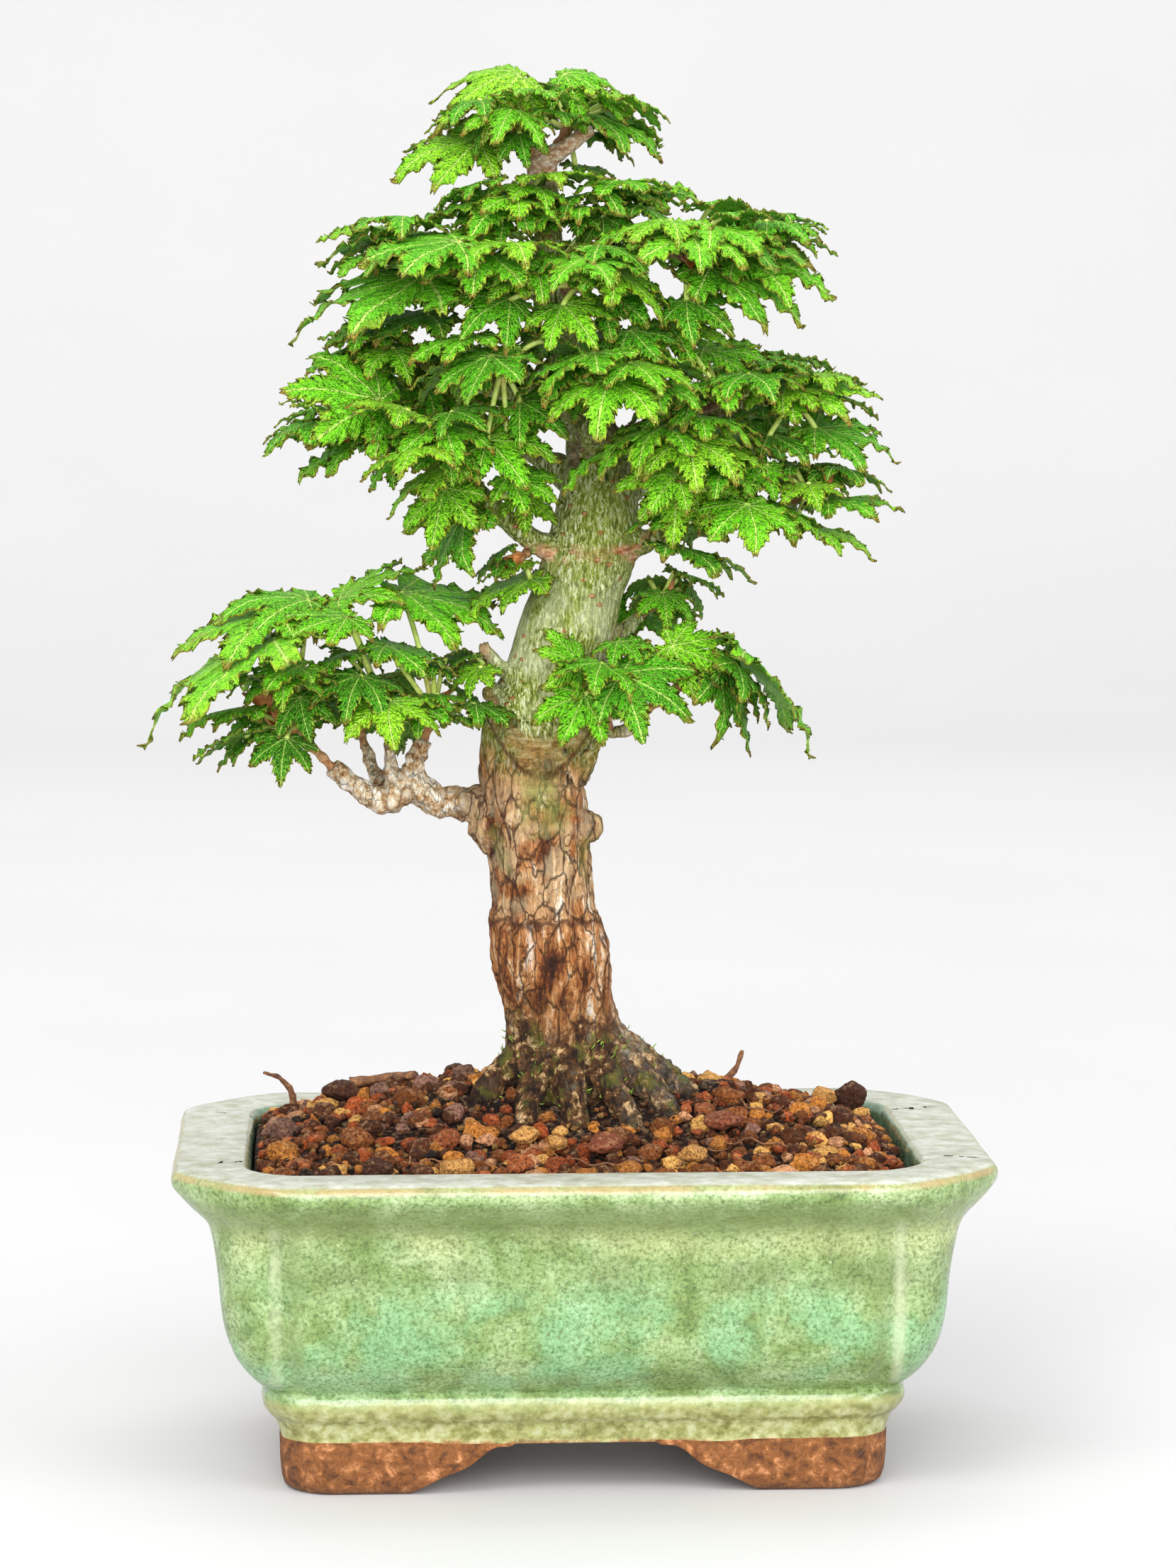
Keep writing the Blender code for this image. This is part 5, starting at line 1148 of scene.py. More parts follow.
def leaf_look():
    look = Look("maple_leaf")
    along, across, rim = look.read("vein")
    seed, tip, lower = look.read("tone")
    side = abs(across)
    wave = abs(((along - side * SIDE_VEIN_RAKE) / PLEAT_PITCH).fraction() - 0.5)
    branch = wave.step(0.445, 0.495) * rim.step(0.6, 1.0, 1.0, 0.2)
    vein = side.drop(0.006, 0.020) | branch * 0.5
    net = look.cells(1.5, "DISTANCE_TO_EDGE")
    fine = look.noise(0.9, 5.0, 0.65)
    # Low tone values give a darker green; the inner leaves carry lower values, as painted shade.
    green = (seed * 0.55 + look.noise(0.10, 3.0) * 0.45).ramp(
        (0.14, 24, 122, 0), (0.36, 74, 186, 0), (0.56, 112, 220, 4), (0.80, 164, 238, 36)
    )
    mottled = fine.ramp((0.34, 136, 176, 84), (0.54, 255, 255, 236))
    green = look.mix(0.8, green, mottled, "MULTIPLY")
    blush = rim.step(0.55, 1.0) * look.noise(0.22, 3.0).step(0.34, 0.62)
    edge = rim.step(0.90, 1.0) * look.noise(0.30, 3.0).step(0.34, 0.52)
    burnt = tip.step(0.86, 1.0) * look.noise(0.16, 2.0).step(0.36, 0.54)
    tawny = look.noise(0.13, 4.0, 0.6).step(0.58, 0.70) * tip.step(0.2, 0.7)
    green = look.paint(
        green,
        (blush * 0.62, 198, 214, 66),
        (vein * 0.78, 214, 248, 132),
        (net.drop(0.01, 0.10) * 0.5, 180, 226, 92),
        (edge * 0.85, 146, 84, 22),
        (burnt * 0.8, 150, 92, 44),
        (tawny * 0.4, 142, 122, 40),
        (lower.step(0.4, 0.6) * 0.45, 150, 190, 96),
    )
    green = look.mix(1.0, green, linear(244, 242, 236), "MULTIPLY")
    look.surface(green, fine.step(0.3, 0.7, 0.34, 0.52), 0.22)
    look.bump(
        ((1.0 - wave.step(0.12, 0.5)) * side.step(0.0, 0.05), 0.34),
        (1.0 - vein, 0.28),
        (net.step(0.0, 0.35), 0.3),
        (look.noise(0.5, 3.0), 0.6),
    )
    lit = look.mix(0.6, green, linear(172, 244, 16))
    glow = look.node("BsdfTranslucent", {"Color": lit}).outputs[0]
    blend = look.node("MixShader", {0: GLOW, 1: look.shader.outputs[0], 2: glow})
    look.put(look.output.inputs["Surface"], blend.outputs[0])
    return look.made


def stalk_look():
    look = Look("leaf_stalk")
    colour = look.noise(0.6, 3.0).ramp((0.3, 150, 178, 62), (0.7, 206, 218, 118))
    colour = look.paint(colour, (look.read("vein")[0].step(0.0, 0.35, 0.65, 0.0), 190, 140, 72))
    look.surface(colour, look.noise(1.0).step(0.3, 0.7, 0.4, 0.55))
    look.bump((look.noise(0.9, 3.0, 0.5, look.stretch(look.at, 1.0, 1.0, 0.3)), 0.12))
    return look.made


def twig_look():
    look = Look("young_twig")
    colour = look.noise(0.5, 6.0, 0.65).ramp(
        (0.30, 96, 58, 28), (0.46, 152, 104, 62), (0.60, 178, 142, 96), (0.75, 206, 184, 146)
    )
    rings = look.noise(1.2, 3.0, 0.5)
    ringed = rings.ramp((0.35, 150, 120, 96), (0.6, 255, 250, 240))
    look.surface(look.mix(0.5, colour, ringed, "MULTIPLY"), rings.step(0.3, 0.7, 0.6, 0.85))
    look.bump((rings, 0.3), (look.noise(2.5, 4.0), 0.15))
    return look.made


def scale_look():
    look = Look("bud_scale")
    colour = look.noise(0.35, 5.0, 0.6, look.stretch(look.at, 1.0, 1.0, 0.4)).ramp(
        (0.30, 122, 62, 22), (0.48, 172, 104, 52), (0.62, 206, 140, 84), (0.78, 232, 176, 122)
    )
    colour = look.paint(colour, (look.read("vein")[0].step(0.75, 1.0, 0.0, 0.7), 84, 40, 16))
    look.surface(colour, look.noise(0.8).step(0.3, 0.7, 0.32, 0.5))
    look.bump((look.noise(0.8, 4.0, 0.6, look.stretch(look.at, 1.0, 1.0, 0.25)), 0.25))
    return look.made


def dry_look():
    look = Look("dry_wood")
    fibre = look.noise(0.7, 7.0, 0.7, look.warped(look.at, 0.5, 1.5))
    colour = fibre.ramp(
        (0.3, 44, 24, 12), (0.48, 100, 62, 34), (0.62, 142, 98, 60), (0.8, 196, 156, 110)
    )
    look.surface(colour, fibre.step(0.3, 0.7, 0.72, 0.92))
    look.bump((fibre, 0.6))
    return look.made


def net_look():
    look = Look("screen_plastic")
    worn = look.noise(0.8, 5.0)
    look.surface(worn.ramp((0.35, 18, 18, 18), (0.7, 52, 48, 44)), worn.step(0.3, 0.7, 0.4, 0.7))
    look.bump((look.noise(2.0, 4.0), 0.06))
    return look.made


def moss_look():
    look = Look("moss")
    tuft = look.noise(0.5, 4.0)
    colour = tuft.ramp((0.3, 58, 84, 14), (0.55, 112, 142, 34), (0.75, 172, 186, 72))
    look.surface(colour, tuft.step(0.3, 0.7, 0.7, 0.95))
    look.bump((look.noise(3.0, 3.0), 0.2))
    return look.made


def floor_look():
    """A pale floor, a little paler far behind the pot."""
    look = Look("studio_floor")
    cloud = look.noise(0.004, 3.0)
    near = look.ramp(cloud, (0.3, (0.474, 0.472, 0.476, 1.0)), (0.7, (0.49, 0.488, 0.492, 1.0)))
    far = look.ramp(cloud, (0.3, (0.542, 0.542, 0.542, 1.0)), (0.7, (0.556, 0.556, 0.556, 1.0)))
    behind = look.split(look.at)[1].step(300.0, 1500.0)
    look.surface(look.mix(behind, near, far), cloud.step(0.3, 0.7, 0.5, 0.56), 0.2)
    return look.made


# ---------------------------------------------------------------- pot


def quadrant(half_x, half_y, straight, power, groove, stations, near, turns):
    """One quarter of the plan outline, from the middle of the front to the right side."""
    corner = half_x - straight
    side_straight = half_y - corner
    points = [(straight * t, -half_y) for t in stations]
    points += [(straight - d, -half_y) for d in near]
    for k in range(turns + 1):
        angle = math.pi / 2 * k / turns
        across = max(math.sin(angle), 0.0) ** (2 / power)
        along = max(math.cos(angle), 0.0) ** (2 / power)
        points.append((straight + corner * across, -side_straight - corner * along))
    points += [(half_x, -side_straight + d) for d in reversed(near)]
    points += [(half_x, -side_straight * (1 - t)) for t in stations[1:]]
    grooved = []
    for x, y in points:
        front = math.hypot(x - straight, y + half_y) / GROOVE_WIDTH
        side = math.hypot(x - half_x, y + side_straight) / GROOVE_WIDTH
        grooved.append(
            (x - groove * math.exp(-side * side), y + groove * math.exp(-front * front))
        )
    return grooved


FINE = ((0.0, 0.12, 0.25, 0.38, 0.5, 0.62, 0.73, 0.82, 0.88), (5.0, 3.9, 3.0, 2.2, 1.5, 0.8), 14)
COARSE = ((0.0, 0.6), (), 4)


def outline(half_x, half_y, straight, power, groove=0.0, detail=COARSE):
    quarter = quadrant(half_x, half_y, straight, power, groove, *detail)
    back = [(x, -y) for x, y in reversed(quarter)]
    half = quarter + back
    other = [(-x, y) for x, y in reversed(half)]
    return half + other[1:-1]


def build_pot(glaze, clay):
    rings = []
    for height, inset, straight, groove in smooth_rows(POT_PROFILE, 4):
        lift = min(max((height - 50.0) / 11.0, 0.0), 1.0)
        power = BODY_CORNER_POWER + (RIM_CORNER_POWER - BODY_CORNER_POWER) * lift
        half_x, half_y = RIM_HALF_LENGTH - inset, RIM_HALF_DEPTH - inset
        rings.append(level_ring(half_x, half_y, straight, power, height, max(groove, 0.0)))
    for height, inset in smooth_rows(CAVITY_PROFILE, 4):
        half_x = OPENING_HALF_LENGTH - inset
        corner = OPENING_CORNER + max(-inset, 0.0) * 0.6
        half_y = OPENING_HALF_DEPTH - inset
        rings.append(level_ring(half_x, half_y, half_x - corner, BODY_CORNER_POWER, height))
    points, faces = loft(rings)
    uneven = []
    for p in points:
        place_in = Vector(p)
        swell = noise.noise(place_in * 0.045) * 0.5 + noise.noise(place_in * 0.16) * 0.14
        out = Vector((p[0] / RIM_HALF_LENGTH, p[1] / RIM_HALF_DEPTH, 0.0))
        rise = Vector((0, 0, swell * 0.35 if p[2] > 20 else 0.0))
        uneven.append(place_in + out * swell * 0.7 + rise)
    body = place("body", mesh_from("body", in_metres(uneven), faces))
    holes = []
    for side in (-1, 1):
        ring_low, ring_high = [], []
        for k in range(HOLE_SIDES):
            angle = FULL_TURN * k / HOLE_SIDES
            x = side * HOLE_OFFSET + HOLE_RADIUS * math.cos(angle)
            at = (x, HOLE_RADIUS * math.sin(angle))
            ring_low.append((*at, 5.0))
            ring_high.append((*at, 30.0))
        hole_points, hole_faces = loft([ring_low, ring_high])
        holes.append(place("hole", mesh_from("hole", in_metres(hole_points), hole_faces)))
    mesh = combined(body, holes, "DIFFERENCE", "pot_body")
    chip_rim(mesh)
    mesh.materials.clear()
    mesh.materials.append(glaze)
    mesh.shade_smooth()
    keep_edges(piece("pot_glazed", mesh, "pot"), 38.0)
    build_feet(clay)


def chip_rim(mesh):
    """A small old chip in the front of the rim, right of the middle."""
    at = (CHIP_AT + POT_SHIFT) * MM
    for vertex in mesh.vertices:
        away = (vertex.co - at).length / MM
        if away < CHIP_RADIUS:
            vertex.co.z -= CHIP_DEPTH * MM * (1.0 - away / CHIP_RADIUS)


def keep_edges(ob, angle):
    """Smooth shading except across edges sharper than an angle in degrees."""
    mesh = ob.data
    shape = bmesh.new()
    shape.from_mesh(mesh)
    limit = math.radians(angle)
    for edge in shape.edges:
        if len(edge.link_faces) == 2 and edge.calc_face_angle(0.0) > limit:
            edge.smooth = False
    shape.to_mesh(mesh)
    shape.free()


def build_feet(clay):
    """The foot ring with its arches, bare fired clay."""
    outer, inner = [], []
    for height, inset in FOOT_PROFILE:
        half_x = RIM_HALF_LENGTH - inset
        half_y = RIM_HALF_DEPTH - inset
        outer.append(level_ring(half_x, half_y, half_x - 9.0, BODY_CORNER_POWER, height))
        half_x -= FOOT_THICKNESS
        half_y -= FOOT_THICKNESS
        inner.append(level_ring(half_x, half_y, half_x - 6.0, BODY_CORNER_POWER, height))
    rings = outer + list(reversed(inner))
    count = len(rings[0])
    points, faces = loft(rings, False, False)
    last = (len(rings) - 1) * count
    for i in range(count):
        j = (i + 1) % count
        faces.append((last + i, last + j, j, i))
    ring = place("foot_ring", mesh_from("foot_ring", in_metres(points), faces))
    cutters = []
    for name, along_x, scale in (("arch_long", False, 1.0), ("arch_short", True, SIDE_ARCH_SCALE)):
        side = smooth_rows([(d * scale, h) for d, h in FOOT_ARCH], 3)
        section = [(d, h) for d, h in side] + [(-d, h) for d, h in reversed(side)]
        reach = RIM_HALF_LENGTH + 10.0
        rings = []
        for end in (-reach, reach):
            if along_x:
                rings.append([(end, d, h) for d, h in section])
            else:
                rings.append([(-d, end, h) for d, h in section])
        points, faces = loft(rings)
        cutters.append(place(name, mesh_from(name, in_metres(points), faces)))
    mesh = combined(ring, cutters, "DIFFERENCE", "feet")
    base = place("feet_cut", mesh)
    round_off = base.modifiers.new("Bevel", "BEVEL")
    round_off.width = 0.7 * MM
    round_off.segments = 2
    round_off.limit_method = "ANGLE"
    round_off.angle_limit = math.radians(35)
    round_off.use_clamp_overlap = True
    mesh = evaluated(base)
    bpy.data.objects.remove(base, do_unlink=True)
    mesh.materials.clear()
    mesh.materials.append(clay)
    mesh.shade_smooth()
    keep_edges(piece("pot_feet", mesh, None), 50.0)


# ---------------------------------------------------------------- soil


def soil_height(x, y):
    """Height of the soil: level at the wall, mounded round the trunk, a little uneven."""
    along = max(1.0 - ((x + MOUND_SHIFT) / MOUND_HALF_LENGTH) ** 2, 0.0) ** MOUND_POWER
    across = max(1.0 - (y / MOUND_HALF_DEPTH) ** 2, 0.0) ** MOUND_POWER
    if y < 0.0:
        across = math.exp(-((y / MOUND_FRONT) ** 2))
    mound = SOIL_MOUND * along * across
    bumps = 0.7 * noise.noise(Vector((x, y, 5.0)) * 0.16)
    return SOIL_EDGE + mound + bumps


# Colours of the grains with how common each is
GRAIN_COLOURS = (
    (linear(86, 44, 14), 0.20),
    (linear(134, 76, 30), 0.22),
    (linear(166, 80, 34), 0.16),
    (linear(200, 130, 54), 0.17),
    (linear(246, 190, 106), 0.09),
    (linear(214, 158, 118), 0.05),
    (linear(142, 104, 92), 0.05),
    (linear(176, 98, 54), 0.06),
    (linear(28, 12, 6), 0.04),
)


def rock_shape(seed, level):
    """A broken grain about 1 across: a ball cut by planes, then roughened."""
    rng = random.Random(seed)
    shape = bmesh.new()
    bmesh.ops.create_icosphere(shape, subdivisions=level, radius=1.0)
    planes = []
    for _ in range(11):
        normal = Vector((rng.gauss(0, 1), rng.gauss(0, 1), rng.gauss(0, 1))).normalized()
        planes.append((normal, rng.uniform(0.60, 0.92)))
    stretch = Vector((rng.uniform(0.8, 1.25), rng.uniform(0.75, 1.1), rng.uniform(0.6, 0.95)))
    shift = Vector((seed * 3.7, seed * 1.3, 0.0))
    points = []
    for vertex in shape.verts:
        unit = vertex.co.normalized()
        reach = 1.0
        for normal, depth in planes:
            facing = unit.dot(normal)
            if facing > 0.05:
                reach = min(reach, depth / facing)
        coarse = 0.14 * noise.noise(unit * 2.2 + shift)
        reach *= 1.0 + coarse + 0.09 * noise.noise(unit * 6.0 + shift)
        points.append([unit[i] * reach * stretch[i] for i in range(3)])
    shape.verts.index_update()
    faces = [tuple(v.index for v in face.verts) for face in shape.faces]
    shape.free()
    return np.array(points), faces


def pick_colour(rng):
    chance = rng.random() * sum(share for _, share in GRAIN_COLOURS)
    for colour, share in GRAIN_COLOURS:
        chance -= share
        if chance <= 0.0:
            return colour
    return GRAIN_COLOURS[0][0]


def add_rock(skin, rng, library, centre, size, colour, slot=1):
    points, faces = library[rng.randrange(len(library))]
    spin = Matrix.Rotation(rng.uniform(0, SPIN), 3, "Z")
    spin = spin @ Matrix.Rotation(rng.uniform(-0.6, 0.6), 3, "X")
    placed = points @ np.array(spin).T * size + np.array(centre)
    vary = rng.uniform(0.75, 1.3)
    rows = row_of(np.array(colour[:3]) * vary, len(points))
    skin.add(placed, faces, slot, rows, row_of([vary, rng.random(), size], len(points)))


# Layers of grains: level of detail, seeds, pitch, sizes, how deep they sink, brightness; the low brightness
# of the fine grains is painted shade in the gaps between the larger ones
GRAIN_LAYERS = (
    (1, range(1, 13), 2.1, (0.55, 1.05), 0.25, 0.36),
    (2, range(21, 31), 3.3, (1.35, 2.2), 0.2, 1.0),
    (3, range(41, 51), 6.2, (2.3, 3.6), 0.2, 1.0),
)
BED_PROFILE = ((SOIL_BOTTOM, 12.6), (23.0, 7.2), (32.0, 3.2), (46.0, 1.6))
BED_RINGS = 24
BED_DEPTH = 1.2
GRAIN_JITTER = 0.42
WALL_MARGIN = 0.6
CORNER_MARGIN = 6.5


def build_soil(bed, grains, trunk):
    rng = random.Random(7)
    skin = Skin()
    skin.add(*soil_bed())
    for level, seeds, pitch, sizes, sink, light in GRAIN_LAYERS:
        library = [rock_shape(seed, level) for seed in seeds]
        columns = int(2 * OPENING_HALF_LENGTH / pitch)
        rows = int(2 * OPENING_HALF_DEPTH / pitch)
        for i, j in itertools.product(range(columns + 1), range(rows + 1)):
            x = -OPENING_HALF_LENGTH + (i + 0.5 * (j % 2)) * pitch
            x += rng.uniform(-GRAIN_JITTER, GRAIN_JITTER) * pitch
            y = -OPENING_HALF_DEPTH + j * pitch
            y += rng.uniform(-GRAIN_JITTER, GRAIN_JITTER) * pitch
            size = rng.uniform(*sizes)
            if outside_opening(abs(x), abs(y), size):
                continue
            z = soil_height(x, y) - sink * size + rng.uniform(-0.35, 0.35) * size
            at = Vector((x, y, z))
            near, normal, _, distance = trunk.find_nearest(at)
            if distance < size * 0.75 or (at - near).dot(normal) < 0.0:
                continue
            # The fine grains are painted darker: painted shade in the gaps.
            colour = [part * light for part in pick_colour(rng)]
            add_rock(skin, rng, library, (x, y, z), size, colour)
    return skin.build("soil_grains", [bed, grains], "soil", smooth=False)


def outside_opening(x, y, size):
    if x > OPENING_HALF_LENGTH - WALL_MARGIN - size or y > OPENING_HALF_DEPTH - WALL_MARGIN - size:
        return True
    return x + y > OPENING_HALF_LENGTH + OPENING_HALF_DEPTH - CORNER_MARGIN - size


def soil_bed():
    """The dark mass under the grains: points, faces, slot and colour."""
    rings = []
    for height, inset in (*BED_PROFILE, (0.0, 0.4)):
        half_x = OPENING_HALF_LENGTH - inset - SOIL_GAP
        half_y = OPENING_HALF_DEPTH - inset - SOIL_GAP
        rings.append(level_ring(half_x, half_y, half_x - OPENING_CORNER, BODY_CORNER_POWER, height))
    edge = rings.pop()
    for step in range(BED_RINGS):
        share = 1.0 - 0.97 * step / (BED_RINGS - 1)
        ring = []
        for x, y, _ in edge:
            rough = 0.8 * noise.noise(Vector((x * share * 0.5, y * share * 0.5, 3.0)))
            height = soil_height(x * share, y * share) - BED_DEPTH + rough
            ring.append((x * share, y * share, height))
        rings.append(ring)
    points, faces = loft(rings)
    return points, faces, 0, row_of(linear(34, 12, 4)[:3], len(points))


STONE_COLOURS = {
    "lava_brown": linear(84, 50, 34),
    "lava_red": linear(150, 84, 58),
    "pumice_tan": linear(226, 170, 98),
}


def build_stone(name, x, y, size, squash, slot, seed, look):
    """A larger grain resting on the soil."""
    rng = random.Random(seed)
    points, faces = rock_shape(seed + 80, 4)
    centre = np.array((x, y, soil_height(x, y) + size * squash * 0.8 + 0.4))
    spin = Matrix.Rotation(rng.uniform(0, SPIN), 3, "Z")
    placed = points @ np.array(spin).T * np.array((size, size, size * squash * 1.1)) + centre
    skin = Skin()
    rows = row_of(STONE_COLOURS[slot][:3], len(points))
    skin.add(placed, faces, 0, rows, row_of([1.0, rng.random(), size], len(points)))
    return skin.build("grain_" + name, [look], name)


def build_litter(name, radius, stations, look):
    rows = []
    for i, (x, y, up) in enumerate(stations):
        rows.append((x, y, soil_height(x, y) + up, radius * (1.0 - 0.2 * i)))
    path, radii = smooth_path(rows, 6)
    flat = 0.55 if name == "bark_chip" else 1.0
    for i in range(len(radii)):
        bump = noise.noise(path[i] * 0.7)
        radii[i] = max(radii[i] * (1.0 + 0.45 * bump), 0.25)
        if flat < 1.0:
            radii[i] *= 1.4
    points, faces = loft(tube_rings(path, radii, 12))
    moved = []
    for p in points:
        rough = noise.noise(Vector(p) * 0.9) * radius * 0.3
        moved.append(Vector((p[0] + rough, p[1], p[2] + rough * 0.5)))
    if flat < 1.0:
        low = sum(q[2] for q in path) / len(path)
        moved = [Vector((p[0], p[1], low + (p[2] - low) * flat)) for p in moved]
    skin = Skin()
    skin.add(moved, faces)
    return skin.build("litter_" + name, [look], name)


# ---------------------------------------------------------------- wood


def limb_tubes(limbs, steps, sides):
    points, faces = [], []
    for limb in limbs:
        path, radii = smooth_path(limb, steps)
        more_points, more_faces = loft(tube_rings(path, radii, sides))
        first = len(points)
        points += more_points
        faces += [tuple(first + i for i in face) for face in more_faces]
    return points, faces


def fused(points, faces, cell):
    tubes = place("tubes", mesh_from("tubes", in_metres(points), faces))
    fuse = tubes.modifiers.new("Remesh", "REMESH")
    fuse.mode = "VOXEL"
    fuse.voxel_size = cell * MM
    mesh = evaluated(tubes)
    bpy.data.objects.remove(tubes, do_unlink=True)
    return mesh


def coarse_wood():
    """The same wood with few faces, which the leaves keep clear of."""
    mesh = fused(*limb_tubes(LIMBS, 5, 14), WOOD_CELL)
    skin = place("skin", mesh)
    triangles = sum(len(p.vertices) - 2 for p in mesh.polygons)
    thin = skin.modifiers.new("Decimate", "DECIMATE")
    thin.ratio = WOOD_TRIANGLES / triangles
    out = evaluated(skin)
    bpy.data.objects.remove(skin, do_unlink=True)
    return out


def smooth_step(value, low, high):
    share = min(max((value - low) / (high - low), 0.0), 1.0)
    return share * share * (3.0 - 2.0 * share)


# The ring of the graft hangs in a curve, and the old bark has a ragged shelf below it
COLLAR_CENTRE = -4.0
COLLAR_SAG = 0.10
SHELF_TOP = 108.4


def between(value, low, full, fade, high):
    return smooth_step(value, low, full) * (1.0 - smooth_step(value, fade, high))


def bark_noise(x, y, z, across, along=0.0, shift=0.0):
    return noise.noise(Vector((x * across, y * across, z * along + shift)))


def bark_relief(p):
    """How far the bark stands out at a point, mm."""
    x, y, z = p
    level = z + bark_noise(x, y, z, 0.12, 0.05) * 5.0
    old = 1.0 - smooth_step(level, 134.0, 148.0)
    trunk = 1.0 - smooth_step(abs(x - TRUNK_MIDDLE), *TRUNK_SIDE)
    ridge = 0.5 - abs(bark_noise(x, y, z, 0.42, 0.11)) * 1.6
    fine = bark_noise(x, y, z, 1.1, 0.5)
    block = bark_noise(x, y, z, 0.5, 0.3, 7.0)
    out = old * (0.55 * ridge + 0.28 * fine + 0.45 * abs(block))
    root = 1.0 - smooth_step(z, 84.0, 94.0)
    out += root * 0.35 * bark_noise(x, y, z, 0.5, 0.35)
    out += (1.0 - old) * trunk * (0.16 * bark_noise(x, y, z, 0.9, 0.10))
    side = x - COLLAR_CENTRE
    sag = z - COLLAR_SAG * side * side
    collar = between(sag, 137.5, 139.5, 143.0, 146.0) * trunk
    out += collar * (0.45 + 0.9 * bark_noise(x, y, sag, 0.28, 0.75))
    out -= 0.5 * between(sag, 134.5, 136.5, 137.0, 138.5) * trunk
    ragged = z + 4.5 * bark_noise(x, y, z, 0.22, 0.0, 2.0)
    shelf = (1.0 - smooth_step(ragged, SHELF_TOP - 0.8, SHELF_TOP)) * smooth_step(z, 91.0, 103.0)
    out += 0.75 * shelf * trunk
    scar = between(z, 179.5, 181.5, 184.0, 186.0) * trunk
    out += scar * (0.15 + 0.4 * bark_noise(x, y, z, 0.5, 1.4))
    wave = z * 1.3 + x * 1.7 + 4.0 * noise.noise(Vector((x, y, z)) * 0.3)
    out += (1.0 - trunk) * 0.22 * math.sin(wave)
    hollow = between(level, 196.0, 200.0, 206.0, 210.0) * trunk
    return out + hollow * 0.7 * bark_noise(x, y, z, 0.5, 0.4)


def build_wood(bark):
    mesh = fused(*limb_tubes(LIMBS, 10, 28), FINE_WOOD_CELL)
    smoothing = bmesh.new()
    smoothing.from_mesh(mesh)
    axes = {"use_axis_x": True, "use_axis_y": True, "use_axis_z": True}
    for _ in range(2):
        bmesh.ops.smooth_vert(smoothing, verts=smoothing.verts, factor=0.5, **axes)
    smoothing.normal_update()
    for vertex in smoothing.verts:
        at = vertex.co * TO_MM - POT_SHIFT
        vertex.co += vertex.normal * bark_relief(at) * MM
    smoothing.to_mesh(mesh)
    smoothing.free()
    mesh.materials.clear()
    mesh.materials.append(bark)
    mesh.shade_smooth()
    mesh.update()
    piece("wood", mesh, "tree_wood")
    return search_tree(mesh.vertices, mesh.polygons)


def search_tree(vertices, polygons):
    points = [v.co * TO_MM - POT_SHIFT for v in vertices]
    return BVHTree.FromPolygons(points, [tuple(p.vertices) for p in polygons])


# ---------------------------------------------------------------- where the leaves go


def swollen(mesh, amount):
    """A copy of a mesh with its skin moved outwards by an amount in mm."""
    copy = mesh.copy()
    moved = [v.co + v.normal * amount * MM for v in copy.vertices]
    for vertex, point in zip(copy.vertices, moved):
        vertex.co = point
    copy.update()
    return copy


def blade(radius, cup, top, bottom):
    """A palmate blade about its stalk's end: +X along the middle lobe, +Z the upper face."""
    rim = []
    count = len(LOBES)
    for k in range(-(count - 1), count):
        angle, length = LOBES[abs(k)]
        angle = math.radians(math.copysign(angle, k))
        rim.append((angle, radius * length))
    full = []
    for k, (angle, reach) in enumerate(rim):
        full.append((angle, reach))
        if k < len(rim) - 1:
            nearer = min(reach, rim[k + 1][1])
            full.append(((angle + rim[k + 1][0]) / 2, nearer * SINUS_DEPTH))
    full.append((math.pi, radius * 0.12))
    points = [(0.0, 0.0, top), (0.0, 0.0, bottom)]
    for angle, reach in full:
        share = reach / radius
        points.append(
            (reach * math.cos(angle), reach * math.sin(angle), -cup * radius * share * share)
        )
    faces = []
    size = len(full)
    for i in range(size):
        j = (i + 1) % size
        faces.append((0, 2 + i, 2 + j))
        faces.append((1, 2 + j, 2 + i))
    return points, faces


def leaf_matrix(junction, heading, droop, roll):
    out = Vector((math.cos(heading), math.sin(heading), 0.0))
    up = Vector((0.0, 0.0, 1.0))
    middle = out * math.cos(droop) - up * math.sin(droop)
    face = out * math.sin(droop) + up * math.cos(droop)
    side = face.cross(middle)
    turned = Matrix.Rotation(roll, 3, middle)
    face, side = turned @ face, turned @ side
    rows = Matrix((middle, side, face)).transposed().to_4x4()
    return Matrix.Translation(junction) @ rows


def aimed_leaf(junction, tip, lean, cup):
    """The frame and radius of a blade whose middle lobe ends at a given point."""
    chord = tip - junction
    ahead = chord.normalized()
    lean = math.radians(lean)
    sky = Vector((0.0, -math.sin(lean), math.cos(lean)))
    face = (sky - ahead * ahead.dot(sky)).normalized()
    bend = math.atan(cup)
    middle = ahead * math.cos(bend) + face * math.sin(bend)
    face = face * math.cos(bend) - ahead * math.sin(bend)
    side = face.cross(middle)
    rows = Matrix((middle, side, face)).transposed().to_4x4()
    return Matrix.Translation(junction) @ rows, chord.length * math.cos(bend)


def tree_of(points, faces):
    return BVHTree.FromPolygons([Vector(p) for p in points], faces)


def twig_shape(foot, tip, radius, swell=1.0):
    """A twig with its end bud."""
    ahead = (tip - foot).normalized()
    path = [foot, tip - ahead * 1.6, tip - ahead * 0.7, tip + ahead * 0.7, tip + ahead * 1.4]
    radii = [radius, radius, radius + 0.5 * swell, radius + 0.45 * swell, radius * 0.5]
    return loft(tube_rings(path, radii, 5))


def clear_foot(foot, tip, wood):
    """The foot moved along the twig until the twig is clear of the wood."""
    for step in range(60):
        share = step / 60.0 * 0.8
        start = foot.lerp(tip, share)
        if not tree_of(*twig_shape(start, tip, TWIG_RADIUS + 0.35)).overlap(wood):
            return start
    return foot.lerp(tip, 0.8)


def stalk_shape(tip, junction, face, radius):
    under = junction - face * 0.1
    return loft(tube_rings([tip, under], [radius, radius * 0.8], 3))


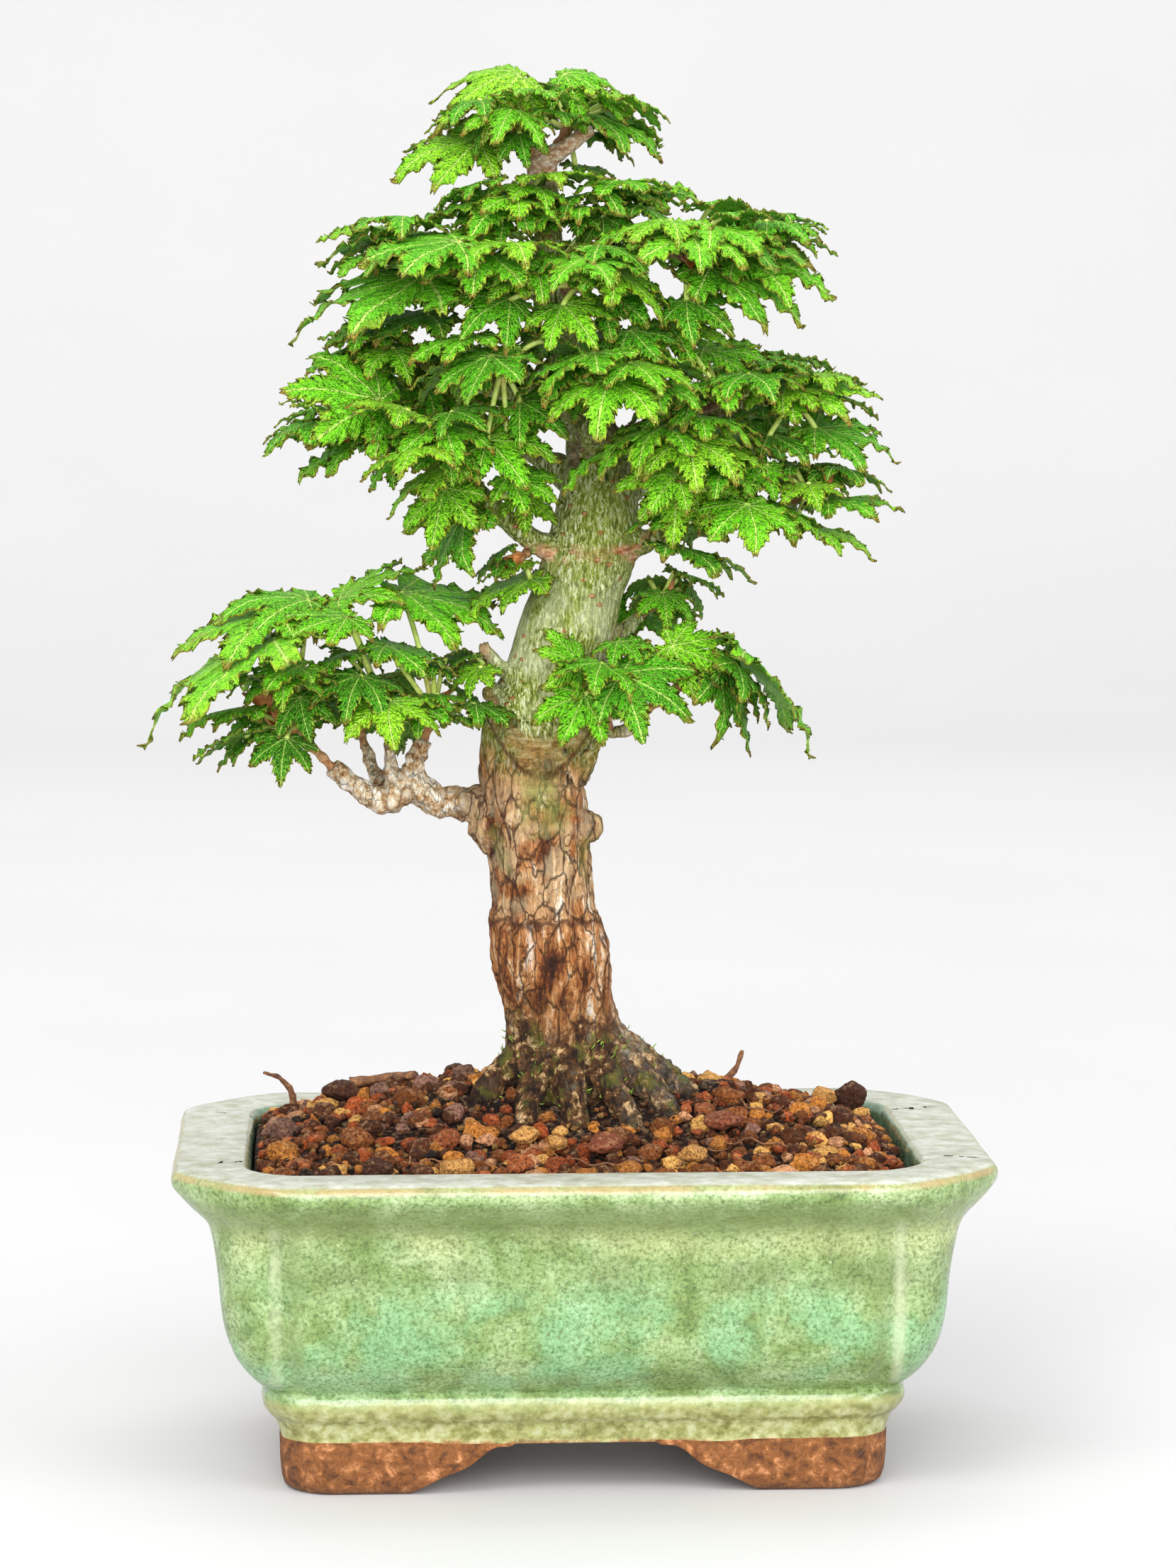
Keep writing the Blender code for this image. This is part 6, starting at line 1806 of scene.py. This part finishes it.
def test_shape(frame, tip, junction, size, cup):
    """A swollen leaf: its middle, its reach and its search tree."""
    points, faces = blade(size * BLADE_MARGIN, cup, 1.1, -1.5)
    points = [frame @ Vector(p) for p in points]
    face = frame.to_3x3().col[2]
    stalk_points, stalk_faces = stalk_shape(tip, junction, face, PETIOLE_RADIUS + 0.4)
    first = len(points)
    points += stalk_points
    faces = faces + [tuple(first + i for i in face) for face in stalk_faces]
    middle = (tip + frame @ Vector((size * 0.5, 0, 0))) * 0.5
    return middle, size * 1.4 + (junction - tip).length * 0.5 + 4.0, tree_of(points, faces)


def blade_tree(frame, size, cup):
    points, faces = blade(size, cup, 0.6, -0.9)
    return tree_of([frame @ Vector(p) for p in points], faces)


def fits(name, frame, tip, junction, size, cup, wood, taken, own):
    plain = blade_tree(frame, size, cup)
    if any(plain.overlap(other) for other in own):
        return False
    middle, reach, tree = test_shape(frame, tip, junction, size, cup)
    if tree.overlap(wood):
        return False
    for other, centre, size_other, other_tree in taken:
        if other == name:
            continue
        if (centre - middle).length < reach + size_other and tree.overlap(other_tree):
            return False
    return True


def settled(name, leaf, shoots, wood, taken, own, *marks):
    """Adds a leaf (frame, junction, radius, cup) to a shoot if it fits there."""
    _, tip, placed = shoots[name]
    frame, junction, size, cup = leaf
    if not fits(name, frame, tip, junction, size, cup, wood, taken, own[name]):
        return False
    placed.append((*leaf, *marks))
    own[name].append(blade_tree(frame, size, cup))
    taken.append((name, *test_shape(frame, tip, junction, size, cup)))
    return True


def place_outline_leaves(shoots, wood, taken, own):
    """The leaves that give the tree its outline, moved a little in depth where they must."""
    for name, junction, end, lean, cup in LEAVES:
        for attempt in range(OUTLINE_TRIES):
            shift = DEPTH_STEP * ((attempt + 1) // 2) * (-1 if attempt % 2 else 1)
            slide = Vector((0.0, shift, 0.0))
            start, stop = Vector(junction) + slide, Vector(end) + slide
            frame, size = aimed_leaf(start, stop, lean, cup)
            size *= 1.0 - OUTLINE_SHRINK * attempt
            if settled(name, (frame, start, size, cup), shoots, wood, taken, own):
                break


def strewn_leaf(rng, tip, shape, k, attempt):
    """One try at the k-th leaf of a shoot: its frame, junction, radius and cup."""
    leaves, radius, heading, fan, droop, stalk = shape
    tried = attempt / LEAF_TRIES
    loose = LOOSE_FIRST + LOOSE_GAIN * tried
    share = (k + 0.5) / leaves - 0.5
    tier = k % 2
    turn = heading + fan * share + rng.uniform(-TURN_SPREAD, TURN_SPREAD) * loose
    lift = LIFT_LOW + TIER_LIFT * tier + rng.uniform(-LIFT_SPREAD, LIFT_SPREAD) * loose
    down = droop - TIER_DROOP * tier + rng.uniform(-DROOP_SPREAD, DROOP_SPREAD) * loose
    size = radius * rng.uniform(*SIZE_RANGE) * (1.0 - SIZE_LOSS * tried)
    reach = stalk * rng.uniform(*STALK_RANGE) + STALK_SLACK * loose
    roll = math.radians(rng.uniform(-ROLL_SPREAD, ROLL_SPREAD) * loose)
    turn, lift = math.radians(turn), math.radians(lift)
    junction = tip + heading_of(turn, lift) * reach
    heading = turn + math.radians(rng.uniform(-HEADING_SPREAD, HEADING_SPREAD))
    frame = leaf_matrix(junction, heading, math.radians(down), roll)
    return frame, junction, size, rng.uniform(*CUP_RANGE)


def grow_shoots(wood_mesh):
    """Places the leaves of every shoot clear of the wood and of the other shoots."""
    rng = random.Random(SEED)
    wood = search_tree(swollen(wood_mesh, 0.3).vertices, wood_mesh.polygons)
    shoots, own, taken = {}, {}, []
    for name, foot, tip, *_ in SHOOTS:
        tip = Vector(tip)
        start = clear_foot(Vector(foot), tip, wood)
        shoots[name] = (start, tip, [])
        own[name] = []
        stem = tree_of(*twig_shape(start, tip, TWIG_RADIUS + 0.5))
        taken.append((name, start.lerp(tip, 0.5), 12.0, stem))
    place_outline_leaves(shoots, wood, taken, own)
    for name, _, _, *shape in SHOOTS:
        tip = shoots[name][1]
        for k in range(shape[0]):
            for attempt in range(LEAF_TRIES):
                leaf = strewn_leaf(rng, tip, shape, k, attempt)
                if settled(name, leaf, shoots, wood, taken, own):
                    break
    return shoots, wood, taken, own


# ---------------------------------------------------------------- leaves in full detail


def margin_stations(length, start):
    """Distances along a lobe with the depth of the tooth at each."""
    rows = []
    count = max(int(round((length - start) / TOOTH_PITCH)), 3)
    pitch = (length - start) / count
    for k in range(count):
        at = start + k * pitch
        depth = TOOTH_DEPTHS[k % len(TOOTH_DEPTHS)]
        rows.append((at, -0.3 * depth, 0.0))
        rows.append((at + 0.5 * pitch, 0.3 * depth, 0.3))
        rows.append((at + 0.84 * pitch, depth, 1.0))
    rows.append((length, 0.0, 0.0))
    return rows


def lobe_width(share, widest):
    """Half the width of a lobe at a share of its length."""
    if share < 0.45:
        return widest * (0.35 + 0.65 * (share / 0.45) ** 0.7)
    past = (share - 0.45) / 0.55
    return widest * (1.0 - past) ** 0.75 * (1.0 + 0.5 * past)


def leaf_template(seed):
    """A flat blade of radius 1 with its relief: points, faces, vein and tip rows."""
    rng = random.Random(seed)
    lobes = []
    count = len(FINE_LOBES)
    for k in range(-(count - 1), count):
        angle, length, widest = FINE_LOBES[abs(k)]
        angle = math.radians(math.copysign(angle + rng.uniform(-3, 3) * (k != 0), k))
        lobes.append((angle, length * rng.uniform(0.93, 1.04), widest * rng.uniform(0.92, 1.1)))
    points, vein, tone, faces = [], [], [], []
    fold = rng.uniform(*FOLD_RANGE)
    columns = (-1.0, -0.5, 0.0, 0.5, 1.0)
    for k, (angle, length, widest) in enumerate(lobes):
        bend = rng.uniform(-0.22, 0.22)
        curl = rng.uniform(0.1, 0.9)
        twist = rng.uniform(-0.7, 0.7)
        ruffle, phase = rng.uniform(*RUFFLE_RANGE), rng.uniform(0, SPIN)
        limits = {}
        for side in (-1, 1):
            other = k + side
            limits[side] = abs(lobes[other][0] - angle) / 2 if 0 <= other < len(lobes) else None
        last_web = WEB_STATIONS[-1] if length > 0.6 else WEB_STATIONS[2]
        rows = [(s, 0.0, 0.0) for s in WEB_STATIONS if s < last_web]
        rows += margin_stations(length, last_web)
        first = len(points)
        for s, tooth, push in rows:
            share = s / length
            for column in columns:
                side = -1 if column < 0 else 1
                free = lobe_width(share, widest)
                limit = limits[side]
                webbed = limit is not None and s * math.tan(limit) <= free
                half = s * math.tan(limit) if webbed else free * (1.0 + tooth)
                forward = 0.0 if webbed else push * TOOTH_PITCH * 0.55 * abs(column) ** 3
                if limit is None and s == 0.0:
                    half = 0.0
                lateral = column * half
                at = s + forward
                reach = math.hypot(at, lateral)
                height = fold * abs(lateral) * (0.75 - reach)
                height -= curl * max(0.0, share - 0.6) ** 2 * length * 1.3
                height += twist * lateral * max(0.0, share - 0.3)
                if not webbed:
                    height += ruffle * abs(column) ** 2 * math.sin(at * RUFFLE_WAVES + phase)
                pleat = PLEAT_HEIGHT * (1.0 - abs(column))
                height += pleat * math.sin(FULL_TURN * at / PLEAT_PITCH)
                bent = lateral + bend * max(0.0, share - 0.4) ** 2 * length
                across = at * math.cos(angle) - bent * math.sin(angle)
                along = at * math.sin(angle) + bent * math.cos(angle)
                points.append((across, along, height))
                vein.append((at, lateral, abs(column) if not webbed else 0.0))
                tone.append(share)
        width = len(columns)
        for level in range(len(rows) - 1):
            for c in range(width - 1):
                a = first + level * width + c
                faces.append((a, a + width, a + width + 1, a + 1))
    return welded(np.array(points), faces, np.array(vein), np.array(tone))


def welded(points, faces, vein, tone):
    """One point where several meet, with faces that collapsed left out and those about it kept."""
    keys = np.round(points / WELD_CELL).astype(int)
    _, first, index = np.unique(keys, axis=0, return_index=True, return_inverse=True)
    index = index.reshape(-1)
    kept = []
    for face in faces:
        ring = []
        for i in face:
            j = int(index[i])
            if j not in ring:
                ring.append(j)
        if len(ring) > 2:
            kept.append(tuple(reversed(ring)))
    return points[first], kept, outer_edges(kept), vein[first], tone[first]


def add_sheet(skin, points, faces, border, normals, thickness, slot, vein, tone):
    """A thin closed body with a given upper skin."""
    count = len(points)
    under = points - normals * thickness
    whole = np.concatenate([points, under])
    all_faces = list(faces)
    all_faces += [tuple(count + i for i in reversed(face)) for face in faces]
    all_faces += [(b, a, count + a, count + b) for a, b in border]
    lower_tone = tone.copy()
    lower_tone[:, 2] = 1.0
    tone = np.concatenate([tone, lower_tone])
    skin.add(whole, all_faces, slot, np.concatenate([vein, vein]), tone)


def add_leaf(skin, rng, templates, frame, size, cup, shaded):
    points, faces, border, vein, share = templates[rng.randrange(len(templates))]
    flat = points[:, :2]
    reach = (flat**2).sum(axis=1)
    height = points[:, 2] - cup * reach
    wave = rng.uniform(0, SPIN)
    swell = np.sin(flat[:, 0] * 5.0 + wave) * np.cos(flat[:, 1] * 6.0 + wave)
    height = height + 0.018 * swell
    local = np.column_stack([flat, height]) * size
    normals = np.column_stack([2 * cup * flat[:, 0], 2 * cup * flat[:, 1], np.ones(len(flat))])
    normals /= np.linalg.norm(normals, axis=1)[:, None]
    turn = np.array(frame.to_3x3())
    world = local @ turn.T + np.array(frame.translation)
    tint = rng.random() * (SHADED_TINT if shaded else 1.0)
    tone = np.column_stack([np.full(len(flat), tint), share, np.zeros(len(flat))])
    add_sheet(skin, world, faces, border, normals @ turn.T, LEAF_THICKNESS, 0, vein, tone)


def add_stalk(skin, rng, tip, junction, face):
    """A leaf stalk, swollen where it leaves the twig and a little bowed."""
    span = junction - tip
    sag = Vector((0.0, 0.0, 1.0)) * span.length * rng.uniform(-0.02, 0.10)
    path, radii, shares = [], [], []
    for k in range(9):
        t = k / 8
        path.append(tip + span * t + sag * math.sin(math.pi * t))
        radii.append(0.46 + 0.42 * math.exp(-t * 7.0) + 0.10 * t)
        shares.append(t)
    path[-1] = junction - face * 0.25
    points, faces = loft(tube_rings(path, radii, 8))
    vein = np.repeat(np.array([(t, 0.0, 0.0) for t in shares]), 8, axis=0)
    skin.add(points, faces, 1, vein)


def add_twig(skin, foot, tip):
    """A knobby twig with ring scars and its end bud."""
    ahead = (tip - foot).normalized()
    length = (tip - foot).length
    steps = max(int(length / 0.5), 6)
    path, radii = [], []
    for k in range(steps + 1):
        t = k / steps
        sway = noise.noise(foot + Vector((t * 2, 0, 0)))
        dip = noise.noise(foot + Vector((0, t * 2, 9)))
        wander = Vector((sway, 0.0, dip)) * 0.3 * math.sin(math.pi * t)
        path.append(foot - ahead * 0.8 * (1 - t) + ahead * length * t + wander)
        knobby = TWIG_RADIUS * (1.0 + 0.16 * math.cos(t * length * 2.4))
        radii.append(knobby + 0.35 * smooth_step(t, 0.7, 1.0))
    end = path[-1]
    for k, radius in ((1, 1.35), (2, 1.05), (3, 0.45)):
        path.append(end + ahead * 0.55 * k)
        radii.append(radius)
    points, faces = loft(tube_rings(path, radii, 12))
    skin.add(points, faces, 2)


def add_scale(skin, rng, base, ahead, outward, length, width, spread):
    """A hollow bud scale: a spoon along the shoot, bent away from it at its tip."""
    side = ahead.cross(outward).normalized()
    outward = side.cross(ahead).normalized()
    rows, columns = 9, 7
    points, vein = [], []
    for i in range(rows):
        t = i / (rows - 1)
        half = width * (math.sin(math.pi * min(0.12 + 0.86 * t, 1.0)) ** 0.75 + 0.02)
        lift = 0.9 + spread * t * t * length
        for j in range(columns):
            u = j / (columns - 1) * 2 - 1
            round_off = half * (1.0 - math.cos(u * 1.25)) * 0.9
            p = base + ahead * length * t * (1.0 - 0.06 * u * u)
            p = p + side * half * math.sin(u * 1.25) / 0.949 + outward * (lift - round_off)
            points.append(tuple(p))
            vein.append((t, u, 0.0))
    faces = []
    for i in range(rows - 1):
        for j in range(columns - 1):
            a = i * columns + j
            faces.append((a, a + 1, a + columns + 1, a + columns))
    border = outer_edges(faces)
    normals = row_of(outward, rows * columns)
    tone = row_of([rng.random(), 0.0, 0.0], rows * columns)
    add_sheet(skin, np.array(points), faces, border, normals, 0.22, 3, np.array(vein), tone)


def outer_edges(faces):
    edges = {}
    for face in faces:
        for i in range(len(face)):
            a, b = face[i], face[(i + 1) % len(face)]
            edges.setdefault((min(a, b), max(a, b)), []).append((a, b))
    return [runs[0] for runs in edges.values() if len(runs) == 1]


def build_shoot(name, foot, tip, leaves, templates, looks, seed):
    rng = random.Random(seed)
    skin = Skin()
    add_twig(skin, foot, tip)
    ahead = (tip - foot).normalized()
    across = ahead.orthogonal().normalized()
    if name != BARE_BUD:
        big = BIG_SCALES.get(name, 1.0)
        count = rng.choice((2, 3))
        turn = rng.uniform(0, SPIN)
        for k in range(count):
            outward = Matrix.Rotation(turn + SPIN * k / count, 3, ahead) @ across
            length, width = rng.uniform(*SCALE_LENGTHS) * big, rng.uniform(*SCALE_WIDTHS) * big
            spread = rng.uniform(*SCALE_SPREADS)
            add_scale(skin, rng, tip - ahead * 0.6, ahead, outward, length, width, spread)
    for frame, junction, size, cup, *inner in leaves:
        add_leaf(skin, rng, templates, frame, size, cup, bool(inner))
        add_stalk(skin, rng, tip, junction, frame.to_3x3().col[2])
    return skin.build("leaves_" + name[6:], looks, name)


def add_inner_leaves(shoots, wood, taken, own):
    """Small leaves that fill the inside of each shoot."""
    rng = random.Random(SEED + 1)
    for name, _, _, _, radius, heading, fan, droop, stalk in SHOOTS:
        if name == BARE_BUD:
            continue
        for _ in range(INNER_LEAVES):
            for _ in range(INNER_TRIES):
                turn = math.radians(heading + rng.uniform(-0.5, 0.5) * fan * INNER_FAN)
                lift = math.radians(rng.uniform(*INNER_LIFTS))
                reach = stalk * rng.uniform(*INNER_REACHES)
                size = radius * rng.uniform(*INNER_SIZES)
                junction = shoots[name][1] + heading_of(turn, lift) * reach
                down = math.radians(droop + rng.uniform(*INNER_SLACK))
                roll = math.radians(rng.uniform(*INNER_SLACK))
                frame = leaf_matrix(junction, turn, down, roll)
                leaf = (frame, junction, size, rng.uniform(*INNER_CUPS))
                if settled(name, leaf, shoots, wood, taken, own, True):
                    break


# ---------------------------------------------------------------- small growth


def build_moss(trunk, look):
    """Tufts of moss about the foot of the trunk and between the roots."""
    rng = random.Random(19)
    skin = Skin()
    for _ in range(MOSS_TUFTS):
        angle = rng.uniform(0, FULL_TURN)
        away = rng.uniform(9.0, 19.0)
        x, y = -2.0 + away * math.cos(angle), away * 0.8 * math.sin(angle)
        start = Vector((x, y, rng.uniform(70.0, MOSS_TOP)))
        near, normal, _, _ = trunk.find_nearest(start)
        if near.z > MOSS_TOP or noise.noise(near * 0.22) < 0.02:
            continue
        bend = Vector((rng.uniform(-1, 1), rng.uniform(-1, 1), rng.uniform(0.2, 1.2)))
        ahead = (normal + bend * 0.5).normalized()
        length = rng.uniform(0.6, 1.5)
        end = near + (ahead + bend * 0.3).normalized() * length
        path = [near - normal * 0.2, near + ahead * length * 0.5, end]
        points, faces = loft(tube_rings(path, [0.16, 0.13, 0.03], 5))
        skin.add(points, faces)
    return skin.build("moss", [look], None)


def build_rootlets(look):
    """Fine pale roots lying on the soil."""
    rng = random.Random(23)
    skin = Skin()
    for x, y, heading in ROOTLETS:
        angle = math.radians(heading)
        at = Vector((x, y, 0.0))
        path, radii = [], []
        for k in range(ROOTLET_POINTS):
            at.z = soil_height(at.x, at.y) + 1.1 + 0.5 * math.sin(k * 0.9)
            path.append(at.copy())
            radii.append(0.26 * (1.0 - 0.6 * k / ROOTLET_POINTS))
            angle += rng.uniform(-0.35, 0.35)
            at += Vector((math.cos(angle), math.sin(angle), 0.0)) * 0.9
        points, faces = loft(tube_rings(path, radii, 6))
        skin.add(points, faces)
    return skin.build("rootlets", [look], None)


# ---------------------------------------------------------------- studio


def aim(ob, at, ahead):
    ob.location = at
    ob.rotation_euler = ahead.to_track_quat("-Z", "Y").to_euler()
    return ob


def build_studio():
    mesh = bpy.data.meshes.new("studio_floor")
    rows = [(FLOOR_FRONT, 0.0), (FLOOR_BACK, 0.0)]
    for k in range(1, 13):
        angle = math.pi / 2 * k / 12
        y = FLOOR_BACK + WALL_CURVE * math.sin(angle)
        rows.append((y, WALL_CURVE * (1 - math.cos(angle))))
    rows.append((FLOOR_BACK + WALL_CURVE, WALL_TOP))
    points = [(x, y, z) for y, z in rows for x in (-FLOOR_HALF_WIDTH, FLOOR_HALF_WIDTH)]
    faces = [(2 * i, 2 * i + 1, 2 * i + 3, 2 * i + 2) for i in range(len(rows) - 1)]
    mesh.from_pydata(points, [], faces)
    mesh.materials.append(floor_look())
    mesh.shade_smooth()
    place("studio_floor", mesh)
    world = bpy.data.worlds.new("studio")
    bpy.context.scene.world = world
    world.use_nodes = True
    sky = world.node_tree.nodes["Background"].inputs
    sky["Color"].default_value = (1.0, 1.0, 1.0, 1.0)
    sky["Strength"].default_value = SKY
    for title, at, size, power, colour in LIGHTS:
        lamp = bpy.data.lights.new(title, "AREA")
        lamp.shape = "RECTANGLE"
        lamp.size, lamp.size_y = size
        lamp.energy = power
        lamp.color = colour
        aim(place(title, lamp), at, AIM - Vector(at))
    camera = bpy.data.cameras.new("camera")
    camera.lens = CAMERA_LENS
    camera.sensor_fit = "VERTICAL"
    camera.sensor_height = SENSOR
    camera.clip_start, camera.clip_end = 0.05, 20.0
    camera.dof.use_dof = False
    scene = bpy.context.scene
    scene.camera = aim(place("camera", camera), CAMERA_AT * MM, CAMERA_AHEAD)
    scene.view_settings.view_transform = "Standard"
    scene.view_settings.exposure = EXPOSURE


def main():
    build_studio()
    glaze, clay = glaze_look(), clay_look()
    build_pot(glaze, clay)
    net = net_look()
    for name in ("drainage_screen_left", "drainage_screen_right"):
        screen = frame["nodes"][name]
        screen.data.materials.clear()
        screen.data.materials.append(net)
    trunk = build_wood(bark_look())
    bed, grains = grain_look("soil_bed", 0.6), grain_look("soil_grain")
    build_soil(bed, grains, trunk)
    for stone in STONES:
        build_stone(*stone, grains)
    dry = dry_look()
    for litter in LITTER:
        build_litter(*litter, dry)
    shoots, wood, taken, own = grow_shoots(coarse_wood())
    add_inner_leaves(shoots, wood, taken, own)
    templates = [leaf_template(s) for s in range(LEAF_SHAPES)]
    looks = [leaf_look(), stalk_look(), twig_look(), scale_look()]
    for k, (name, (foot, tip, leaves)) in enumerate(shoots.items()):
        build_shoot(name, foot, tip, leaves, templates, looks, SEED + 10 * k)
    build_moss(trunk, moss_look())
    build_rootlets(dry)


main()
